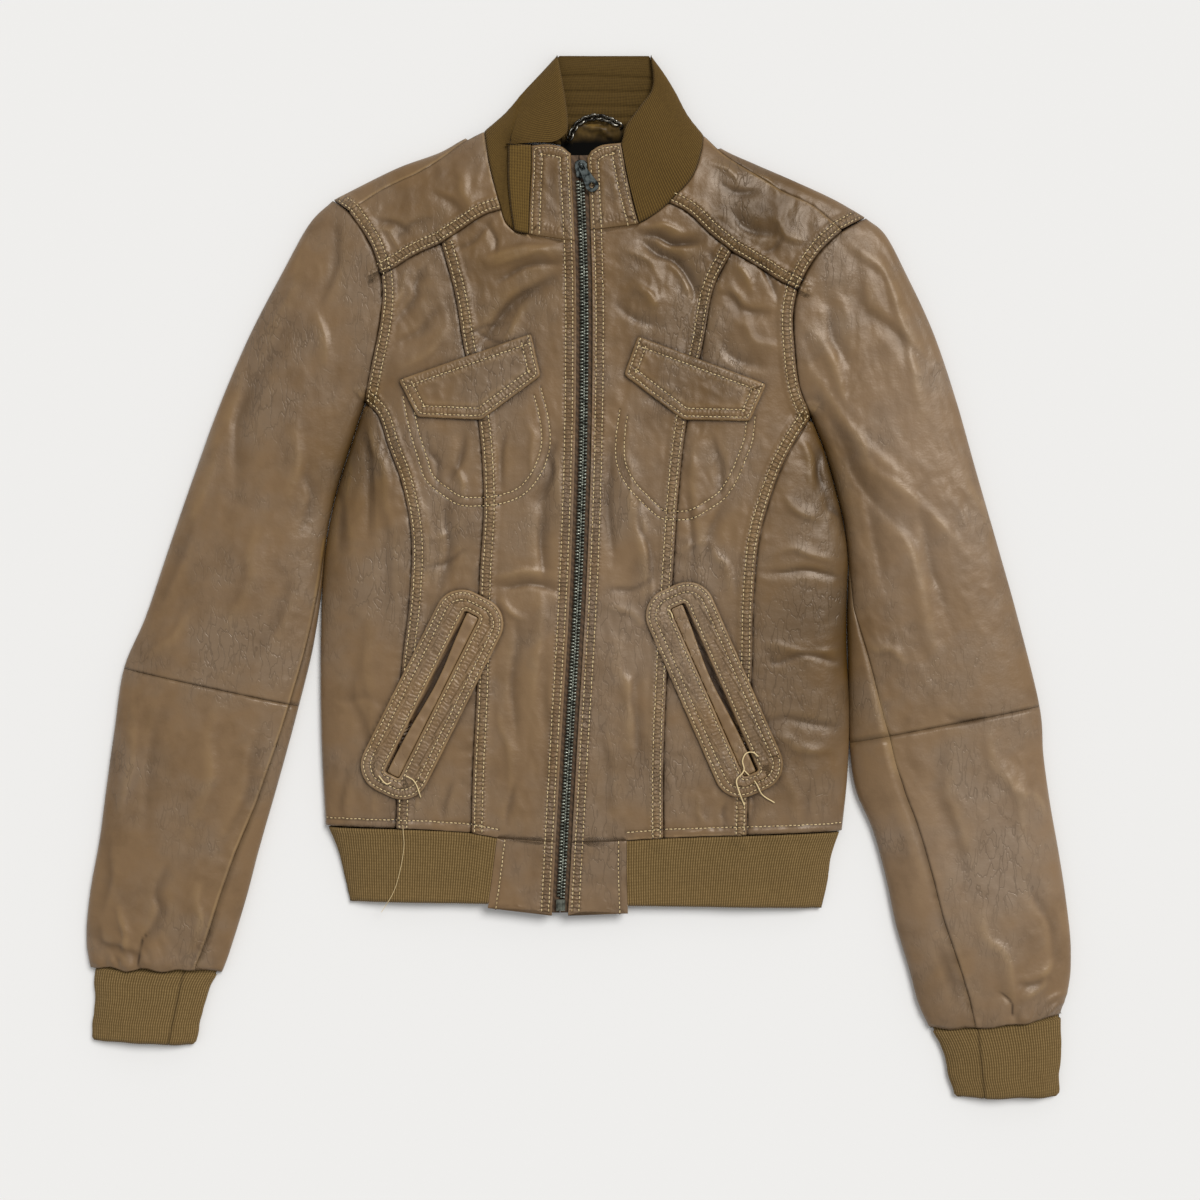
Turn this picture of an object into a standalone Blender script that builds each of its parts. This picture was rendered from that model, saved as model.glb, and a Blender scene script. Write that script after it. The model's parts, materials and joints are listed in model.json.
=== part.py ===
"""Worn leather jacket with rib-knit collar, cuffs and hem, laid flat on its back.

Lengths in the tables are millimetres; meshes are made in metres. +X is to the right of
someone looking down on the jacket, +Y runs from hem to collar and +Z points up from the
surface it lies on. "left" and "right" are the sides as seen from above. Every cloth piece
is its own object, a wall with a 0.3 mm gap to the next piece at each seam.
"""

import math

import bmesh
import bpy
import numpy as np
from mathutils import Matrix, Vector
from mathutils.geometry import delaunay_2d_cdt

MM = 0.001
SEAM_GAP = 0.3
LEATHER = 1.2
RIB = 2.0
TAPE = 0.8

# The garment's box centre in the tables' own coordinates, so that it ends up at the origin.
CENTRE_X = -0.35
CENTRE_Y = -0.6

# How the laid-out tube of cloth stands off the surface.
FOLD_HEIGHT = 3.2
CROWN = 16.0
CROWN_REACH = 55.0
RIB_FLATTENED = 0.74

# Coarseness of the faceted walls.
OUTLINE_STEP = 13.0
PANEL_STEP = 22.0
ZIP_STEP = 16.0

ZIP_HALF_GAP = 5.9
ZIP_CHAIN_HALF = 3.0
ZIP_TAPE_HALF = 10.0
SEAM_TURN = 0.006
SIDE_WRAP = 0.35
FOLD_ROWS = 25
SIDE_LEVELS = np.linspace(0.012, 0.9985, 12)
SHOULDER_LEVELS = np.linspace(0.12, 0.99, 7)
FOLD_COLUMNS = 10
FLAT_STEP = 60.0
NECK_STEP = 11.0
CURVE_STEP = 4.0
SLEEVE_COLUMNS = (14, 11)
SLEEVE_LEVELS = {"upper": 8, "lower": 6}
ELBOW_TRIM = 0.006
SLEEVE_END_TRIM = 0.02
CUFF_COLUMNS = 18
CUFF_LEVELS = 3
HEM_COLUMNS = 28
HEM_LEVELS = 4
HEM_END_ANGLES = (0.5, 2.6, 40)
NORMAL_STEP = 0.004

# Corners where seams meet: left x, left y, right x, right y.
CORNERS = {
    "neck_point": (-70, 328, 92, 325),
    "shoulder_tip": (-182, 277, 212, 264),
    "seam_armhole": (-169, 267, 193, 253),
    "yoke_armhole": (-145, 220, 160, 209),
    "underarm": (-158, 128, 171, 117),
    "yoke_neck": (-57, 268, 66, 273),
    "yoke_mid": (-101, 243, 112, 237),
    "tab_corner": (-37, 250, 44, 258),
    "hem_side": (-187, -184, 194, -188),
    "hem_princess": (-134, -185, 123, -190),
    "hem_mid": (-79, -188, 62, -192),
    "hem_tab": (-60, -192, 35, -194),
    "tab_top": (-35, 315, 31, 317),
    "tab_low": (-67, -244, 36, -248),
}

# Seams: first corner, last corner, then the stations between them, each a row of
# left x, left y, right x, right y.
SEAMS = {
    "shoulder_seam": (
        "neck_point",
        "seam_armhole",
        (-85, 319, 106, 311),
        (-102, 306, 127, 297),
        (-118, 296, 149, 283),
        (-143, 284, 172, 272),
    ),
    "shoulder_fold": (
        "neck_point",
        "shoulder_tip",
        (-84, 323, 106, 315),
        (-102, 313, 130, 304),
        (-132, 302, 160, 291),
        (-161, 288, 190, 277),
    ),
    "armhole_back": ("shoulder_tip", "seam_armhole"),
    "armhole_yoke": (
        "seam_armhole",
        "yoke_armhole",
        (-159, 253, 179, 240),
        (-152, 241, 168, 225),
    ),
    "armhole_front": (
        "yoke_armhole",
        "underarm",
        (-144, 206, 157, 192),
        (-146, 184, 158, 166),
        (-153, 151, 162, 138),
    ),
    "neck_yoke": ("neck_point", "yoke_neck", (-66, 303, 90, 312), (-61, 282, 83, 292)),
    "neck_front": ("yoke_neck", "tab_corner", (-54, 259, 59, 267), (-47, 252, 50, 261)),
    "yoke_inner": ("yoke_neck", "yoke_mid", (-69, 264, 79, 266), (-86, 253, 96, 250)),
    "yoke_outer": (
        "yoke_mid",
        "yoke_armhole",
        (-121, 234, 131, 226),
        (-137, 224, 148, 215),
    ),
    "mid_seam": (
        "yoke_mid",
        "hem_mid",
        (-91, 206, 99, 211),
        (-85, 170, 91, 170),
        (-74, 114, 79, 112),
        (-70, 56, 73, 60),
        (-73, -3, 69, 1),
        (-75, -84, 64, -84),
        (-78, -146, 62, -140),
    ),
    "princess": (
        "underarm",
        "hem_princess",
        (-148, 118, 159, 99),
        (-140, 95, 148, 78),
        (-130, 68, 139, 53),
        (-123, 30, 132, 26),
        (-124, -15, 128, -18),
        (-130, -69, 127, -62),
        (-132, -121, 125, -121),
    ),
    "side_fold": (
        "underarm",
        "hem_side",
        (-164, 107, 179, 93),
        (-172, 81, 187, 67),
        (-179, 56, 194, 40),
        (-184, 30, 198, 15),
        (-187, 4, 197, -20),
        (-190, -33, 196, -55),
        (-191, -77, 199, -100),
        (-190, -128, 198, -150),
    ),
    "hem_outer": ("hem_side", "hem_princess"),
    "hem_middle": ("hem_princess", "hem_mid", (-110, -186, 89, -191)),
    "hem_inner": ("hem_mid", "hem_tab"),
    "tab_side": (
        "tab_corner",
        "tab_top",
        (-36, 279, 41, 269),
        (-35, 300, 36, 290),
    ),
    "hem_tab_side": ("hem_tab", "tab_low", (-63, -215, 35, -220)),
}

# Free edges: rows of left x, left y, right x, right y.
EDGES = {
    "tab_head": ((-35, 315, 31, 317), (-23, 316, 16, 315), (-12, 314, 9, 311)),
    "collar_fold": (
        (-70, 328, 92, 325),
        (-54, 342, 80, 340),
        (-42, 356, 71, 357),
        (-29, 370, 63, 370),
        (-16, 384, 53, 384),
    ),
    "collar_rim": (
        (-16, 384, 53, 384),
        (-11, 357, 54, 359),
        (-8, 333, 45, 345),
        (-9, 324, 35, 331),
        (-17, 319, 33, 323),
        (-30, 318, 32, 319),
    ),
    "pocket_flap": (
        (-132, 143, 137, 140),
        (-35, 177, 43, 175),
        (-28, 146, 33, 147),
        (-71, 114, 76, 114),
        (-118, 116, 125, 113),
    ),
    "hem_rib_side": (
        (-185, -185, 192, -189),
        (-179, -199, 187, -203),
        (-174, -218, 184, -223),
        (-169, -240, 179, -245),
    ),
}

# Centre line of the zip, from its top end to the hem: x, y.
ZIP_LINE = ((0, 306), (3, 243), (4, 195), (3, 92), (-1, -18), (-7, -121), (-14, -249))

# Back of the neckline, and the folded end of the left collar band: x, y.
BACK_NECK = (11, 311)
STRIP_FOLD = ((-47.5, 252.3), (-50, 268), (-52, 290), (-52, 304), (-52, 316))
STRIP_HEAD = (-36, 316)
COLLAR_BACK_INSET = 4.0
COLLAR_RISE = 1.5
HEM_CLEARANCE = 0.6
FLAP_THICKNESS = 1.6
LAID_ON = 1.2
LIP_CLEARANCE = 0.4
STRIP_CLEARANCE = 1.5
TAB_EDGE_DROP = 5.0

# Slanted hip pockets: top x, top y, bottom x, bottom y of the slit's centre line.
POCKET_LINE = {"left": (-78, -28, -137, -146), "right": (72, -22, 126, -145)}
FRAME_HALF_WIDTH = 25.8
FRAME_END_REACH = 14.7
FRAME_CORNER = 20.0
SLIT_HALF_WIDTH = 5.9
SLIT_CORNER = 1.0

# Sleeve sections from the shoulder down: outer fold x, y; inner fold x, y; where the inner
# seam crosses the section, as a share of its width from the outer fold.
SLEEVES = {
    "left": (
        (-199, 260, -162, 119, 1.00),
        (-218, 226, -168, 103, 1.00),
        (-243, 178, -175, 79, 1.00),
        (-265, 127, -183, 52, 1.00),
        (-284, 75, -188, 26, 1.00),
        (-302, 23, -192, -10, 0.985),
        (-320, -30, -198, -53, 0.965),
        (-336, -68, -207, -96, 0.955),
        (-343, -113, -216, -130, 0.94),
        (-349, -156, -227, -169, 0.916),
        (-354, -194, -237, -204, 0.875),
        (-361, -233, -245, -235, 0.845),
        (-364, -268, -256, -271, 0.83),
        (-361, -286, -263, -290, 0.81),
    ),
    "right": (
        (226, 252, 176, 110, 1.00),
        (240, 226, 183, 93, 1.00),
        (261, 181, 190, 66, 1.00),
        (278, 131, 197, 37, 1.00),
        (293, 78, 201, 8, 1.00),
        (308, 26, 201, -27, 0.96),
        (324, -31, 201, -69, 0.88),
        (340, -96, 203, -123, 0.80),
        (343, -133, 206, -157, 0.765),
        (348, -169, 217, -188, 0.762),
        (354, -203, 227, -224, 0.752),
        (359, -235, 234, -257, 0.737),
        (363, -271, 244, -291, 0.712),
        (362, -301, 250, -314, 0.68),
        (356, -322, 255, -332, 0.667),
    ),
}
ELBOW_ROW = 8
BACK_SEAM_SHARE = 0.14

# Cuff sections from the sleeve down: outer fold x, y; inner fold x, y.
CUFFS = {
    "left": ((-358, -288, -267, -293), (-358, -313, -276, -313), (-360, -342, -283, -346)),
    "right": ((356, -325, 263, -335), (356, -349, 269, -353), (354, -384, 277, -385)),
}
CUFF_CROWN = 12.5

# The largest folds of the leather: x and y of each end, half width, height.
FOLDS = (
    (-10, 239, -73, 231, 9, 2.2),
    (-14, 221, -73, 170, 10, -2.6),
    (45, 247, 89, 203, 9, -2.6),
    (89, 203, 82, 170, 9, -1.8),
    (45, 214, 56, 199, 8, 1.8),
    (-16, 100, -27, 56, 7, -2.0),
    (-27, 56, -25, -3, 7, -1.8),
    (24, 100, 26, 12, 7, -1.8),
    (32, 70, 56, -33, 8, 1.6),
    (-60, -10, -16, -10, 7, -1.4),
    (-160, 92, -152, 12, 8, -2.0),
    (176, 90, 190, 41, 7, -1.6),
    (-268, 114, -304, 12, 15, 1.8),
    (-240, 160, -250, 60, 12, -1.6),
    (220, 215, 250, 120, 12, 1.8),
    (250, 60, 275, -40, 12, -1.6),
)

# Lining seen inside the neck, and the hanger chain across it: x, y.
LINING = ((-8, 330), (14, 336), (33, 333), (31, 320), (12, 317), (-7, 319))
CHAIN_LINE = ((-7, 322), (-4, 329), (2, 335), (12, 338), (22, 336), (31, 331))
CHAIN_RADIUS = 2.0

# Zip slider and its pull tab. The pull lies along PULL_DIRECTION from the hinge.
HINGE_POINT = (1.5, 299.5)
PULL_DIRECTION = (0.491, -0.871)
PULL_LENGTH = 16.5
PULL_RING = 4.9
PULL_HOLE = 2.1
PULL_STEM_HALF = 2.9
PULL_STEM = 5.0
PULL_HEEL = 0.7
PULL_WINDOW = (1.5, 0.8, 3.7)
PULL_THICKNESS = 1.2
RING_TANGENT = math.radians(62.0)
PULL_TILT = math.radians(3.0)
BRIDGE_RADIUS = 2.2
BRIDGE_WIRE = 0.55
HINGE_LIFT = 3.3
SLIDER_SIZE = (9.0, 13.0, 2.6)
SLIDER_SHIFT = 2.0
SLIDER_DROP = 1.5
SLIDER_BEVEL = 0.8
BRIDGE_FOOT = 1.0

# The zip's chain, tapes and end box.
ZIP_TAPE_TOP = 308.0
ZIP_END = -247.5
FRONT_END = -195.0
HEM_TAB_TOP = -195.4
HEM_TAB_END = -249.5
TAPE_LIFT = -2.9
ZIP_CHAIN_TOP = 288.0
ZIP_CHAIN_END = -236.0
CHAIN_LIFT = 0.9
CHAIN_THICKNESS = 3.0
END_BOX_SIZE = (8.0, 8.6, 3.0)
END_BOX_POINT = (-13.4, -241.6)
END_BOX_LIFT = 0.5
END_BOX_BEVEL = 0.7
TAPE_SLOT = 0.2
LINING_HEIGHT = 3.6
CHAIN_HEIGHT = 7.0

COLOURS = {
    # name: red, green, blue, metallic, roughness
    "leather": (0.23, 0.14, 0.08, 0.0, 0.42),
    "rib": (0.15, 0.08, 0.02, 0.0, 0.85),
    "lining": (0.10, 0.05, 0.015, 0.0, 0.4),
    "tape": (0.05, 0.035, 0.025, 0.0, 0.8),
    "metal": (0.12, 0.11, 0.10, 1.0, 0.4),
    "steel": (0.07, 0.065, 0.06, 1.0, 0.35),
}


# ---------------------------------------------------------------- curves


def smooth(points, step):
    """Samples of a smooth curve through the points, about one every step millimetres."""
    points = np.asarray(points, float)
    if len(points) == 2:
        count = max(1, round(np.linalg.norm(points[1] - points[0]) / step))
        return points[0] + np.linspace(0, 1, count + 1)[:, None] * (points[1] - points[0])
    chord = np.sqrt(np.linalg.norm(np.diff(points, axis=0), axis=1))
    knots = np.concatenate([[0], np.cumsum(chord)])
    slopes = np.gradient(points, knots, axis=0)
    samples = [points[:1]]
    for i, span in enumerate(chord):
        count = max(1, round(np.linalg.norm(points[i + 1] - points[i]) / step))
        t = (np.arange(1, count + 1) / count)[:, None]
        samples.append(
            (2 * t**3 - 3 * t**2 + 1) * points[i]
            + (t**3 - 2 * t**2 + t) * span * slopes[i]
            + (3 * t**2 - 2 * t**3) * points[i + 1]
            + (t**3 - t**2) * span * slopes[i + 1]
        )
    return np.concatenate(samples)


def at_shares(line, shares):
    """Points at the given shares of a polyline's length."""
    reach = np.concatenate([[0], np.cumsum(np.linalg.norm(np.diff(line, axis=0), axis=1))])
    places = np.asarray(shares) * reach[-1]
    return np.stack([np.interp(places, reach, line[:, k]) for k in range(line.shape[1])], 1)


def one_side(rows, side):
    """The left or the right x and y of rows that hold both."""
    first = 0 if side == "left" else 2
    return [row[first : first + 2] for row in rows]


def corner(name, side):
    """One corner where seams meet."""
    return one_side([CORNERS[name]], side)[0]


def seam(name, side, step=OUTLINE_STEP):
    """Samples of a seam, from its first corner to its last."""
    start, end, *between = SEAMS[name]
    return smooth([corner(start, side), *one_side(between, side), corner(end, side)], step)


def edge(name, side, step=OUTLINE_STEP):
    """Samples of a free edge."""
    return smooth(one_side(EDGES[name], side), step)


def chain(*lines):
    """One polyline through several, without repeated points where they meet."""
    joined = np.concatenate([np.asarray(line, float) for line in lines])
    keep = np.linalg.norm(np.diff(joined, axis=0), axis=1) > 0.6
    return joined[np.concatenate([[True], keep])]


def beside(line, distance):
    """The polyline moved sideways, to its left for a positive distance."""
    run = np.gradient(line, axis=0)
    run /= np.linalg.norm(run, axis=1)[:, None]
    return line + distance * np.stack([-run[:, 1], run[:, 0]], 1)


def along_zip(offset, top, bottom, step=ZIP_STEP):
    """The line at an offset to the right of the zip's, from one y down to another."""
    line = beside(smooth(ZIP_LINE, CURVE_STEP), offset)
    line = np.concatenate([[line[0] + (0, 12)], line])
    levels = np.linspace(top, bottom, max(2, round((top - bottom) / step)))
    return np.stack([np.interp(-levels, -line[:, 1], line[:, 0]), levels], 1)


def zip_edge(side, top, bottom):
    """The leather's edge beside the zip."""
    return along_zip(ZIP_HALF_GAP if side == "right" else -ZIP_HALF_GAP, top, bottom)


def neckline():
    """The back of the neckline, from the left neck point to the right one."""
    return smooth([corner("neck_point", "left"), BACK_NECK, corner("neck_point", "right")], NECK_STEP)


def inset(loop, distance):
    """The closed loop shrunk by a distance, which is negative to grow it."""
    run_in = loop - np.roll(loop, 1, axis=0)
    run_out = np.roll(run_in, -1, axis=0)
    turn = np.sum(loop[:, 0] * np.roll(loop[:, 1], -1) - loop[:, 1] * np.roll(loop[:, 0], -1))
    normals = []
    for run in (run_in, run_out):
        run = run / np.linalg.norm(run, axis=1)[:, None]
        normals.append(np.stack([-run[:, 1], run[:, 0]], 1) * np.sign(turn))
    both = normals[0] + normals[1]
    reach = np.maximum(1 + np.sum(normals[0] * normals[1], axis=1), 0.35)
    return loop + distance * both / reach[:, None]


def outline(*lines):
    """A closed loop from lines that meet end to end, without repeated points."""
    loop = chain(*lines)
    return loop if np.linalg.norm(loop[0] - loop[-1]) > 0.6 else loop[:-1]


def inside(points, loop):
    """Whether each point is inside a closed loop."""
    ends = np.roll(loop, -1, axis=0)
    x, y = points[:, 0][:, None], points[:, 1][:, None]
    spans = (loop[:, 1] > y) != (ends[:, 1] > y)
    rise = np.where(ends[:, 1] == loop[:, 1], 1e-12, ends[:, 1] - loop[:, 1])
    crossing = loop[:, 0] + (y - loop[:, 1]) * (ends[:, 0] - loop[:, 0]) / rise
    return (spans & (x < crossing)).sum(axis=1) % 2 == 1


def distance_to(points, lines):
    """Each point's distance to the nearest of several polylines."""
    nearest = np.full(len(points), np.inf)
    for line in lines:
        for start, end in zip(line[:-1], line[1:]):
            run = end - start
            share = np.clip((points - start) @ run / (run @ run), 0, 1)
            away = np.linalg.norm(points - start - share[:, None] * run, axis=1)
            nearest = np.minimum(nearest, away)
    return nearest


# ---------------------------------------------------------------- height of the cloth


def sleeve_edge(side, first):
    """The outer (first 0) or inner (first 2) fold of a sleeve."""
    start = corner("shoulder_tip" if first == 0 else "underarm", side)
    return smooth([start] + [row[first : first + 2] for row in SLEEVES[side]], 12.0)


def silhouette():
    """The folds all round the laid-out garment, leaving out its open ends."""
    lines = [np.array([edge("collar_fold", "left")[-1], edge("collar_fold", "right")[-1]])]
    for side in ("left", "right"):
        cuff = CUFFS[side]
        lines += [
            edge("collar_fold", side),
            seam("shoulder_fold", side),
            sleeve_edge(side, 0),
            sleeve_edge(side, 2),
            seam("side_fold", side),
            edge("hem_rib_side", side),
            np.array([row[0:2] for row in cuff], float),
            np.array([row[2:4] for row in cuff], float),
        ]
    return lines


SILHOUETTE = silhouette()


def height(points, crown=CROWN):
    """Height of the upper face of the cloth above the surface that it lies on."""
    points = np.asarray(points, float)
    away = distance_to(points, SILHOUETTE)
    share = np.clip(away / CROWN_REACH, 0, 1)
    dome = FOLD_HEIGHT + (crown - FOLD_HEIGHT) * np.sqrt(1 - (1 - share) ** 2.4)
    relief = np.zeros(len(points))
    for x1, y1, x2, y2, width, rise in FOLDS:
        off = distance_to(points, [np.array([(x1, y1), (x2, y2)], float)])
        relief += rise * np.exp(-((off / width) ** 2))
    return dome + relief * np.clip(away / 18.0, 0, 1)


def rib_height(points):
    """Height of the hem, which lies flatter from its seam down."""
    points = np.asarray(points, float)
    low = np.clip((-188 - points[:, 1]) / 40.0, 0, 1)
    return height(points) * (1 - (1 - RIB_FLATTENED) * low)


def flat(level):
    """An upper face at one height."""
    return lambda points: np.full(len(points), level)


def lifted(upper, lift):
    """An upper face that stands a lift above another."""
    return lambda points: upper(points) + lift


# ---------------------------------------------------------------- meshes


def new_material(name, colour):
    """A material with one of the part's colours."""
    red, green, blue, metallic, roughness = COLOURS[colour]
    material = bpy.data.materials.new(name)
    material.use_nodes = True
    shader = material.node_tree.nodes["Principled BSDF"]
    shader.inputs["Base Color"].default_value = (red, green, blue, 1)
    shader.inputs["Metallic"].default_value = metallic
    shader.inputs["Roughness"].default_value = roughness
    return material


def new_object(name, mesh, colour, parts):
    """Adds a mesh to the part's collection with its own material."""
    mesh.materials.append(new_material(name, colour))
    thing = bpy.data.objects.new(name, mesh)
    parts.objects.link(thing)
    return thing


def placed(points):
    """Table millimetres turned into the part's metres."""
    return (np.asarray(points, float) - (CENTRE_X, CENTRE_Y, 0)) * MM


def mesh_of(name, points, faces, centre=(CENTRE_X, CENTRE_Y, 0)):
    """A mesh in metres, with its faces turned outwards."""
    mesh = bpy.data.meshes.new(name)
    metres = (np.asarray(points, float) - centre) * MM
    mesh.from_pydata([tuple(point) for point in metres], [], faces)
    work = bmesh.new()
    work.from_mesh(mesh)
    bmesh.ops.recalc_face_normals(work, faces=work.faces)
    work.to_mesh(mesh)
    work.free()
    return mesh


def filled(loop, holes, step):
    """Points and triangles that fill a loop, with inner points on a grid."""
    low, high = loop.min(axis=0), loop.max(axis=0)
    columns = np.arange(math.floor(low[0] / step), math.ceil(high[0] / step) + 1)
    rows = np.arange(math.floor(low[1] / step), math.ceil(high[1] / step) + 1)
    grid = [((column + (row % 2) / 2) * step, row * step) for row in rows for column in columns]
    grid = np.array(grid, float).reshape(-1, 2)
    rings = [loop, *holes]
    closed = [np.concatenate([ring, ring[:1]]) for ring in rings]
    if len(grid):
        keep = inside(grid, loop) & (distance_to(grid, closed) > step * 0.45)
        for hole in holes:
            keep &= ~inside(grid, hole)
        grid = grid[keep]
    points = np.concatenate([*rings, grid])
    edges, start = [], 0
    for ring in rings:
        count = len(ring)
        edges += [(start + k, start + (k + 1) % count) for k in range(count)]
        start += count
    result = delaunay_2d_cdt([Vector(p) for p in points], edges, [], 0, 1e-6)
    places = np.array([tuple(p) for p in result[0]])
    triangles = np.array([tuple(face) for face in result[2]])
    middle = places[triangles].mean(axis=1)
    keep = inside(middle, loop)
    for hole in holes:
        keep &= ~inside(middle, hole)
    return places, triangles[keep]


def prism(top, triangles, thickness):
    """Points and faces of a triangulated sheet made thick straight down."""
    used, index = np.unique(triangles, return_inverse=True)
    top, triangles = top[used], index.reshape(-1, 3)
    count = len(top)
    faces = [tuple(face) for face in triangles]
    faces += [tuple(face[::-1] + count) for face in triangles]
    directed = {(a, b) for face in triangles for a, b in zip(face, np.roll(face, -1))}
    for a, b in sorted(directed):
        if (b, a) not in directed:
            faces.append((b, a, a + count, b + count))
    return np.concatenate([top, top - (0, 0, thickness)]), faces


def wall(name, loop, upper, thickness, colour, parts, holes=(), step=PANEL_STEP, gap=SEAM_GAP):
    """A wall over a flat loop: its upper face at upper(points), its lower face below it."""
    places, triangles = filled(inset(loop, gap / 2) if gap else loop, holes, step)
    top = np.column_stack([places, upper(places)])
    mesh = mesh_of(name, *prism(top, triangles, thickness))
    return new_object(name, mesh, colour, parts)


def thick_grid(name, grid, inward, thickness, colour, parts, ring=False):
    """A wall from a grid of outer points and the directions of its inner face."""
    rows, columns = grid.shape[:2]
    points = np.concatenate([grid.reshape(-1, 3), (grid + inward * thickness).reshape(-1, 3)])
    under = rows * columns
    faces = []
    for r in range(rows - 1):
        for c in range(columns if ring else columns - 1):
            d = (c + 1) % columns
            quad = (r * columns + c, r * columns + d, (r + 1) * columns + d, (r + 1) * columns + c)
            faces.append(quad)
            faces.append(tuple(k + under for k in reversed(quad)))
    rims = [[(0, c) for c in range(columns)], [(rows - 1, c) for c in range(columns)][::-1]]
    if not ring:
        rims = [rims[0] + [(r, columns - 1) for r in range(1, rows)] + rims[1][1:]]
        rims[0] += [(r, 0) for r in range(rows - 2, 0, -1)]
    for rim in rims:
        around = [r * columns + c for r, c in rim]
        for a, b in zip(around, around[1:] + around[:1]):
            faces.append((b, a, a + under, b + under))
    return new_object(name, mesh_of(name, points, faces), colour, parts)


def grid_of(surface, angles, levels):
    """Points of a surface, and unit directions to its inner side within each section."""
    points, across = surface(angles, levels)
    after, before = [surface(angles + sign * NORMAL_STEP, levels)[0] for sign in (1, -1)]
    step = after - before
    sideways = np.sum(step[:, :, :2] * across[:, None], axis=2)
    inward = np.dstack([step[:, :, 2:] * across[:, None], -sideways])
    inward /= np.linalg.norm(inward, axis=2)[:, :, None]
    return points, inward


# ---------------------------------------------------------------- tubes of cloth


def round_under(away):
    """Height of the lower face at a distance in from a fold."""
    near = np.clip(FOLD_HEIGHT - away, 0, FOLD_HEIGHT)
    return FOLD_HEIGHT - np.sqrt(FOLD_HEIGHT**2 - near**2)


def through_rows(rows, levels):
    """Smooth values between evenly numbered rows, at each level for each column."""
    rows = np.asarray(rows, float)
    slopes = np.gradient(rows, axis=0)
    base = np.clip(np.floor(levels).astype(int), 0, len(rows) - 2)
    pick = np.arange(rows.shape[1])[None, :]
    t = (levels - base)[..., None]
    start, end = rows[base, pick], rows[base + 1, pick]
    return (
        (2 * t**3 - 3 * t**2 + 1) * start
        + (t**3 - 2 * t**2 + t) * slopes[base, pick]
        + (3 * t**2 - 2 * t**3) * end
        + (t**3 - t**2) * slopes[base + 1, pick]
    )


def tube_surface(section_rows, upper):
    """A flattened tube: surface(angles, levels) with angle 0 on its first fold, pi on its
    second fold, and the upper face between them. section_rows(angles) gives, for a row of
    angles, the x and y of each section. The surface's second result is the unit direction
    across each row."""

    def surface(angles, levels):
        shares = (1 - np.cos(angles)) / 2
        places = np.concatenate(
            [through_rows(section_rows(row), level[None]) for row, level in zip(angles, levels)]
        )
        folds = through_rows(section_rows(np.array([0.0, np.pi])), levels[:, :2])
        across = folds[:, 1] - folds[:, 0]
        width = np.linalg.norm(across, axis=1)[:, None]
        away = np.minimum(shares, 1 - shares) * width
        top = upper(places.reshape(-1, 2)).reshape(places.shape[:2])
        height_here = np.where(np.sin(angles) >= 0, top, round_under(away))
        return np.dstack([places, height_here]), across / width

    return surface


def armhole(side, step=OUTLINE_STEP):
    """The armhole seam from the shoulder tip to the underarm."""
    names = ("armhole_back", "armhole_yoke", "armhole_front")
    return chain(*[seam(name, side, step) for name in names])


def snapped(angles, targets):
    """The angles, with the nearest one moved onto each target."""
    for target in targets:
        angles[np.argmin(np.abs(angles - target))] = target
    return angles


def sleeve_angles(side):
    """Columns of a sleeve's top and under pieces, with one at each corner of the armhole."""
    names = ("armhole_back", "armhole_yoke", "armhole_front")
    runs = [np.diff(seam(name, side, CURVE_STEP), axis=0) for name in names]
    lengths = [np.linalg.norm(run, axis=1).sum() for run in runs]
    first, second = angle_of(np.cumsum(lengths)[:2] / sum(lengths))
    low = -angle_of(BACK_SEAM_SHARE)
    top_columns, under_columns = SLEEVE_COLUMNS
    top = snapped(np.linspace(low, np.pi, top_columns), (first, second, -first))
    under = snapped(np.linspace(np.pi, 2 * np.pi + low, under_columns), (2 * np.pi - second,))
    return top, under


def armhole_edge(side, upper, start, end):
    """The armhole between two corners as the sleeve's columns meet it, from the top down."""
    top, under = sleeve_angles(side)
    angles = top[top >= 0] if upper else np.concatenate([-top[top < 0][::-1], under[1:][::-1]])
    line = at_shares(armhole(side, CURVE_STEP), (1 - np.cos(angles)) / 2)
    high, low = corner(start, side), corner(end, side)
    between = line[(line[:, 1] < high[1] - 2) & (line[:, 1] > low[1] + 2)]
    return np.concatenate([[high], between, [low]])


def sleeve_sections(side):
    """The x and y of every sleeve section at given shares of its width."""
    away = SEAM_GAP if side == "right" else -SEAM_GAP
    start = beside(armhole(side, CURVE_STEP), away)
    rows = np.array(SLEEVES[side], float)

    def section_rows(angles):
        shares = (1 - np.cos(angles)) / 2
        first = at_shares(start, shares)
        outer, inner = rows[:, None, 0:2], rows[:, None, 2:4]
        rest = outer + shares[None, :, None] * (inner - outer)
        return np.concatenate([first[None], rest])

    return section_rows


def cuff_sections(side):
    """The x and y of every cuff section at given shares of its width."""
    rows = np.array(CUFFS[side], float)
    outer, inner = rows[:, None, 0:2], rows[:, None, 2:4]

    def section_rows(angles):
        shares = (1 - np.cos(angles)) / 2
        return outer + shares[None, :, None] * (inner - outer)

    return section_rows


def angle_of(share):
    """The angle round a tube that stands over a share of its width."""
    return np.arccos(1 - 2 * np.clip(share, 0, 1))


def fan(low, high, count):
    """Levels of angles: for each row, count angles from its low to its high value."""
    steps = np.linspace(0, 1, count)
    return low[:, None] + (high - low)[:, None] * steps[None, :]


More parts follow.
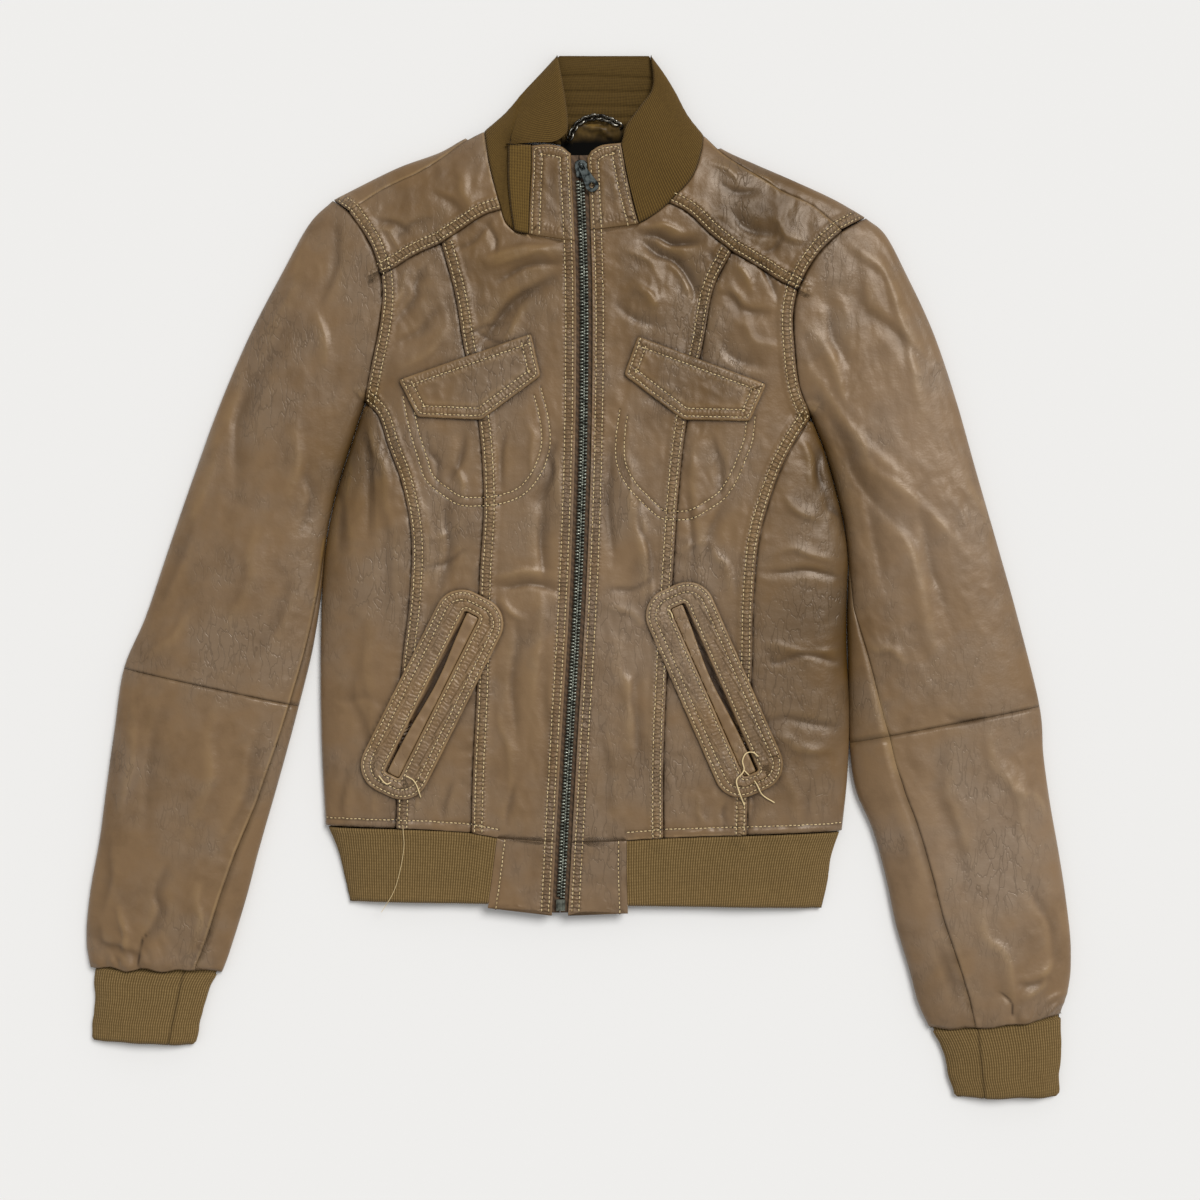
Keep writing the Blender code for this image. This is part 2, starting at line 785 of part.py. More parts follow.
def sleeve(side, parts):
    """The four pieces of a sleeve: upper and lower, each with a top and an under piece."""
    surface = tube_surface(sleeve_sections(side), height)
    rows = len(SLEEVES[side])
    seam_share = np.array([1.0] + [row[4] for row in SLEEVES[side]])
    spans = {
        "upper": (0.0, ELBOW_ROW - ELBOW_TRIM),
        "lower": (ELBOW_ROW + ELBOW_TRIM, rows - SLEEVE_END_TRIM),
    }
    for stretch, (first, last) in spans.items():
        levels = np.linspace(first, last, SLEEVE_LEVELS[stretch])
        meet = angle_of(np.interp(levels, np.arange(rows + 1), seam_share))[:, None]
        for piece, angles in zip(("top", "under"), sleeve_angles(side)):
            columns = len(angles)
            fixed, moving = (angles[0], angles[-1]) if piece == "top" else (angles[-1], angles[0])
            pull = (angles - fixed) / (moving - fixed)
            grid_angles = angles + np.maximum(pull, 0) ** 2 * (meet - moving)
            grid_angles[:, 0] += SEAM_TURN
            grid_angles[:, -1] -= SEAM_TURN
            grid_levels = np.repeat(levels[:, None], columns, axis=1)
            points, inward = grid_of(surface, grid_angles, grid_levels)
            name = f"sleeve_{stretch}_{piece}_{side}"
            thick_grid(name, points, inward, LEATHER, "leather", parts)
    cuff = tube_surface(cuff_sections(side), lambda points: height(points, CUFF_CROWN))
    angles = np.linspace(0, 2 * np.pi, CUFF_COLUMNS + 1)[:-1]
    levels = np.linspace(0, len(CUFFS[side]) - 1, CUFF_LEVELS)
    grid_angles = np.repeat(angles[None, :], len(levels), axis=0)
    grid_levels = np.repeat(levels[:, None], len(angles), axis=1)
    points, inward = grid_of(cuff, grid_angles, grid_levels)
    thick_grid(f"cuff_{side}", points, inward, RIB, "rib", parts, ring=True)


# ---------------------------------------------------------------- folded panels


def fold_surface(seam_line, fold_line):
    """A panel that turns under a fold: surface(angles, levels) has angle 0 on the fold, pi/2
    on the upper seam and negative angles on the lower face. Both lines hold rows of x, y."""
    seam_line, fold_line = np.asarray(seam_line), np.asarray(fold_line)

    def surface(angles, levels):
        shares = 1 - np.cos(angles)
        fold = through_rows(fold_line[:, None], levels[:, :1])
        far = through_rows(seam_line[:, None], levels[:, :1])
        places = fold + shares[:, :, None] * (far - fold)
        across = (far - fold)[:, 0]
        width = np.linalg.norm(across, axis=1)[:, None]
        top = height(places.reshape(-1, 2)).reshape(shares.shape)
        height_here = np.where(angles >= 0, top, round_under(shares * width))
        return np.dstack([places, height_here]), across / width

    return surface


def fold_rows(seam_name, fold_name, side, levels):
    """Matching points of a panel's upper seam and of its fold, as rows, and the levels
    between them that shares of their length stand for."""
    shares = np.linspace(0, 1, FOLD_ROWS)
    seam_line = at_shares(seam(seam_name, side, CURVE_STEP), shares)
    fold_line = at_shares(seam(fold_name, side, CURVE_STEP), shares)
    return seam_line, fold_line, np.asarray(levels) * (FOLD_ROWS - 1)


def under_seam(seam_name, fold_name, side, wrap, levels):
    """The seam below a folded panel, at the same levels as the panel."""
    seam_line, fold_line, levels = fold_rows(seam_name, fold_name, side, levels)
    far = through_rows(seam_line[:, None], levels[:, None])[:, 0]
    fold = through_rows(fold_line[:, None], levels[:, None])[:, 0]
    return fold + wrap * (far - fold)


def upper_seam(seam_name, side, levels):
    """The seam above a folded panel as the panel's rows meet it, with its two corners."""
    seam_line, _, levels = fold_rows(seam_name, seam_name, side, levels)
    met = through_rows(seam_line[:, None], levels[:, None])[:, 0]
    return np.concatenate([seam_line[:1], met, seam_line[-1:]])


def folded_panel(name, seam_name, fold_name, side, wrap, levels, parts):
    """A panel from a seam on top, round the fold at the outline, to a seam underneath."""
    seam_line, fold_line, levels = fold_rows(seam_name, fold_name, side, levels)
    surface = fold_surface(seam_line, fold_line)
    width = np.linalg.norm(seam_line - fold_line, axis=1)
    width = np.interp(levels, np.arange(FOLD_ROWS), width)
    low = -np.arccos(1 - np.clip(wrap - SEAM_GAP / 2 / width, 0, 1))
    high = np.arccos(np.clip(SEAM_GAP / 2 / width, 0, 1))
    angles = fan(low, high, FOLD_COLUMNS)
    grid_levels = np.repeat(levels[:, None], angles.shape[1], axis=1)
    points, inward = grid_of(surface, angles, grid_levels)
    inward[:, -1] = (0, 0, -1)
    inward[:, 0] = (0, 0, 1)
    thick_grid(name, points, inward, LEATHER, "leather", parts)


def front_panels(side, parts):
    """Yoke, centre, middle and side panels of one front, and its shoulder strip."""
    back = slice(None, None, -1)
    zip_side = zip_edge(side, corner("tab_corner", side)[1] - TAB_EDGE_DROP, FRONT_END)
    yoke = outline(
        upper_seam("shoulder_seam", side, SHOULDER_LEVELS),
        armhole_edge(side, True, "seam_armhole", "yoke_armhole"),
        seam("yoke_outer", side)[back],
        seam("yoke_inner", side)[back],
        seam("neck_yoke", side)[back],
    )
    centre = outline(
        seam("yoke_inner", side),
        seam("mid_seam", side),
        seam("hem_inner", side),
        zip_side[back],
        [corner("tab_corner", side)],
        seam("neck_front", side)[back],
    )
    middle = outline(
        seam("yoke_outer", side),
        armhole_edge(side, True, "yoke_armhole", "underarm"),
        upper_seam("princess", side, SIDE_LEVELS),
        seam("hem_middle", side),
        seam("mid_seam", side)[back],
    )
    for name, loop in (("front_yoke", yoke), ("centre_front", centre), ("mid_front", middle)):
        wall(f"{name}_{side}", loop, height, LEATHER, "leather", parts)
    folded_panel(
        f"side_front_{side}", "princess", "side_fold", side, SIDE_WRAP, SIDE_LEVELS, parts,
    )
    folded_panel(
        f"shoulder_{side}", "shoulder_seam", "shoulder_fold", side, 1.0, SHOULDER_LEVELS, parts,
    )


def back_panels(parts):
    """The back and its yoke, flat on the surface."""
    back = slice(None, None, -1)
    left, right = [
        under_seam("princess", "side_fold", side, SIDE_WRAP, SIDE_LEVELS)
        for side in ("left", "right")
    ]
    low_left, low_right = [
        armhole_edge(side, False, "yoke_armhole", "underarm") for side in ("left", "right")
    ]
    high_left, high_right = [
        armhole_edge(side, False, "seam_armhole", "yoke_armhole") for side in ("left", "right")
    ]
    body = outline(low_left, left, right[back], low_right[back])
    shoulders = [
        under_seam("shoulder_seam", "shoulder_fold", side, 1.0, SHOULDER_LEVELS)
        for side in ("left", "right")
    ]
    yoke = outline(
        neckline(),
        shoulders[1],
        high_right,
        high_left[back],
        shoulders[0][back],
    )
    wall("back_panel", body, flat(LEATHER), LEATHER, "leather", parts, step=FLAT_STEP)
    wall("back_yoke", yoke, flat(LEATHER), LEATHER, "leather", parts, step=FLAT_STEP)


def collar(parts):
    """Rib-knit stand collar: the back lies flat, each side folds over and rises to its rim."""
    back = slice(None, None, -1)
    fold = {side: edge("collar_fold", side) for side in ("left", "right")}
    band = inset(outline(neckline(), fold["right"], fold["left"][back]), COLLAR_BACK_INSET)
    wall("collar_back", band, flat(RIB), RIB, "rib", parts, step=FLAT_STEP)
    rise = lifted(height, COLLAR_RISE)
    for side in ("left", "right"):
        head = edge("tab_head", side)
        tab = outline(
            seam("tab_side", side),
            head,
            zip_edge(
                side, head[-1][1] - TAB_EDGE_DROP, corner("tab_corner", side)[1] - TAB_EDGE_DROP
            ),
            [corner("tab_corner", side)],
        )
        wall(f"collar_tab_{side}", tab, height, LEATHER, "leather", parts)
        front = seam("tab_side", side)
        neck = seam("neck_front", side)[back][1:]
        if side == "left":
            front = np.array(STRIP_FOLD, float)
            neck = neck[neck[:, 0] < front[0, 0] - STRIP_CLEARANCE]
            strip = outline(front, [STRIP_HEAD], seam("tab_side", side)[back])
            wall("collar_strip_left", strip, rise, RIB, "rib", parts)
        loop = outline(
            fold[side],
            edge("collar_rim", side),
            front[back],
            [front[0]],
            neck,
            seam("neck_yoke", side)[back],
        )
        wall(f"collar_side_{side}", loop, rise, RIB, "rib", parts)


def hem_line(x):
    """The lower edge of the leather at x, across both fronts."""
    names = ("hem_outer", "hem_middle", "hem_inner")
    points = np.concatenate([seam(name, side) for name in names for side in ("left", "right")])
    points = points[np.argsort(points[:, 0])]
    return np.interp(x, points[:, 0], points[:, 1])


def hem(parts):
    """Rib-knit hem band, open at the front, and the leather tabs beside the zip."""
    shares = np.linspace(0, 1, HEM_LEVELS)
    left, right = [
        at_shares(edge("hem_rib_side", side, CURVE_STEP), shares) for side in ("left", "right")
    ]

    def sections(angles):
        across = (1 - np.cos(angles)) / 2
        rows = left[:, None] + across[None, :, None] * (right - left)[:, None]
        drop = hem_line(rows[:, :, 0]) - HEM_CLEARANCE - rows[:1, :, 1]
        above = (np.sin(angles) >= 0)[None, :]
        rows[:, :, 1] += np.where(above, np.minimum(drop, 0), 0) * (1 - shares[:, None])
        return rows

    surface = tube_surface(sections, rib_height)
    levels = np.arange(HEM_LEVELS, dtype=float)
    middle = np.linspace(*HEM_END_ANGLES)
    ends = {}
    for side, gap in (("left", -HEM_CLEARANCE), ("right", HEM_CLEARANCE)):
        tab = seam("hem_tab_side", side)
        places = through_rows(sections(middle), np.repeat(levels[:, None], len(middle), axis=1))
        reach = places[:, :, 0] - np.interp(-places[:, :, 1], -tab[:, 1], tab[:, 0]) - gap
        ends[side] = np.array([np.interp(0, row, middle) for row in reach])
    angles = fan(ends["right"], ends["left"] + 2 * np.pi, HEM_COLUMNS)
    grid_levels = np.repeat(levels[:, None], angles.shape[1], axis=1)
    points, inward = grid_of(surface, angles, grid_levels)
    thick_grid("hem_rib", points, inward, RIB, "rib", parts)
    for side in ("left", "right"):
        beside_zip = zip_edge(side, HEM_TAB_TOP, HEM_TAB_END)
        tab = outline(seam("hem_tab_side", side), beside_zip[::-1])
        wall(f"hem_tab_{side}", tab, rib_height, LEATHER, "leather", parts)


def rounded_bar(start, end, half_width, reach, radius):
    """A rounded rectangle round the line from start to end."""
    start, end = np.array(start, float), np.array(end, float)
    run = (end - start) / np.linalg.norm(end - start)
    side = np.array([-run[1], run[0]])
    loop = []
    for middle, way in ((end, 1), (start, -1)):
        for sign in (1, -1):
            centre = middle + way * (reach - radius) * run
            centre = centre + way * sign * (half_width - radius) * side
            first = 0 if sign < 0 else math.pi / 2
            for turn in np.linspace(first, first - math.pi / 2, max(2, int(radius / 3))):
                out = math.sin(turn) * side + math.cos(turn) * run
                loop.append(centre + way * radius * out)
    return np.array(loop)


def pockets(side, parts):
    """Chest pocket flap, hip pocket frame and the lip inside its slit."""
    corners = np.array(one_side(EDGES["pocket_flap"], side), float)
    sides = zip(corners, np.roll(corners, -1, axis=0))
    flap = outline(*[smooth(pair, OUTLINE_STEP) for pair in sides])
    upper = lifted(height, FLAP_THICKNESS + LAID_ON)
    wall(f"pocket_flap_{side}", flap, upper, FLAP_THICKNESS, "leather", parts)
    x1, y1, x2, y2 = POCKET_LINE[side]
    frame = rounded_bar((x1, y1), (x2, y2), FRAME_HALF_WIDTH, FRAME_END_REACH, FRAME_CORNER)
    slit = rounded_bar((x1, y1), (x2, y2), SLIT_HALF_WIDTH, 0.0, SLIT_CORNER)
    raised = lifted(height, LEATHER + LAID_ON)
    wall(f"pocket_frame_{side}", frame, raised, LEATHER, "leather", parts, holes=[slit])
    wall(f"pocket_lip_{side}", inset(slit, LIP_CLEARANCE), raised, LEATHER, "leather", parts)


def neck_fittings(parts):
    """The lining seen inside the neck and the hanger chain across it, as a plain tube."""
    patch = smooth([*LINING, LINING[0]], 9.0)[:-1]
    wall("neck_lining", patch, flat(LINING_HEIGHT), LEATHER, "lining", parts, step=FLAT_STEP)
    line = smooth(CHAIN_LINE, 5.0)
    curve = bpy.data.curves.new("hanger_chain", "CURVE")
    curve.dimensions = "3D"
    curve.bevel_depth = CHAIN_RADIUS * MM
    curve.bevel_resolution = 2
    curve.use_fill_caps = True
    spline = curve.splines.new("POLY")
    spline.points.add(len(line) - 1)
    ends = np.column_stack([line, np.full(len(line), CHAIN_HEIGHT)])
    for point, place in zip(spline.points, placed(ends)):
        point.co = (*place, 1)
    parts.objects.link(bpy.data.objects.new("hanger_chain", curve))
    curve.materials.append(new_material("hanger_chain", "steel"))


def zip_strip(name, low_offset, high_offset, top, bottom, lift, thickness, colour, parts):
    """A strip along the zip between two offsets from its centre line."""
    near = along_zip(low_offset, top, bottom)
    far = along_zip(high_offset, top, bottom)
    upper = lifted(rib_height, lift)
    wall(name, outline(near, far[::-1]), upper, thickness, colour, parts, gap=0.0)


def block(name, size, bevel):
    """A box with rounded edges, centred on its origin, in millimetres."""
    mesh = bpy.data.meshes.new(name)
    work = bmesh.new()
    bmesh.ops.create_cube(work, size=MM)
    bmesh.ops.scale(work, vec=size, verts=work.verts)
    bmesh.ops.bevel(
        work, geom=work.edges[:], offset=bevel * MM, segments=2, profile=0.5, affect="EDGES",
    )
    work.to_mesh(mesh)
    work.free()
    return mesh


def pull_frame():
    """The zip pull's own axes: x along its hinge, y along the pull, z up."""
    y = Vector((*PULL_DIRECTION, 0)).normalized()
    x = y.cross(Vector((0, 0, 1)))
    tilt = Matrix.Rotation(-PULL_TILT, 4, "X")
    place = Matrix.Translation(Vector(placed([(*HINGE_POINT, hinge_height())])[0]))
    return place @ Matrix((x, y, (0, 0, 1))).transposed().to_4x4(), tilt


def hinge_height():
    """Height of the pull tab's hinge above the surface."""
    return float(height([HINGE_POINT])[0]) + HINGE_LIFT


def zip_hardware(parts):
    """Zip chain, tapes, slider with its bridge, pull tab on the bridge and end box."""
    for side, sign in (("left", -1), ("right", 1)):
        ends = (sign * TAPE_SLOT, sign * ZIP_TAPE_HALF)
        zip_strip(f"zip_tape_{side}", *ends, ZIP_TAPE_TOP, ZIP_END, TAPE_LIFT, TAPE, "tape", parts)
    zip_strip(
        "zip_chain", -ZIP_CHAIN_HALF, ZIP_CHAIN_HALF, ZIP_CHAIN_TOP, ZIP_CHAIN_END,
        CHAIN_LIFT, CHAIN_THICKNESS, "metal", parts,
    )
    plates = block("zip_slider", SLIDER_SIZE, SLIDER_BEVEL)
    slider = new_object("zip_slider", plates, "metal", parts)
    frame, tilt = pull_frame()
    top = SLIDER_SIZE[2] / 2
    middle = (HINGE_POINT[0], HINGE_POINT[1] - SLIDER_SHIFT, hinge_height() - SLIDER_DROP - top)
    slider.location = Vector(placed([middle])[0])
    join_bridge(slider, frame, parts)
    pull = new_object("zip_pull", pull_mesh(), "metal", parts)
    pull.matrix_world = frame @ tilt
    cast = block("zip_end_box", END_BOX_SIZE, END_BOX_BEVEL)
    box = new_object("zip_end_box", cast, "metal", parts)
    place = np.array([[*END_BOX_POINT, 0.0]])
    place[0, 2] = rib_height(place[:, :2])[0] + END_BOX_LIFT
    box.location = Vector(placed(place)[0])


def join_bridge(slider, frame, parts):
    """Unites the slider with the half ring that the pull tab hangs on."""
    curve = bpy.data.curves.new("bridge", "CURVE")
    curve.dimensions = "3D"
    curve.bevel_depth = BRIDGE_WIRE * MM
    curve.bevel_resolution = 2
    curve.use_fill_caps = True
    spline = curve.splines.new("POLY")
    foot = -SLIDER_DROP - BRIDGE_FOOT
    arc = [(0, -BRIDGE_RADIUS, foot)]
    for turn in np.linspace(0, math.pi, 9):
        arc.append((0, -BRIDGE_RADIUS * math.cos(turn), BRIDGE_RADIUS * math.sin(turn)))
    arc.append((0, BRIDGE_RADIUS, foot))
    spline.points.add(len(arc) - 1)
    for point, place in zip(spline.points, arc):
        point.co = (*(Vector(place) * MM), 1)
    wire = bpy.data.objects.new("bridge_wire", curve)
    cutters = bpy.data.collections.new("cutters")
    bpy.context.scene.collection.children.link(cutters)
    cutters.objects.link(wire)
    bpy.context.view_layer.update()
    evaluated = wire.evaluated_get(bpy.context.evaluated_depsgraph_get())
    mesh = bpy.data.meshes.new_from_object(evaluated)
    work = bmesh.new()
    work.from_mesh(mesh)
    bmesh.ops.remove_doubles(work, verts=work.verts, dist=0.01 * MM)
    bmesh.ops.recalc_face_normals(work, faces=work.faces)
    work.to_mesh(mesh)
    work.free()
    bpy.data.objects.remove(wire, do_unlink=True)
    bridge = bpy.data.objects.new("bridge", mesh)
    bridge.matrix_world = frame
    bridge.hide_render = True
    bridge.display_type = "WIRE"
    cutters.objects.link(bridge)
    union = slider.modifiers.new("bridge", "BOOLEAN")
    union.operation = "UNION"
    union.solver = "EXACT"
    union.object = bridge


def pull_mesh():
    """A flat pull tab with a window for the bridge and a ring at its end, hinge at the origin."""
    half = PULL_STEM_HALF
    turns = np.linspace(math.pi - RING_TANGENT, RING_TANGENT - math.pi, 19)
    head = [(PULL_RING * math.sin(a), PULL_LENGTH + PULL_RING * math.cos(a)) for a in turns]
    stem = [(-half, -PULL_HEEL), (half, -PULL_HEEL), (half, PULL_STEM)]
    loop = np.array([*stem, *head, (-half, PULL_STEM)], float)
    wide, low, high = PULL_WINDOW
    window = np.array([(-wide, low), (wide, low), (wide, high), (-wide, high)])
    circle = np.linspace(0, 2 * math.pi, 15)[:-1]
    hole = np.column_stack([PULL_HOLE * np.cos(circle), PULL_LENGTH + PULL_HOLE * np.sin(circle)])
    places, triangles = filled(loop, [window, hole], FLAT_STEP)
    top = np.column_stack([places, np.full(len(places), PULL_THICKNESS / 2)])
    return mesh_of("zip_pull", *prism(top, triangles, PULL_THICKNESS), centre=(0, 0, 0))


def main():
    """Builds every sub-part of the jacket."""
    for thing in list(bpy.data.objects):
        bpy.data.objects.remove(thing, do_unlink=True)
    parts = bpy.data.collections.new("worn_leather_jacket")
    bpy.context.scene.collection.children.link(parts)
    back_panels(parts)
    collar(parts)
    hem(parts)
    for side in ("left", "right"):
        front_panels(side, parts)
        sleeve(side, parts)
        pockets(side, parts)
    zip_hardware(parts)
    neck_fittings(parts)


if __name__ == "__main__":
    main()
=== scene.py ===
"""Looks of a worn leather jacket that lies flat on its back.

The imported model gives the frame. Every piece here is a thin shell, a knitted band, a piece
of hardware or a run of stitches that stands where the model's own node stands. Lengths in
the tables are millimetres in the pattern's own coordinates; +X is to the right of someone
looking down on the jacket, +Y runs from hem to collar and +Z points up. "left" and "right"
are the sides as seen from above.
"""

import json
import logging
import math
from collections.abc import Callable, Iterable, Sequence
from dataclasses import dataclass, field
from enum import Enum

import bpy
import numpy as np
from mathutils import Matrix, Vector
from mathutils.geometry import delaunay_2d_cdt


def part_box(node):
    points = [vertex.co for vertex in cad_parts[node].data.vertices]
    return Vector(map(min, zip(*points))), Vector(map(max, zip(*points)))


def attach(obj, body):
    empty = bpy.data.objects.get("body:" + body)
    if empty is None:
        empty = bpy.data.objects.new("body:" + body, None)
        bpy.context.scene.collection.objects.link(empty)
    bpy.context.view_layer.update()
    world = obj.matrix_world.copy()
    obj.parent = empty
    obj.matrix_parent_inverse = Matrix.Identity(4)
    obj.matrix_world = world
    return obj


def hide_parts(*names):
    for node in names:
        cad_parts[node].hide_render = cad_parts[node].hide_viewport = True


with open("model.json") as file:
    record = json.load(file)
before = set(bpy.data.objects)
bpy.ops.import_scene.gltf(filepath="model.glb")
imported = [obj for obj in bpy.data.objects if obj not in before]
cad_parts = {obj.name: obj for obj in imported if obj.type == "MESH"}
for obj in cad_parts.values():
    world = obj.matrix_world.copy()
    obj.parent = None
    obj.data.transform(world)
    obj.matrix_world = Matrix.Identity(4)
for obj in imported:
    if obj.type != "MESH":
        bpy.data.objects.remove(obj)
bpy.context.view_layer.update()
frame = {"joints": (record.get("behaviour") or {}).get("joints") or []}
LOG = logging.getLogger("leather_jacket")

Array = np.ndarray
Surface = Callable[[Array], Array]

MM = 0.001
LEATHER = 1.2
RIB = 2.0
SEAM_GAP = 0.3
SHELL_GAP = 0.06

# The garment's box centre in the pattern's coordinates; it stands at the frame's origin.
CENTRE_X = -0.35
CENTRE_Y = -0.6

# How the laid-out tube of cloth stands off the surface.
FOLD_HEIGHT = 3.2
CROWN = 16.0
CROWN_REACH = 55.0
RIB_FLATTENED = 0.74
HEM_SEAM_AT = -188
HEM_SINKS_OVER = 40.0
CUFF_CROWN = 12.5
ZIP_HALF_GAP = 5.9
HEM_CLEARANCE = 0.6
COLLAR_RISE = 1.5
FLAP_LIFT = 2.8
FRAME_LIFT = 2.4
FRAME_HALF_WIDTH = 25.8
FRAME_REACH = 14.7
FRAME_CORNER = 20.0
SLIT_HALF_WIDTH = 5.9
STITCH_PITCH = 3.1
# Where the puckers beside the zip start, and the y at which both fronts end.
ZIP_RUNGS_FROM = 270.0
FRONT_END = -247.0

# How finely the shells are meshed.
PANEL_GRID = 2.0
SEAM_STEP = 1.7
RIB_PITCH = 1.8
FOLD_ROWS = 25
SIDE_WRAP = 0.35
SEAM_TURN = 0.0015
SIDE_LEVELS = (0.012, 0.9985)
SHOULDER_LEVELS = (0.12, 0.99)
ELBOW_ROW = 8
BACK_SEAM_SHARE = 0.14

LEAST_STATED_WIDTH = 10.5

# Corners where seams meet: left x, left y, right x, right y.
CORNERS = {
    "neck_point": (-70, 328, 92, 325),
    "shoulder_tip": (-182, 277, 212, 264),
    "seam_armhole": (-169, 267, 193, 253),
    "yoke_armhole": (-145, 220, 160, 209),
    "underarm": (-158, 128, 171, 117),
    "yoke_neck": (-57, 268, 66, 273),
    "yoke_mid": (-101, 243, 112, 237),
    "tab_corner": (-37, 250, 44, 258),
    "hem_side": (-187, -184, 194, -188),
    "hem_princess": (-134, -185, 123, -190),
    "hem_mid": (-79, -188, 62, -192),
    "hem_tab": (-60, -192, 35, -194),
    "tab_top": (-35, 315, 31, 317),
    "tab_low": (-67, -244, 36, -248),
}

# Seams: first corner, last corner, then the stations between them, each a row of
# left x, left y, right x, right y.
SEAMS = {
    "shoulder_seam": (
        "neck_point",
        "seam_armhole",
        (-85, 319, 106, 311),
        (-102, 306, 127, 297),
        (-118, 296, 149, 283),
        (-143, 284, 172, 272),
    ),
    "shoulder_fold": (
        "neck_point",
        "shoulder_tip",
        (-84, 323, 106, 315),
        (-102, 313, 130, 304),
        (-132, 302, 160, 291),
        (-161, 288, 190, 277),
    ),
    "armhole_back": ("shoulder_tip", "seam_armhole"),
    "armhole_yoke": (
        "seam_armhole",
        "yoke_armhole",
        (-159, 253, 179, 240),
        (-152, 241, 168, 225),
    ),
    "armhole_front": (
        "yoke_armhole",
        "underarm",
        (-144, 206, 157, 192),
        (-146, 184, 158, 166),
        (-153, 151, 162, 138),
    ),
    "neck_yoke": ("neck_point", "yoke_neck", (-66, 303, 90, 312), (-61, 282, 83, 292)),
    "neck_front": ("yoke_neck", "tab_corner", (-54, 259, 59, 267), (-47, 252, 50, 261)),
    "yoke_inner": ("yoke_neck", "yoke_mid", (-69, 264, 79, 266), (-86, 253, 96, 250)),
    "yoke_outer": (
        "yoke_mid",
        "yoke_armhole",
        (-121, 234, 131, 226),
        (-137, 224, 148, 215),
    ),
    "mid_seam": (
        "yoke_mid",
        "hem_mid",
        (-91, 206, 99, 211),
        (-85, 170, 91, 170),
        (-74, 114, 79, 112),
        (-70, 56, 73, 60),
        (-73, -3, 69, 1),
        (-75, -84, 64, -84),
        (-78, -146, 62, -140),
    ),
    "princess": (
        "underarm",
        "hem_princess",
        (-148, 118, 159, 99),
        (-140, 95, 148, 78),
        (-130, 68, 139, 53),
        (-123, 30, 132, 26),
        (-124, -15, 128, -18),
        (-130, -69, 127, -62),
        (-132, -121, 125, -121),
    ),
    "side_fold": (
        "underarm",
        "hem_side",
        (-164.8, 107, 180.8, 93),
        (-173.2, 81, 188.4, 67),
        (-180.5, 56, 194.9, 40),
        (-185.8, 30, 198.4, 15),
        (-188.8, 4, 197.6, -20),
        (-190.5, -33, 197.6, -55),
        (-191, -77, 199.6, -100),
        (-190, -128, 198, -150),
    ),
    "hem_outer": ("hem_side", "hem_princess"),
    "hem_middle": ("hem_princess", "hem_mid", (-110, -186, 89, -191)),
    "hem_inner": ("hem_mid", "hem_tab"),
    "tab_side": (
        "tab_corner",
        "tab_top",
        (-36, 279, 41, 269),
        (-35, 300, 36, 290),
    ),
    "hem_tab_side": ("hem_tab", "tab_low", (-63, -215, 35, -220)),
}

# Free edges: rows of left x, left y, right x, right y.
EDGES = {
    "tab_head": ((-35, 315, 31, 317), (-23, 316, 16, 315), (-12, 314, 9, 311)),
    "collar_fold": (
        (-70, 328, 92, 325),
        (-54, 342, 80, 340),
        (-42, 356, 71, 357),
        (-29, 370, 63, 370),
        (-16, 384, 53, 384),
    ),
    "collar_rim": (
        (-16, 384, 53, 384),
        (-11, 357, 54, 359),
        (-8, 333, 45, 345),
        (-9, 324, 35, 331),
        (-17, 317.4, 33, 323),
        (-30, 316.8, 32, 319),
    ),
    "pocket_flap": (
        (-132, 143, 137, 140),
        (-35, 177, 43, 175),
        (-28, 146, 33, 147),
        (-71, 114, 76, 114),
        (-118, 116, 125, 113),
    ),
    "hem_rib_side": (
        (-185, -185, 192, -189),
        (-179, -199, 187, -203),
        (-174, -218, 184, -223),
        (-169, -240, 179, -245),
    ),
}

# Centre line of the zip, from its top end to the hem: x, y.
ZIP_LINE = ((0, 306), (3, 243), (4, 195), (3, 92), (-1, -18), (-7, -121), (-14, -249))

# Back of the neckline, and the folded end of the left collar band: x, y.
BACK_NECK = (11, 311)
STRIP_FOLD = ((-47.5, 252.3), (-50, 268), (-52, 290), (-52, 304), (-52, 316))

# Slanted hip pockets: top x, top y, bottom x, bottom y of the slit's centre line.
POCKET_LINE = {"left": (-78, -28, -137, -146), "right": (72, -22, 126, -145)}

# Sleeve sections from the shoulder down: outer fold x, y; inner fold x, y; where the inner
# seam crosses the section, as a share of its width from the outer fold.
SLEEVES = {
    "left": (
        (-199, 260, -161.4, 119, 1.00),
        (-218, 226, -166.8, 103, 1.00),
        (-243, 178, -174.3, 79, 1.00),
        (-265, 127, -182, 52, 1.00),
        (-284, 75, -187, 26, 1.00),
        (-302, 23, -190.6, -10, 0.985),
        (-320, -30, -196.5, -53, 0.965),
        (-336, -68, -207, -96, 0.955),
        (-343, -113, -216, -130, 0.94),
        (-349, -156, -227, -169, 0.916),
        (-354, -194, -237, -204, 0.875),
        (-361, -233, -245, -235, 0.845),
        (-364, -268, -256, -271, 0.83),
        (-361, -286, -263, -290, 0.81),
    ),
    "right": (
        (226, 252, 175, 110, 1.00),
        (240, 226, 181.6, 93, 1.00),
        (261, 181, 189.2, 66, 1.00),
        (278, 131, 196, 37, 1.00),
        (293, 78, 199.6, 8, 1.00),
        (308, 26, 198.6, -27, 0.96),
        (324, -31, 199, -69, 0.88),
        (340, -96, 200.6, -123, 0.80),
        (343, -133, 204, -157, 0.765),
        (348, -169, 217, -188, 0.762),
        (354, -203, 227, -224, 0.752),
        (359, -235, 234, -257, 0.737),
        (363, -271, 244, -291, 0.712),
        (362, -301, 250, -314, 0.68),
        (356, -322, 257.5, -332, 0.667),
    ),
}

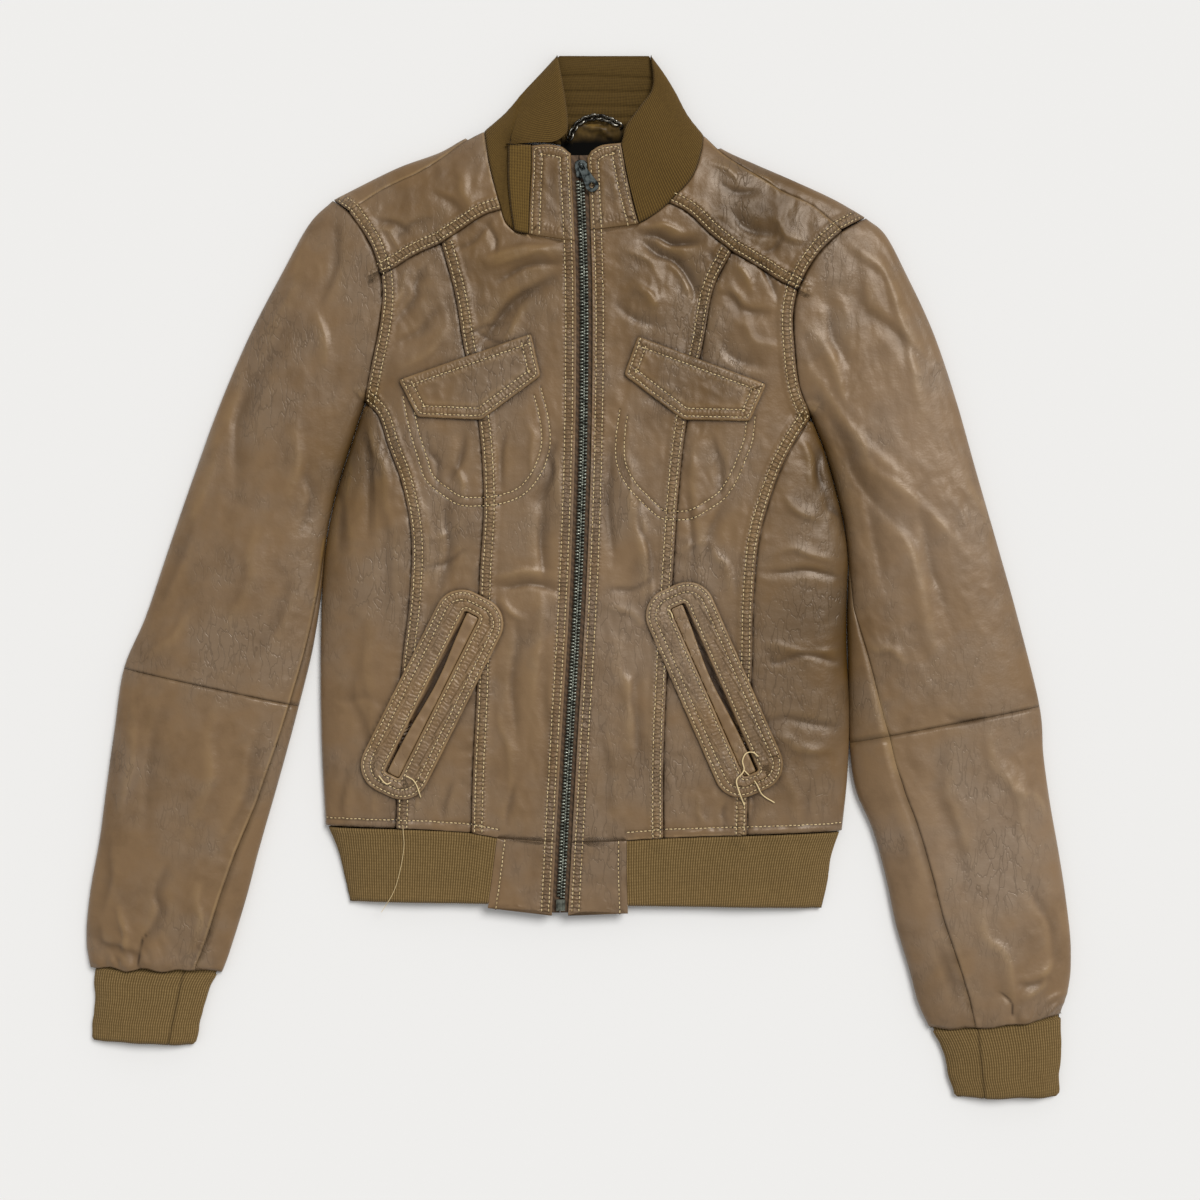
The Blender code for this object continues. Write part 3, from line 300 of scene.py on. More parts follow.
# Cuff sections from the sleeve down: outer fold x, y; inner fold x, y.
CUFFS = {
    "left": ((-358, -288, -267, -293), (-358, -313, -276, -313), (-360, -342, -283, -346)),
    "right": ((356, -325, 261, -335), (356, -349, 269, -353), (354, -384, 277, -385)),
}

# The seam that closes each cuff: x and y of its upper and lower end.
CUFF_SEAMS = {"left": ((-290, -288), (-302, -345)), "right": ((292, -324), (298.5, -387))}

# The largest folds of the leather: x and y of each end, half width, height.
FOLDS = (
    (-10, 239, -73, 231, 9, 2.2),
    (-14, 221, -73, 170, 10, -2.6),
    (45, 247, 89, 203, 9, -2.6),
    (89, 203, 82, 170, 9, -1.8),
    (45, 214, 56, 199, 8, 1.8),
    (-16, 100, -27, 56, 7, -2.0),
    (-27, 56, -25, -3, 7, -1.8),
    (24, 100, 26, 12, 7, -1.8),
    (32, 70, 56, -33, 8, 1.6),
    (-60, -10, -16, -10, 7, -1.4),
    (-160, 92, -152, 12, 8, -2.0),
    (176, 90, 190, 41, 7, -1.6),
    (-268, 114, -304, 12, 15, 1.8),
    (-240, 160, -250, 60, 12, -1.6),
    (220, 215, 250, 120, 12, 1.8),
    (250, 60, 275, -40, 12, -1.6),
)

# Lining seen inside the neck, and the hanger chain across it: x, y.
LINING = ((-13, 329), (14, 336), (33, 333), (31, 320), (12, 317), (-7, 319))
CHAIN_LINE = ((-7, 322), (-4, 329), (2, 335), (12, 338), (22, 336), (31, 331))

# Painted shade over stretches of the leather, and painted light where the amount is below 0:
# x, y, reach, how much.
LIGHT_AND_SHADE_PATCHES = (
    (-112, 272, 42, 0.20), (132, 268, 50, 0.52), (-58, 214, 48, 0.22), (54, 214, 48, 0.27),
    (-166, 84, 34, 0.26), (178, 70, 36, 0.34), (170, -30, 48, 0.36), (168, -120, 50, 0.26),
    (-84, 146, 36, 0.12), (88, 144, 36, 0.28), (-22, 292, 26, 0.32), (26, 292, 26, 0.30),
    (248, 120, 60, -0.22), (262, 20, 70, -0.20), (300, -200, 90, -0.26), (36, -40, 60, -0.14),
    (-220, 150, 60, 0.03), (-290, -250, 30, 0.05),
)

# The deep tuck at the end of each sleeve, from the cuff upwards.
SLEEVE_TUCKS = {
    "left": ((-322.0, -288.0), (-322.2, -278.0), (-320.0, -268.0), (-313.0, -258.0)),
    "right": ((317.4, -321.0), (316.8, -313.0), (311.5, -307.0), (304.5, -303.0)),
}

# Thread ends that have come away, beside the hip pockets and at the left hem: x, y.
LOOSE_THREADS = (
    ((131, -132), (127, -129), (122, -130), (119.5, -135), (120.5, -142), (115, -149),
     (117, -158), (121, -168)),
    ((120.5, -142), (129, -151), (134, -160), (143, -166)),
    ((65.5, -25), (67.5, -27.5), (68.5, -31)),
    ((-126, -146), (-121, -149), (-117.5, -155), (-115.5, -162)),
    ((-146, -146), (-140, -152), (-135, -149.5)),
    ((-128.5, -182), (-128, -198), (-131, -216), (-136, -232), (-145, -247)),
)

# The bag of each chest pocket, stitched through from outside, down one side and up the
# other: left x, left y, right x, right y.
POCKET_BAG = (
    (-129, 132, 129, 117),
    (-124, 107, 127, 99),
    (-118, 87, 122, 85),
    (-112, 70, 116, 71),
    (-101, 60, 107, 57),
    (-88, 52, 96, 49),
    (-73, 51, 83, 42),
    (-56, 53, 70, 41),
    (-41, 59, 60, 42),
    (-30, 71, 48, 52),
    (-23, 87, 35, 66),
    (-21, 101, 28, 81),
    (-23, 118, 27, 99),
    (-28, 138, 30, 122),
)

# Listed creases of the worn leather: x and y of both ends, how far the middle bows
# to the left of that line, half width, and height, which is negative for a trough.
CREASES = (
    # left chest, from the zip to the yoke
    (-10, 239, -72, 230, -5, 7, 2.0),
    (-12, 228, -60, 214, -6, 4, -1.6),
    (-14, 221, -73, 168, -8, 7, -2.8),
    (-20, 232, -64, 226, -4, 3, 1.2),
    (-36, 206, -74, 150, 4, 5, 1.3),
    (-62, 262, -96, 236, 5, 4, -1.0),
    (-96, 236, -74, 262, 6, 3, 0.8),
    (-66, 258, -60, 236, 3, 2.5, -1.2),
    (-112, 228, -134, 186, 4, 5, -1.5),
    (-124, 226, -140, 190, 3, 4, 1.1),
    (-100, 200, -138, 168, 5, 6, -1.1),
    (-92, 184, -136, 150, 6, 7, 1.1),
    (-80, 180, -40, 168, -3, 2.2, -0.8),
    (-86, 172, -50, 186, 4, 2.0, -0.6),
    # right chest, under the collar and over the pocket
    (46, 250, 90, 244, -4, 5, -3.2),
    (44, 258, 78, 250, 3, 4, 1.5),
    (45, 247, 89, 203, 6, 6, -2.6),
    (89, 203, 82, 168, 5, 6, -1.8),
    (30, 242, 62, 214, 5, 6, 1.3),
    (44, 214, 57, 196, 2, 5, 2.0),
    (26, 200, 60, 182, -4, 5, -1.3),
    (62, 234, 84, 196, 5, 3, 1.1),
    (96, 240, 102, 214, 3, 4, -1.4),
    (113, 230, 128, 206, 3, 4, 1.4),
    (120, 232, 146, 200, 6, 4, -1.6),
    (104, 212, 142, 192, -7, 6, -1.8),
    (100, 226, 124, 180, 4, 5, 1.0),
    (112, 188, 150, 168, -6, 6, 1.2),
    (104, 176, 140, 152, -8, 8, -1.6),
    # yokes and shoulders
    (-150, 262, -122, 250, 3, 4, -1.1),
    (-148, 254, -128, 232, 3, 3, 0.9),
    (-108, 282, -82, 262, 3, 6, -1.2),
    (-90, 300, -76, 266, -3, 7, 1.4),
    (-136, 246, -106, 262, 4, 4, -0.8),
    (96, 304, 118, 286, 4, 6, 1.6),
    (104, 290, 134, 282, -5, 5, -1.4),
    (112, 270, 150, 250, -9, 7, -1.9),
    (84, 276, 112, 262, -3, 5, 1.2),
    (140, 262, 166, 244, -5, 5, 1.5),
    (120, 298, 150, 276, 6, 4, 1.3),
    (150, 250, 134, 236, 3, 3, -1.0),
    # between the pockets, beside the zip
    (-16, 100, -27, 56, 3, 5, -2.1),
    (-27, 56, -25, -3, -2, 6, -1.9),
    (-20, 92, -12, 30, 2, 6, 1.3),
    (-40, 112, -34, 66, 2, 4, 1.2),
    (-52, 108, -56, 62, -2, 4, -1.2),
    (-60, -8, -12, -12, 4, 5, -1.9),
    (-64, 0, -18, 2, 3, 4, 1.0),
    (-58, -16, -38, -34, -3, 4, 1.2),
    (-30, -8, -34, -92, 3, 7, 1.3),
    (-46, -30, -44, -124, -4, 6, -1.4),
    (-22, -60, -26, -160, 3, 6, -1.0),
    (-58, -90, -50, -160, 2, 5, 1.0),
    (24, 100, 26, 12, -3, 6, -1.9),
    (34, 110, 36, 40, 3, 5, 1.4),
    (32, 66, 56, -33, 5, 7, 1.6),
    (44, 58, 50, -20, 4, 4, -1.3),
    (20, -10, 54, -2, -4, 4, -1.2),
    (18, -20, 50, -40, 4, 5, 1.2),
    (30, -40, 36, -130, 5, 8, 1.4),
    (46, -60, 44, -150, -3, 6, -1.3),
    (18, -100, 22, -176, 2, 6, -0.9),
    # middle panels
    (-112, 104, -104, 60, 4, 4, -1.2),
    (-84, 106, -96, 66, 4, 5, -1.6),
    (-96, 66, -104, -20, 5, 6, -1.7),
    (-90, 90, -84, 52, 2, 4, 1.3),
    (-118, 60, -112, -10, 4, 4, 1.0),
    (-84, 40, -108, 26, 3, 3, 0.8),
    (-80, 20, -116, 6, 3, 3, -0.8),
    (-96, -2, -116, -40, 3, 4, 1.0),
    (84, 100, 88, 20, -3, 6, 1.4),
    (98, 104, 104, 52, 4, 5, -1.5),
    (112, 60, 92, 8, -5, 7, -1.5),
    (124, 96, 108, 60, 3, 5, 1.1),
    (78, 60, 82, -20, 3, 4, -1.0),
    (96, 30, 112, -16, 4, 5, 1.2),
    (70, 14, 100, 24, 4, 3, 0.7),
    # side panels
    (-160, 112, -152, 30, 4, 5, -2.2),
    (-154, 118, -142, 40, 4, 6, 1.7),
    (-170, 92, -166, 20, -3, 6, 1.5),
    (-178, 64, -176, 14, 3, 7, -2.4),
    (-148, 60, -140, -30, 5, 7, -1.2),
    (-170, -20, -150, -110, 5, 8, 1.1),
    (-160, -60, -146, -150, -5, 7, -1.1),
    (-178, -90, -140, -96, 5, 7, -0.8),
    (176, 96, 182, 60, -3, 5, -2.2),
    (182, 60, 194, 26, 4, 5, -1.9),
    (164, 100, 172, 64, 4, 5, 1.8),
    (150, 60, 178, 40, -5, 5, 1.4),
    (136, 4, 196, -2, 4, 4, -1.5),
    (140, 14, 190, 10, 4, 4, 1.1),
    (134, -48, 196, -54, -5, 5, 1.2),
    (136, -56, 194, -66, 3, 4, -1.4),
    (132, -108, 196, -112, 4, 5, -1.2),
    (134, -118, 190, -128, -5, 6, 1.2),
    (150, -140, 160, -180, 3, 6, 1.0),
    (128, -150, 124, -184, 2, 4, -1.0),
    # above the hem
    (-120, -176, -112, -150, 2, 4, 1.1),
    (-98, -182, -92, -150, 2, 4, -1.0),
    (-150, -182, -146, -150, 2, 5, 1.0),
    (-172, -178, -168, -140, 2, 5, -1.1),
    (-52, -186, -46, -150, 2, 4, -0.9),
    (92, -186, 88, -160, 2, 4, 1.0),
    (106, -186, 108, -164, 2, 4, -1.0),
    (168, -184, 172, -150, 2, 5, -0.9),
    # left sleeve
    (-176, 262, -190, 196, 6, 7, -1.5),
    (-206, 236, -236, 170, 8, 12, 1.8),
    (-196, 196, -186, 150, 5, 8, 1.4),
    (-224, 196, -258, 104, 8, 10, -1.4),
    (-268, 114, -304, 12, 10, 13, 2.0),
    (-240, 160, -250, 60, -6, 10, -1.7),
    (-206, 120, -214, 50, 5, 8, 1.5),
    (-196, 90, -204, 30, 4, 7, -1.3),
    (-290, 50, -312, -30, 6, 9, -1.5),
    (-234, 40, -262, -44, 8, 10, 1.6),
    (-214, 0, -236, -60, 5, 8, -1.4),
    (-280, -20, -320, -60, 6, 8, 1.3),
    (-326, -90, -340, -180, 6, 9, 1.6),
    (-300, -84, -316, -190, -6, 10, -1.4),
    (-264, -90, -290, -200, 8, 10, 1.6),
    (-232, -110, -262, -200, 6, 8, -1.3),
    (-345, -190, -352, -250, 4, 7, -1.3),
    (-300, -210, -322, -276, 5, 6, -1.5),
    (-276, -220, -286, -282, 5, 6, 1.6),
    (-338, -240, -334, -284, 3, 5, 1.6),
    (-352, -256, -318, -280, -5, 5, -1.4),
    # right sleeve
    (196, 244, 236, 196, 8, 8, 1.7),
    (206, 226, 260, 150, -8, 9, -1.7),
    (222, 218, 250, 122, 6, 11, 2.0),
    (166, 190, 196, 120, 6, 8, 1.6),
    (180, 206, 200, 150, -5, 7, -1.6),
    (162, 166, 250, 60, -9, 9, 1.8),
    (176, 130, 250, 20, -9, 8, -1.5),
    (204, 120, 290, 14, -9, 8, 1.5),
    (196, 70, 226, -16, 6, 9, -1.4),
    (226, 50, 262, -60, 6, 10, 1.8),
    (250, 60, 275, -40, -5, 9, -1.7),
    (284, 90, 306, 0, 6, 8, 1.3),
    (212, -50, 240, -66, 4, 5, 1.3),
    (268, -100, 300, -104, -4, 5, -1.2),
    (300, -110, 326, -210, 8, 11, 1.7),
    (270, -120, 290, -240, -7, 10, -1.6),
    (228, -150, 250, -250, 6, 8, 1.5),
    (318, -150, 346, -180, 5, 8, 1.3),
    (330, -220, 350, -290, 6, 8, -1.5),
    (296, -240, 318, -318, 6, 8, 1.7),
    (268, -250, 284, -322, -5, 6, -1.6),
    (350, -280, 322, -312, 6, 6, 1.6),
    (346, -292, 320, -298, 4, 5, -1.3),
)


class Side(Enum):
    """A side of the jacket as seen from above."""

    LEFT = "left"
    RIGHT = "right"

    @property
    def first(self) -> int:
        """Where this side's x stands in a row of the tables."""
        return 0 if self is Side.LEFT else 2

    @property
    def out(self) -> int:
        """The sign of x on this side."""
        return -1 if self is Side.LEFT else 1


class Zone(Enum):
    """A stretch of cloth whose small wrinkles run one way, with that way in degrees."""

    BODY = 84.0
    SLEEVE_LEFT = 68.0
    SLEEVE_RIGHT = 108.0


class Toward(Enum):
    """The side of a seam that its allowance is turned to and top-stitched on."""

    CENTRE = (1.0, 0.0)
    UP = (0.0, 1.0)
    PLAIN = (0.0, 0.0)


# Which way each seam of the fronts is turned.
TURNED = {
    "yoke": Toward.UP,
    "armhole": Toward.CENTRE,
    "mid_seam": Toward.CENTRE,
    "princess": Toward.CENTRE,
    "shoulder_seam": Toward.PLAIN,
    "neck": Toward.PLAIN,
    "hem": Toward.PLAIN,
}


# ---------------------------------------------------------------- curves


def blend(start: Array, end: Array, slopes: Sequence[Array], t: Array, span: float = 1.0) -> Array:
    """Points on a smooth curve between two stations.

    Args:
        start: the first station.
        end: the last one.
        slopes: the curve's slope at each of them.
        t: how far along each point is, from 0 to 1.
        span: how much of the curve's parameter lies between them.

    Returns:
        The points.
    """
    return (
        (2 * t**3 - 3 * t**2 + 1) * start
        + (t**3 - 2 * t**2 + t) * span * slopes[0]
        + (3 * t**2 - 2 * t**3) * end
        + (t**3 - t**2) * span * slopes[1]
    )


def smooth(points: Sequence, step: float) -> Array:
    """Samples a smooth curve through points.

    Args:
        points: the stations, each a row of any width.
        step: the spacing of the samples, in millimetres.

    Returns:
        The samples, the stations among them.
    """
    points = np.asarray(points, float)
    if len(points) == 2:
        count = max(1, round(np.linalg.norm(points[1] - points[0]) / step))
        return points[0] + np.linspace(0, 1, count + 1)[:, None] * (points[1] - points[0])
    chord = np.sqrt(np.linalg.norm(np.diff(points, axis=0), axis=1))
    knots = np.concatenate([[0], np.cumsum(chord)])
    slopes = np.gradient(points, knots, axis=0)
    samples = [points[:1]]
    for i, span in enumerate(chord):
        count = max(1, round(np.linalg.norm(points[i + 1] - points[i]) / step))
        t = (np.arange(1, count + 1) / count)[:, None]
        samples.append(blend(points[i], points[i + 1], slopes[i : i + 2], t, span))
    return np.concatenate(samples)


def run_lengths(line: Array) -> Array:
    """The distance travelled along a polyline at each of its points."""
    return np.concatenate([[0], np.cumsum(np.linalg.norm(np.diff(line, axis=0), axis=1))])


def at_shares(line: Array, shares: Array) -> Array:
    """Points at the given shares of a polyline's length."""
    reach = run_lengths(line)
    places = np.asarray(shares) * reach[-1]
    return np.stack([np.interp(places, reach, line[:, k]) for k in range(line.shape[1])], 1)


def evenly(line: Array, step: float) -> Array:
    """A polyline sampled again at an even spacing."""
    return at_shares(line, np.linspace(0, 1, max(2, round(run_lengths(line)[-1] / step) + 1)))


def unit(rows: Array) -> Array:
    """Each row made 1 long."""
    return rows / np.linalg.norm(rows, axis=1)[:, None]


def left_of(run: Array) -> Array:
    """Each row of x and y turned a quarter turn to its left."""
    return np.stack([-run[:, 1], run[:, 0]], 1)


def closed(ring: Array) -> Array:
    """A closed loop as a polyline that ends where it starts."""
    return np.concatenate([ring, ring[:1]])


def beside(line: Array, distance: float) -> Array:
    """A polyline moved sideways, to its left for a positive distance."""
    return line + distance * left_of(unit(np.gradient(line, axis=0)))


def chain(*lines: Array, gap: float = 0.3) -> Array:
    """One polyline through several, without the points repeated where they meet."""
    joined = np.concatenate([np.asarray(line, float) for line in lines])
    keep = np.linalg.norm(np.diff(joined, axis=0), axis=1) > gap
    return joined[np.concatenate([[True], keep])]


def loop_of(*lines: Array, gap: float = 0.3) -> Array:
    """A closed loop from lines that meet end to end."""
    loop = chain(*lines, gap=gap)
    return loop if np.linalg.norm(loop[0] - loop[-1]) > gap else loop[:-1]


def inset(loop: Array, distance: float) -> Array:
    """A closed loop shrunk by a distance, which is negative to grow it.

    Args:
        loop: the closed loop.
        distance: how far, in millimetres.

    Returns:
        The loop with as many points.
    """
    run_in = loop - np.roll(loop, 1, axis=0)
    run_out = np.roll(run_in, -1, axis=0)
    turn = np.sum(loop[:, 0] * np.roll(loop[:, 1], -1) - loop[:, 1] * np.roll(loop[:, 0], -1))
    normals = []
    for run in (run_in, run_out):
        normals.append(left_of(unit(run)) * np.sign(turn))
    both = normals[0] + normals[1]
    reach = np.maximum(1 + np.sum(normals[0] * normals[1], axis=1), 0.35)
    return loop + distance * both / reach[:, None]


def inside(points: Array, loop: Array) -> Array:
    """Whether each point is inside a closed loop.

    Args:
        points: rows of x and y.
        loop: the closed loop.

    Returns:
        True for each point inside.
    """
    odd = np.zeros(len(points), bool)
    x, y = points[:, 0], points[:, 1]
    for (x1, y1), (x2, y2) in zip(loop, np.roll(loop, -1, axis=0)):
        if y1 == y2:
            continue
        spans = (y1 > y) != (y2 > y)
        odd ^= spans & (x < x1 + (y - y1) * (x2 - x1) / (y2 - y1))
    return odd


def distance_to(points: Array, lines: Iterable[Array]) -> Array:
    """Each point's distance to the nearest of several polylines.

    Args:
        points: rows of x and y.
        lines: the polylines.

    Returns:
        The distances, in millimetres.
    """
    nearest = np.full(len(points), np.inf)
    for line in lines:
        for start, end in zip(line[:-1], line[1:]):
            run = end - start
            share = np.clip((points - start) @ run / max(run @ run, 1e-9), 0, 1)
            away = points - start - share[:, None] * run
            nearest = np.minimum(nearest, np.einsum("ij,ij->i", away, away))
    return np.sqrt(nearest)


def eased(share: Array) -> Array:
    """A share from 0 to 1 with a soft start and end."""
    share = np.clip(share, 0, 1)
    return share * share * (3 - 2 * share)


def one_side(rows: Iterable[Sequence[float]], side: Side) -> list:
    """The x and y of one side from rows that hold both."""
    return [row[side.first : side.first + 2] for row in rows]


def corner(name: str, side: Side) -> Sequence[float]:
    """A corner of the pattern."""
    return one_side([CORNERS[name]], side)[0]


def seam(name: str, side: Side, step: float = SEAM_STEP) -> Array:
    """Samples of a seam, from its first corner to its last.

    Args:
        name: the seam's name in the table.
        side: the side of the jacket.
        step: the spacing of its samples.

    Returns:
        Rows of x and y.
    """
    start, end, *rest = SEAMS[name]
    stations = [corner(start, side), *one_side(rest, side), corner(end, side)]
    return smooth(stations, step)


def edge(name: str, side: Side, step: float = SEAM_STEP) -> Array:
    """Samples of a free edge."""
    return smooth(one_side(EDGES[name], side), step)


def along_zip(offset: float, top: float, bottom: float, step: float = SEAM_STEP) -> Array:
    """The line at an offset to the right of the zip's, from one y down to another.

    Args:
        offset: how far to the right.
        top: the first y.
        bottom: the last y.
        step: the spacing of its points.

    Returns:
        Rows of x and y.
    """
    line = beside(smooth(ZIP_LINE, 4.0), offset)
    line = np.concatenate([[line[0] + (0, 12)], line])
    levels = np.linspace(top, bottom, max(2, round((top - bottom) / step)))
    return np.stack([np.interp(-levels, -line[:, 1], line[:, 0]), levels], 1)


def zip_edge(side: Side, top: float, bottom: float) -> Array:
    """The leather's edge beside the zip."""
    return along_zip(side.out * ZIP_HALF_GAP, top, bottom)


def armhole(side: Side, step: float = SEAM_STEP) -> Array:
    """The armhole seam from the shoulder tip to the underarm."""
    names = ("armhole_back", "armhole_yoke", "armhole_front")
    return chain(*[seam(name, side, step) for name in names])


def hem_seam(side: Side, step: float = SEAM_STEP) -> Array:
    """The leather's lower edge on one side, from the side fold to the hem tab."""
    names = ("hem_outer", "hem_middle", "hem_inner")
    return chain(*[seam(name, side, step) for name in names])


def yoke_seam(side: Side, step: float = SEAM_STEP) -> Array:
    """The seam under the yoke, from the neck to the armhole."""
    return chain(seam("yoke_inner", side, step), seam("yoke_outer", side, step))


def rounded_bar(
    start: Sequence, end: Sequence, half_width: float, reach: float, radius: float
) -> Array:
    """A rounded rectangle round a line.

    Args:
        start: the line's first end.
        end: its last end.
        half_width: from the line to each long side.
        reach: how far the shape goes past both ends.
        radius: of its four corners.

    Returns:
        The closed loop.
    """
    start, end = np.array(start, float), np.array(end, float)
    run = (end - start) / np.linalg.norm(end - start)
    across = np.array([-run[1], run[0]])
    loop = []
    for middle, way in ((end, 1), (start, -1)):
        for sign in (1, -1):
            centre = middle + way * ((reach - radius) * run + sign * (half_width - radius) * across)
            first = math.pi / 2 if sign > 0 else 0.0
            for turn in np.linspace(0, math.pi / 2, max(2, int(radius * 1.2))):
                angle = first - turn
                loop.append(
                    centre + way * radius * (math.sin(angle) * across + math.cos(angle) * run)
                )
    return evenly(closed(np.array(loop)), SEAM_STEP)[:-1]


def rounded_line(line: Array, times: int) -> Array:
    """A polyline with its corners rounded a little, as often as asked.

    Args:
        line: the polyline.
        times: how often.

    Returns:
        The rounded line.
    """
    for _ in range(times):
        middle = (line[:-2] + 2 * line[1:-1] + line[2:]) / 4
        line = np.concatenate([line[:1], middle, line[-1:]])
    return line


def rounded_loop(loop: Array, times: int) -> Array:
    """A closed loop with its corners rounded a little, as often as asked."""
    for _ in range(times):
        loop = (np.roll(loop, 1, axis=0) + 2 * loop + np.roll(loop, -1, axis=0)) / 4
    return loop


def flap_outline(side: Side) -> Array:
    """A chest flap's outline, with its corners just rounded.

    Args:
        side: the side of the jacket.

    Returns:
        The closed outline.
    """
    corners = np.array(one_side(EDGES["pocket_flap"], side), float)
    sides = [evenly(np.array(pair), 1.6) for pair in zip(corners, np.roll(corners, -1, axis=0))]
    return rounded_loop(loop_of(*sides), 2)


def frame_outlines(side: Side) -> tuple[Array, Array]:
    """The outlines of a hip pocket's frame and of its slit.

    Args:
        side: the side of the jacket.

    Returns:
        Both closed outlines.
    """
    x1, y1, x2, y2 = POCKET_LINE[side.value]
    ends = (x1, y1), (x2, y2)
    outer = rounded_bar(*ends, FRAME_HALF_WIDTH, FRAME_REACH, FRAME_CORNER)
    return outer, rounded_bar(*ends, SLIT_HALF_WIDTH, 0.0, 1.0)


def noise(x: Array, y: Array, wavelength: float, seed: int) -> Array:
    """Smooth noise from about -1 to 1.

    Args:
        x: places across, in millimetres.
        y: places along.
        wavelength: the usual distance between two hills.
        seed: which noise.

    Returns:
        The noise at each place.
    """
    size = 128
    turn = np.random.default_rng(seed).random((size, size)) * 2 * math.pi
    slope_x, slope_y = np.cos(turn), np.sin(turn)
    u, v = x / wavelength + 41.3, y / wavelength + 57.7
    column, row = np.floor(u).astype(int), np.floor(v).astype(int)
    u, v = u - column, v - row

    def pull(right: int, up: int) -> Array:
        """The part of the noise that one corner of the cell gives."""
        at = (column + right) % size, (row + up) % size
        return slope_x[at] * (u - right) + slope_y[at] * (v - up)

    su, sv = u**3 * (u * (6 * u - 15) + 10), v**3 * (v * (6 * v - 15) + 10)
    low = pull(0, 0) * (1 - su) + pull(1, 0) * su
    high = pull(0, 1) * (1 - su) + pull(1, 1) * su
    return 1.5 * (low * (1 - sv) + high * sv)


def ridged(x: Array, y: Array, wavelength: float, seed: int) -> Array:
    """Noise whose hills are thin creases, about -0.5 to 1."""
    return 1.0 - 2.6 * np.minimum(np.abs(noise(x, y, wavelength, seed)), 0.58)


# ---------------------------------------------------------------- the laid-out cloth


def blurred(grid: Array, reach: int) -> Array:
    """A grid averaged over a square that reaches so many cells to each side, twice.

    Args:
        grid: the grid.
        reach: how many cells.

    Returns:
        The averaged grid.
    """
    for axis in (0, 1, 0, 1):
        size = grid.shape[axis]
        total = np.insert(np.cumsum(grid, axis=axis, dtype=np.float64), 0, 0, axis=axis)
        places = np.arange(size)
        high = np.minimum(places + reach + 1, size)
        low = np.maximum(places - reach, 0)
        counts = (high - low).reshape((-1, 1) if axis == 0 else (1, -1))
        grid = (total.take(high, axis=axis) - total.take(low, axis=axis)) / counts
    return grid.astype(np.float32)


@dataclass
class Band:
    """The grid cells near a line, with each cell's place beside and along it."""

    window: tuple
    off: Array
    along: Array
    length: float


def silhouette() -> list[Array]:
    """The folds all round the laid-out garment, leaving out its open ends.

    Returns:
        The folds and edges, each a polyline.
    """
    lines = [np.array([edge("collar_fold", side)[-1] for side in Side])]
    for side in Side:
        cuff = np.array(CUFFS[side.value], float)
        lines += [
            edge("collar_fold", side, 6.0),
            seam("shoulder_fold", side, 6.0),
            sleeve_fold(side, 0),
            sleeve_fold(side, 2),
            seam("side_fold", side, 6.0),
            edge("hem_rib_side", side, 6.0),
            cuff[:, 0:2],
            cuff[:, 2:4],
        ]
    return lines


def sleeve_fold(side: Side, first: int) -> Array:
    """The outer (first 0) or inner (first 2) fold of a sleeve."""
    start = corner("shoulder_tip" if first == 0 else "underarm", side)
    return smooth([start] + [row[first : first + 2] for row in SLEEVES[side.value]], 6.0)


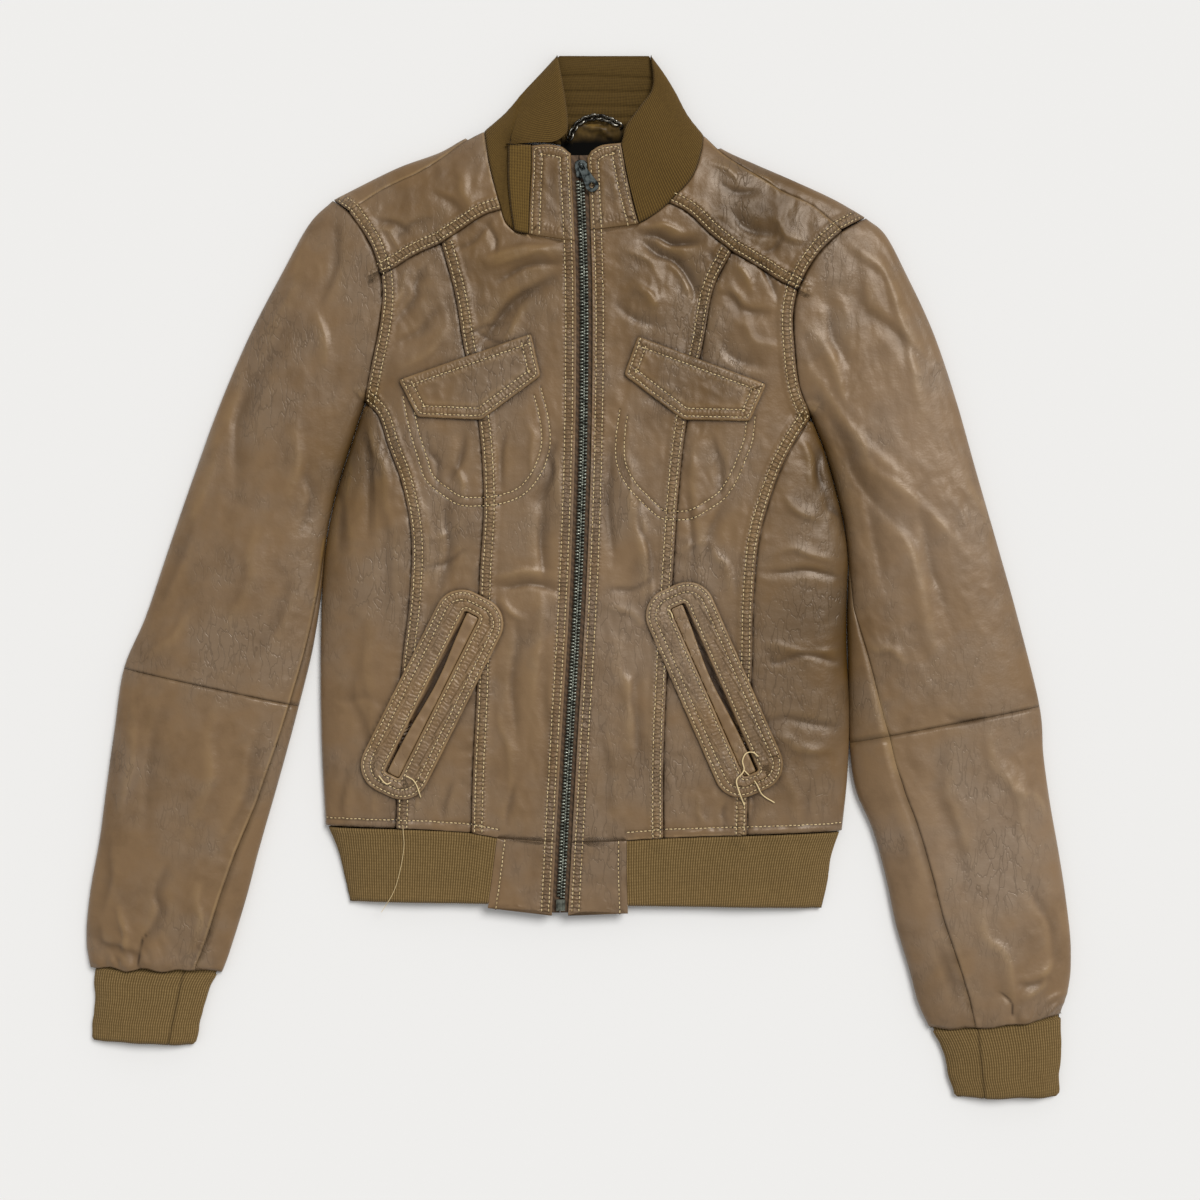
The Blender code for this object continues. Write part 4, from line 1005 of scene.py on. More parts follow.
class Cloth:
    """Height, wear and painted light and shade of the laid-out cloth, on a fine grid."""

    # The grid: its spacing, and how far it goes past the outline.
    pitch = 0.5
    margin = 14.0
    # Rows of stitches: how far from their seam or edge they run, and how deep they sink.
    row_offsets = (2.5, 8.0)
    zip_rows = (2.6, 7.8)
    hem_row = 6.2
    tab_row = 6.0
    bag_gap = 6.2
    row_margin = 2.2
    row_gap = 5.0
    stitch_sink = 0.42
    # Seams: the turned allowance's height and width, and the groove beside it.
    ridge = 1.15
    allowance = 9.6
    groove = 1.1
    groove_reach = 1.7
    tab_width = 44.0
    # Creases: their width and height against the table's, and how far each leans.
    crease_width = 0.64
    crease_rise = 1.02
    leans = (1.45, 0.62)
    both_leans = 2.05
    # The tuck above each cuff, and the slit of each hip pocket.
    tuck_reach = 26.0
    tuck_swell = 0.8
    tuck_depth = 1.3
    slit_reach = 4.8
    slit_depth = 2.4
    # Where each sleeve leaves the body's side, below which its shade ends.
    sleeve_leaves = (-60.0, -130.0)

    def __init__(self) -> None:
        """Lays out the grid and presses the folds, seams and creases into it."""
        lines = silhouette()
        every = np.concatenate(lines)
        self.low = every.min(axis=0) - self.margin
        shape = np.ceil((every.max(axis=0) + self.margin - self.low) / self.pitch).astype(int)
        self.folds_at = lines
        self.away = np.full(shape[::-1], CROWN_REACH + 5.0, np.float32)
        self.folds, self.detail = (np.zeros_like(self.away) for _ in range(2))
        # Wear with painted highlight, and painted shade.
        self.worn, self.deep = (np.zeros_like(self.away) for _ in range(2))
        self.rung, self.along = (np.zeros_like(self.away) for _ in range(2))
        for line in lines:
            band = self.near(line, CROWN_REACH + 3.0)
            view = self.away[band.window]
            np.minimum(view, np.abs(band.off), out=view)
        self.tone = self.toned()
        self.press_creases()
        self.crease_wear_highlight_and_shade()
        self.press_seams()

    def near(self, line: Array, reach: float) -> Band:
        """Finds the cells within reach of a line.

        Args:
            line: the polyline.
            reach: how far from it to look, in millimetres.

        Returns:
            The band, whose off is positive to the left of the line.
        """
        limit = np.array(self.away.shape[::-1])
        low = np.floor((line.min(axis=0) - reach - self.low) / self.pitch).astype(int)
        high = np.ceil((line.max(axis=0) + reach - self.low) / self.pitch).astype(int) + 1
        low, high = np.clip(low, 0, limit), np.clip(high, 0, limit)
        best = np.full((high[1] - low[1], high[0] - low[0]), 1e9, np.float32)
        off, along = best.copy(), np.zeros_like(best)
        travelled = run_lengths(line)
        for start, end, before in zip(line[:-1], line[1:], travelled):
            a = (np.minimum(start, end) - reach - self.low) / self.pitch
            b = (np.maximum(start, end) + reach - self.low) / self.pitch
            a = np.clip(np.floor(a).astype(int), low, high)
            b = np.clip(np.ceil(b).astype(int) + 1, low, high)
            x = self.low[0] + np.arange(a[0], b[0]) * self.pitch - start[0]
            y = (self.low[1] + np.arange(a[1], b[1]) * self.pitch - start[1])[:, None]
            run = end - start
            length = max(float(np.hypot(*run)), 1e-6)
            share = np.clip((x * run[0] + y * run[1]) / length**2, 0, 1)
            away = (x - share * run[0]) ** 2 + (y - share * run[1]) ** 2
            part = (slice(a[1] - low[1], b[1] - low[1]), slice(a[0] - low[0], b[0] - low[0]))
            closer = away < best[part]
            side = np.sign(run[0] * y - run[1] * x)
            best[part][closer] = away[closer]
            off[part][closer] = (np.sqrt(away) * np.where(side < 0, -1, 1))[closer]
            along[part][closer] = (before + share * length)[closer]
        window = (slice(low[1], high[1]), slice(low[0], high[0]))
        return Band(window, off, along, travelled[-1])

    def toned(self) -> Array:
        """How much painted shade darkens the leather at each cell.

        Returns:
            The grid, negative where painted light makes the leather paler.
        """
        rows, columns = self.away.shape
        x = self.low[0] + np.arange(columns, dtype=np.float32) * self.pitch
        y = self.low[1] + np.arange(rows, dtype=np.float32)[:, None] * self.pitch
        tone = np.zeros(self.away.shape, np.float32)
        for middle_x, middle_y, reach, much in LIGHT_AND_SHADE_PATCHES:
            across = np.exp(-(((x - middle_x) / reach) ** 2))
            tone += much * across * np.exp(-(((y - middle_y) / reach) ** 2))
        # Painted shadow where each sleeve lies against the body's side, wider on the body than on
        # the sleeve.
        for side in Side:
            band = self.near(seam("side_fold", side), 34.0)
            shaded = eased((y[band.window[0]] - self.sleeve_leaves[side.first // 2]) / 70)
            on_body = band.off * side.out * self.body_way(side) > 0
            reach = np.where(on_body, 11.0, 4.0)
            tone[band.window] += 0.5 * shaded * np.exp(-np.abs(band.off) / reach)
        return tone

    @staticmethod
    def body_way(side: Side) -> int:
        """1 if the side fold runs up the jacket, and -1 if it runs down."""
        line = seam("side_fold", side)
        return 1 if line[-1][1] > line[0][1] else -1

    def press_creases(self) -> None:
        """Presses the large folds and the listed creases into the cloth."""
        for x1, y1, x2, y2, width, rise in FOLDS:
            band = self.near(np.array([(x1, y1), (x2, y2)], float), width * 3)
            self.folds[band.window] += 0.5 * rise * np.exp(-((band.off / width) ** 2))
        for number, (x1, y1, x2, y2, bow, width, rise) in enumerate(CREASES):
            width, rise = self.crease_width * width, self.crease_rise * rise
            start, end = np.array((x1, y1), float), np.array((x2, y2), float)
            run = end - start
            middle = (start + end) / 2 + bow * np.array([-run[1], run[0]]) / np.hypot(*run)
            wander = np.random.default_rng(number).normal(0, 0.05, 2) * np.hypot(*run)
            line = smooth([start, (start + middle) / 2 + wander[0], middle, end], 4.0)
            band = self.near(line, width * 3.2)
            share = np.clip(band.along / band.length, 0, 1)
            taper = np.sin(math.pi * np.clip(share, 0.02, 0.98)) ** 0.7
            lean = self.leans[number % 2]
            across = np.where(band.off > 0, width * lean, width * (self.both_leans - lean))
            profile = np.exp(-((band.off / across) ** 2))
            self.folds[band.window] += rise * taper * profile
            # Troughs also get painted shade.
            if rise < 0:
                self.deep[band.window] += 0.7 * -rise / width * taper * profile**2

    def crease_wear_highlight_and_shade(self) -> None:
        """Pales crease ridges with wear and painted highlight; darkens troughs with painted shade.
        """
        rise = self.folds - blurred(self.folds, round(5.0 / self.pitch))
        self.worn += 0.32 * np.clip(rise / 0.8, 0, 1)
        self.deep += 0.14 * np.clip(-rise / 0.8, 0, 1)

    def press_seams(self) -> None:
        """Presses every seam's groove, its turned allowance and its rows of stitches."""
        for side in Side:
            for name, line in self.seam_lines(side).items():
                self.press_seam(line, TURNED.get(name, Toward.PLAIN), side)
            for line in self.stitch_lines(side):
                band = self.near(line, 3.0)
                sink = np.exp(-((band.off / 0.75) ** 2))
                self.detail[band.window] -= self.stitch_sink * sink
                # Painted shade along the row.
                self.deep[band.window] += 0.7 * np.exp(-((band.off / 0.7) ** 2))
            band = self.near(along_zip(side.out * ZIP_HALF_GAP, ZIP_RUNGS_FROM, FRONT_END), 14.0)
            self.lay_rungs(band, np.abs(band.off) - 5.2, 3.4)
            band = self.near(hem_seam(side), 14.0)
            lumps = 1.0 + 0.7 * noise(band.along, band.off * 0.4, 8.0, 33)
            from_edge = np.abs(band.off) - 3.2
            lumps *= 1 - eased((band.along - band.length + self.tab_width) / 6.0)
            self.detail[band.window] += 0.7 * lumps * np.exp(-((from_edge / 2.0) ** 2))
            # Painted shadow and dirt in a band round each chest flap and hip pocket frame.
            for outline in (flap_outline(side), frame_outlines(side)[0]):
                band = self.near(closed(outline), 9.0)
                self.deep[band.window] += 0.95 * np.exp(-np.abs(band.off) / 1.5)
            band = self.near(smooth(SLEEVE_TUCKS[side.value], 1.0), self.tuck_reach)
            length = band.length
            taper = eased((length - band.along) / 10.0) * eased((band.along + 3.0) / 3.0)
            puffed = np.exp(-((band.off / 15.0) ** 2)) * (1 - np.exp(-((band.off / 5.5) ** 2)))
            folded = self.tuck_depth * np.exp(-np.abs(band.off) / 2.4)
            tucked = self.tuck_swell * puffed - folded
            self.detail[band.window] += taper * tucked
            # Painted shade in the tuck's fold.
            self.deep[band.window] += 1.0 * taper * np.exp(-((band.off / 0.75) ** 2))
            x1, y1, x2, y2 = POCKET_LINE[side.value]
            band = self.near(np.array([(x1, y1), (x2, y2)], float), 7.0)
            slit = 1 - eased((np.abs(band.off) - self.slit_reach) / 1.4)
            self.detail[band.window] -= self.slit_depth * slit
            # Painted shade inside the slit.
            self.deep[band.window] += 1.1 * slit

    def seam_lines(self, side: Side) -> dict[str, Array]:
        """Every seam of one side that is sewn into the cloth.

        Args:
            side: the side of the jacket.

        Returns:
            Each seam's polyline by its name.
        """
        rows = len(SLEEVES[side.value])
        table = np.array(SLEEVES[side.value], float)
        inner = table[:, 0:2] + table[:, 4:5] * (table[:, 2:4] - table[:, 0:2])
        return {
            "yoke": yoke_seam(side),
            "armhole": armhole(side),
            "mid_seam": seam("mid_seam", side),
            "princess": seam("princess", side),
            "shoulder_seam": seam("shoulder_seam", side),
            "neck": chain(seam("neck_yoke", side), seam("neck_front", side)),
            "hem": hem_seam(side),
            "tab_foot": self.tab_foot(side),
            "elbow": np.array([table[ELBOW_ROW - 1, 0:2], table[ELBOW_ROW - 1, 2:4]]),
            "sleeve": smooth(inner[4 : rows + 1], 4.0),
        }

    @staticmethod
    def tab_foot(side: Side) -> Array:
        """The short seam between a collar tab and the front below it."""
        high = corner("tab_corner", side)
        return np.array([high, zip_edge(side, high[1] - 5, high[1] - 9)[0]])

    def press_seam(self, line: Array, turned: Toward, side: Side) -> None:
        """Presses one seam into the detail of the cloth.

        Args:
            line: the seam.
            turned: the side that its allowance is turned to.
            side: the side of the jacket that it is on.
        """
        band = self.near(line, 22.0)
        off = band.off * self.toward(line, turned, side)
        near = np.abs(off)
        share = np.clip(near / self.groove_reach, 0, 1)
        depth = self.groove * (0.55 if turned is Toward.PLAIN else 1.0)
        shape = -depth * (1 - np.sqrt(1 - (1 - share) ** 2))
        wave = noise(band.along, off * 0.35, 7.0, 11) + 0.6 * noise(band.along, off * 0.5, 4.2, 12)
        fade = np.exp(-near / 9.0) * eased(near / 2.0)
        if turned is Toward.PLAIN:
            shape += 0.3 * wave * fade
            # Painted highlight on the lip along one side of a plain seam.
            worn = 0.65 * np.exp(-((off + 1.1) ** 2) / 0.45)
        else:
            raised = eased((off + 0.2) / 1.0) * (1 - eased((off - self.allowance) / 2.2))
            middle = np.exp(-(((off - sum(self.row_offsets) / 2) / 1.7) ** 2))
            self.lay_rungs(band, off - sum(self.row_offsets) / 2, 3.8)
            shape += self.ridge * raised - 0.6 * (off < 0) * np.exp(-near / 3.5)
            shape += 0.55 * wave * fade * np.where(raised > 0.2, 0.75, 1.0)
            shape += 0.42 * middle
            # Wear on the turned allowance, and painted highlight on the ridge between its rows.
            worn = 0.2 * raised * (0.75 + 0.5 * wave) + 0.3 * middle
        self.detail[band.window] += shape
        self.worn[band.window] += np.clip(worn, 0, 1)
        plain = turned is Toward.PLAIN
        # Painted shade in the seam's groove, and on the side that its allowance isn't turned to.
        narrow, dark = (0.5, 0.5) if plain else (0.7, 0.85)
        self.deep[band.window] += dark * (0.85 + 0.35 * wave) * np.exp(-((near / narrow) ** 2))
        if not plain:
            self.deep[band.window] += 0.36 * (off < 0) * np.exp(-near / 2.6)

    def lay_rungs(self, band: Band, off: Array, half: float) -> None:
        """Notes where the leather puckers like a ladder between two rows of stitches.

        Args:
            band: the cells near the seam.
            off: how far each of them is from the middle of the rows.
            half: half the width of the ladder.
        """
        strength = np.exp(-((off / half) ** 4)) * eased(band.along / 3.0)
        strong = strength > self.rung[band.window]
        self.rung[band.window] = np.where(strong, strength, self.rung[band.window])
        self.along[band.window] = np.where(strong, band.along, self.along[band.window])

    @staticmethod
    def toward(line: Array, turned: Toward, side: Side) -> int:
        """1 if the seam's left is the turned side, and -1 if its right is.

        Args:
            line: the seam.
            turned: the way that its allowance is turned.
            side: the side of the jacket.

        Returns:
            1 or -1.
        """
        aim = np.array(turned.value) * (-side.out, 1)
        run = line[-1] - line[0]
        return 1 if run[0] * aim[1] - run[1] * aim[0] >= 0 else -1

    def stitch_lines(self, side: Side) -> list[Array]:
        """Every stitched row that lies on the body's own leather."""
        return [line for rows in self.stitch_rows(side).values() for line in rows]

    def stitch_rows(self, side: Side) -> dict[str, list[Array]]:
        """The rows of stitches on the body's leather, by the seam that they hold.

        Args:
            side: the side of the jacket.

        Returns:
            The rows by the name of their seam.
        """
        rows = {}
        for name, line in self.seam_lines(side).items():
            turned = TURNED.get(name, Toward.PLAIN)
            if turned is Toward.PLAIN:
                continue
            way = self.toward(line, turned, side)
            pair = [beside(evenly(line, 2.0), way * off) for off in self.row_offsets]
            rows[name] = [self.trimmed(row) for row in pair]
        rows["hem"] = [beside(evenly(hem_seam(side), 2.0), -side.out * self.hem_row)]
        top = corner("tab_corner", side)[1] - 4
        rows["zip"] = [
            along_zip(side.out * (ZIP_HALF_GAP + off), top, FRONT_END) for off in self.zip_rows
        ]
        bag = smooth(one_side(POCKET_BAG, side), 2.0)
        inner = beside(bag, -side.out * self.bag_gap)
        rows["pocket_bag"] = [bag, inner[2:-2]]
        rows["hem_tab"] = [beside(seam("hem_tab_side", side, 2.0), -side.out * self.tab_row)]
        return rows

    def trimmed(self, line: Array) -> Array:
        """A row of stitches without the ends that run off the outline.

        Args:
            line: the row.

        Returns:
            The longest run of it that lies inside the outline.
        """
        kept = line[self.sample(self.away, line) > self.row_margin]
        middle = np.arange(len(kept)) > 0
        breaks = np.linalg.norm(np.diff(kept, axis=0, prepend=kept[:1]), axis=1) > self.row_gap
        if (breaks & middle).any():
            runs = np.split(kept, np.flatnonzero(breaks & middle))
            kept = max(runs, key=len)
        return kept if len(kept) > 1 else line

    def sample(self, grid: Array, points: Array) -> Array:
        """Reads a grid between its cells at each point.

        Args:
            grid: the grid.
            points: rows of x and y.

        Returns:
            The grid's value at each point.
        """
        place = (np.asarray(points, float)[:, :2] - self.low) / self.pitch
        base = np.floor(place).astype(int)
        base = np.clip(base, 0, np.array(grid.shape[::-1]) - 2)
        x, y = (place - base).T
        column, row = base.T
        low = grid[row, column] * (1 - x) + grid[row, column + 1] * x
        high = grid[row + 1, column] * (1 - x) + grid[row + 1, column + 1] * x
        return low * (1 - y) + high * y

    def beside_line(self, line: Array, reach: float, places: Array) -> tuple[Array, Array]:
        """How far beside and along a line each place is.

        Args:
            line: the polyline.
            reach: how far from it to look.
            places: rows of x and y.

        Returns:
            Each place's distance beside the line, which is large past the reach, and along it.
        """
        band = self.near(line, reach)
        rows, columns = band.window
        cells = np.rint((places[:, :2] - self.low) / self.pitch).astype(int)
        cells -= (columns.start, rows.start)
        high = np.array(band.off.shape[::-1]) - 1
        known = ((cells >= 0) & (cells <= high)).all(axis=1)
        x, y = np.clip(cells, 0, high).T
        return np.where(known, band.off[y, x], 2 * reach), band.along[y, x]

    def distance_in(self, points: Array, own: Array | None = None) -> Array:
        """Each point's distance to the nearest fold of the outline.

        Args:
            points: rows of x and y.
            own: for a tube or a folded panel, the distance to its own fold, which counts
                close to that fold.

        Returns:
            The distances.
        """
        away = self.sample(self.away, points)
        if own is not None:
            share = eased((own - 6.0) / 8.0)
            return own * (1 - share) + away * share
        close = away < 4.0
        if close.any():
            away[close] = distance_to(points[close][:, :2], self.folds_at)
        return away

    def plain(self, points: Array, crown: float = CROWN, own: Array | None = None) -> Array:
        """Height of the cloth with its large folds and no seams or small wrinkles.

        Args:
            points: rows of x and y.
            crown: its height away from the folds.
            own: the distance to the piece's own fold.

        Returns:
            The heights, in millimetres.
        """
        points = np.asarray(points, float)
        away = self.distance_in(points, own)
        share = np.clip(away / CROWN_REACH, 0, 1)
        dome = FOLD_HEIGHT + (crown - FOLD_HEIGHT) * np.sqrt(1 - (1 - share) ** 2.4)
        return dome + self.sample(self.folds, points) * np.clip(away / 14.0, 0, 1)

    def wrinkles(self, points: Array, zone: Zone) -> Array:
        """Small uneven wrinkles of worn leather.

        Args:
            points: rows of x and y.
            zone: which way they mostly run.

        Returns:
            Their height at each point, in millimetres.
        """
        turn = math.radians(zone.value)
        x = points[:, 0] * math.cos(turn) + points[:, 1] * math.sin(turn)
        y = -points[:, 0] * math.sin(turn) + points[:, 1] * math.cos(turn)
        x = x + 9 * noise(x, y, 60, 3)
        y = y + 9 * noise(x, y, 52, 4)
        calm = 0.35 + 0.65 * eased(0.5 + 1.1 * noise(x, y, 95, 9))
        broad = 0.5 * noise(x * 0.55, y, 46, 21)
        medium = 0.42 * ridged(x * 0.42, y, 17, 22) + 0.16 * noise(x * 0.5, y, 13, 23)
        small = 0.30 * ridged(x * 0.5, y, 7.0, 24) + 0.08 * noise(x, y, 4.5, 25)
        return broad + calm * (medium + small)

    def upper(self, points: Array, zone: Zone = Zone.BODY, own: Array | None = None) -> Array:
        """Height of the cloth's outer face, with every fold, seam and wrinkle.

        Args:
            points: rows of x and y.
            zone: the stretch of cloth.
            own: the distance to the piece's own fold.

        Returns:
            The heights, in millimetres.
        """
        points = np.asarray(points, float)
        away = self.sample(self.away, points)
        settle = np.clip(away / 12.0, 0, 1)
        lying = self.ribbed(points, own) if zone is Zone.BODY else self.plain(points, own=own)
        seams = self.sample(self.detail, points) * (0.35 + 0.65 * settle)
        return lying + self.wrinkles(points, zone) * settle + seams

    def ribbed(self, points: Array, own: Array | None = None) -> Array:
        """Height of the body, which lies flatter from the hem's seam down."""
        low = np.clip((HEM_SEAM_AT - points[:, 1]) / HEM_SINKS_OVER, 0, 1)
        return self.plain(points, own=own) * (1 - (1 - RIB_FLATTENED) * low)


# ---------------------------------------------------------------- finishes


def linear(colour: str) -> tuple[float, float, float, float]:
    """The linear colour, with alpha, of an sRGB hex value such as "#8a6a4c"."""
    values = [int(colour[k : k + 2], 16) / 255 for k in (1, 3, 5)]
    return (*[v / 12.92 if v < 0.04045 else ((v + 0.055) / 1.055) ** 2.4 for v in values], 1.0)


def add(tree: bpy.types.NodeTree, kind: str | bpy.types.Node, **values) -> bpy.types.Node:
    """Adds a node with its settings and links.

    Args:
        tree: the material's nodes.
        kind: the node's type, without "ShaderNode", or a node that is there already.
        **values: its settings and inputs, with _ for a space in an input's name and i0, i1
            for the first and second inputs. A socket, or a node's first output, is linked, a
            hex colour turned linear, and stops are the places and colours of a ramp.

    Returns:
        The node.
    """
    made = tree.nodes.new("ShaderNode" + kind) if isinstance(kind, str) else kind
    for key, value in values.items():
        value = value.outputs[0] if isinstance(value, bpy.types.Node) else value
        if key == "stops":
            ramp = made.color_ramp.elements
            while len(ramp) < len(value):
                ramp.new(0.5)
            for stop, (place, shade) in zip(ramp, value):
                stop.position = place
                stop.color = linear(shade) if isinstance(shade, str) else (shade,) * 3 + (1.0,)
        elif key in made.bl_rna.properties:
            setattr(made, key, value)
        else:
            place = int(key[1:]) if key[0] == "i" and key[1:].isdigit() else key.replace("_", " ")
            socket = made.inputs[place]
            if isinstance(value, bpy.types.NodeSocket):
                tree.links.new(value, socket)
            elif isinstance(value, str):
                socket.default_value = linear(value)
            else:
                socket.default_value = value
    return made


@dataclass(frozen=True)
class Finish:
    """What a piece is made of, how its surface was made and the record's slot for it."""

    name: str
    slot: str
    made_of: str = "metal"

    def make(self) -> bpy.types.Material:
        """Makes the material.

        Returns:
            The material.
        """
        material = bpy.data.materials.new(self.name)
        material.use_nodes = True
        tree = material.node_tree
        self.shade(tree, tree.nodes["Principled BSDF"])
        return material

    def shade(self, tree: bpy.types.NodeTree, shader: bpy.types.Node) -> None:
        """Sets up the shader, which each kind of finish does in its own way."""
        raise NotImplementedError


@dataclass(frozen=True)
class Leather(Finish):
    """Glazed lambskin, washed and worn: soft, mottled, with a low uneven sheen.

    The eye sees warm brown with cooler patches of rubbing, pale where seams and folds wear and
    where highlights are painted on ridges, painted shade in creases, seams and recesses, painted
    light and shade over whole stretches, fine crossing creases and a broad soft highlight.
    """

    base: str = "#7c6245"
    cool: str = "#7c6751"
    dark: str = "#624a2f"
    # The colour of wear, and of painted highlights on ridges and seams.
    pale_wear_and_highlight: str = "#a88a60"
    # The colour of painted shade in creases, seams, rows of stitches and recesses.
    painted_shade_brown: str = "#2b1d11"
    mottle: float = 0.055
    blotch: float = 0.024
    crumple: float = 0.0065
    crease_width: float = 0.009
    crease_length: float = 0.024
    # Lambskin's grain is about 0.4 mm; it is drawn at 1.7 mm, as coarse as it has to be to show.
    grain: float = 0.0017
    highlight: str = "#fff0e0"
    roughness: float = 0.38
    coat: float = 0.05
    coat_roughness: float = 0.30

    def shade(self, tree: bpy.types.NodeTree, shader: bpy.types.Node) -> None:
        """Mottled colour with wear, painted light and painted shade, and grain in relief.

        Args:
            tree: the material's nodes.
            shader: its shader.
        """
        at = add(tree, "TexCoord").outputs["Object"]
        worn = add(tree, "Attribute", attribute_name="worn").outputs["Fac"]
        deep = add(tree, "Attribute", attribute_name="deep").outputs["Fac"]
        noisy = {"Vector": at, "Roughness": 0.55}
        broad = add(tree, "TexNoise", Scale=1 / self.mottle, Detail=3.0, **noisy)
        blotch = add(tree, "TexNoise", Scale=1 / self.blotch, Detail=4.0, **noisy)
        creases = self.creases(tree, at, broad.outputs[0])
        cooled = add(tree, "ValToRGB", Fac=broad, stops=[(0.42, self.base), (0.62, self.cool)])
        patch = add(tree, "MapRange", i0=blotch, i1=0.46, i2=0.72, i3=0.0, i4=0.5)
        dark = add(tree, "MixRGB", Fac=patch, Color1=cooled, Color2=self.dark)
        scuffs = add(tree, "MapRange", i0=blotch, i1=0.30, i2=0.56, i3=1.0, i4=0.5)
        wear_and_highlight_share = add(tree, "Math", operation="MULTIPLY", use_clamp=True, i0=worn, i1=scuffs)
        pale = add(tree, "MixRGB", Fac=wear_and_highlight_share, Color1=dark, Color2=self.pale_wear_and_highlight)
        # Painted shade in the furrows of the fine creases, added to the mesh's painted shade.
        lined = add(tree, "MapRange", i0=creases, i1=0.0, i2=1.0, i3=0.26, i4=0.0)
        sum_of = {"operation": "MULTIPLY_ADD"}
        sunk = add(tree, "Math", **sum_of, use_clamp=True, i0=deep, i1=0.85, i2=lined)
        colour = add(tree, "MixRGB", Fac=sunk, Color1=pale, Color2=self.painted_shade_brown)
        # Painted shade in the troughs of the puckers between rows of stitches.
        pucker, shaded = self.rungs(tree, at)
        colour = add(tree, "MixRGB", Fac=shaded, Color1=colour, Color2=self.painted_shade_brown)
        # Painted light and shade over whole stretches: shade makes it darker and more saturated,
        # light paler.
        tone = add(tree, "Attribute", attribute_name="tone").outputs["Fac"]
        left = add(tree, "Math", operation="SUBTRACT", i0=1.0, i1=tone)
        warmer = add(tree, "Math", **sum_of, i0=tone, i1=0.45, i2=1.0)
        toned = add(tree, "HueSaturation", Saturation=warmer, Value=left, Color=colour)
        rough, rougher = self.roughness - 0.08, self.roughness + 0.10
        gloss = add(tree, "MapRange", i0=blotch, i1=0.3, i2=0.7, i3=rough, i4=rougher)
        pores = add(tree, "TexVoronoi", Vector=at, Scale=1 / self.grain)
        crumple = add(tree, "TexNoise", Vector=at, Scale=1 / self.crumple, Detail=5.0)
        # Each layer of the relief: its height, its strength and its real depth in metres.
        layers = (
            (pucker, 0.8, 0.0006),
            (pores, 0.10, 0.0004),
            (creases, 0.5, 0.0005),
            (crumple, 0.42, 0.0008),
            (blotch, 0.22, 0.0012),
        )
        below = {}
        for height, strength, depth in layers:
            bump = add(tree, "Bump", Height=height, Strength=strength, Distance=depth, **below)
            below = {"Normal": bump}
        skin = {"IOR": 1.5, "Specular_IOR_Level": 0.42, "Specular_Tint": self.highlight}
        coat = {"Coat_Weight": self.coat, "Coat_Roughness": self.coat_roughness}
        add(tree, shader, Base_Color=toned, Roughness=gloss, Normal=bump, **skin, **coat)

    def rungs(
        self, tree: bpy.types.NodeTree, at: bpy.types.NodeSocket
    ) -> tuple[bpy.types.NodeSocket, bpy.types.NodeSocket]:
        """The puckers across a stitched band: how high they stand, and their painted shade.

        Args:
            tree: the material's nodes.
            at: the piece's own coordinates.

        Returns:
            Both, as sockets.
        """
        band = add(tree, "Attribute", attribute_name="rung").outputs["Fac"]
        along = add(tree, "Attribute", attribute_name="along").outputs["Fac"]
        wander = add(tree, "TexNoise", Vector=at, Scale=240.0, Detail=1.0).outputs["Fac"]
        strayed = add(tree, "Math", operation="MULTIPLY", i0=wander, i1=9.0)
        rate = 2 * math.pi / (STITCH_PITCH * MM)
        turns = add(tree, "Math", operation="MULTIPLY_ADD", i0=along, i1=rate, i2=strayed)
        wave = add(tree, "Math", operation="SINE", i0=turns)
        height = add(tree, "Math", operation="MULTIPLY", i0=wave, i1=band)
        low = add(tree, "MapRange", i0=height, i1=0.0, i2=-0.9, i3=0.0, i4=0.24)
        return height.outputs[0], low.outputs[0]

    def creases(
        self, tree: bpy.types.NodeTree, at: bpy.types.NodeSocket, broad: bpy.types.NodeSocket
    ) -> bpy.types.NodeSocket:
        """Fine creases in two crossing directions: 0 in a furrow and 1 beside it.

        Args:
            tree: the material's nodes.
            at: the piece's own coordinates.
            broad: the broad mottle, which calms them.

        Returns:
            The socket.
        """
        both = None
        scale = (1 / self.crease_width, 1 / self.crease_length, 1 / self.crease_width)
        for turn, seed in ((0.95, 0.0), (-0.70, 3.7)):
            where = {"Rotation": (0.0, 0.0, turn), "Location": (seed, seed, 0.0), "Scale": scale}
            turned = add(tree, "Mapping", Vector=at, **where)
            lines = add(tree, "TexNoise", Vector=turned, Scale=1.0, Detail=2.0)
            middle = add(tree, "Math", operation="SUBTRACT", i0=lines, i1=0.5)
            off = add(tree, "Math", operation="ABSOLUTE", i0=middle)
            furrow = add(tree, "MapRange", i0=off, i1=0.0, i2=0.022, i3=0.0, i4=1.0)
            if both is None:
                both = furrow
            else:
                both = add(tree, "Math", operation="MINIMUM", i0=both, i1=furrow)
        calm = add(tree, "MapRange", i0=broad, i1=0.48, i2=0.66, i3=1.0, i4=0.1)
        return add(tree, "Math", operation="MAXIMUM", i0=both, i1=calm).outputs[0]


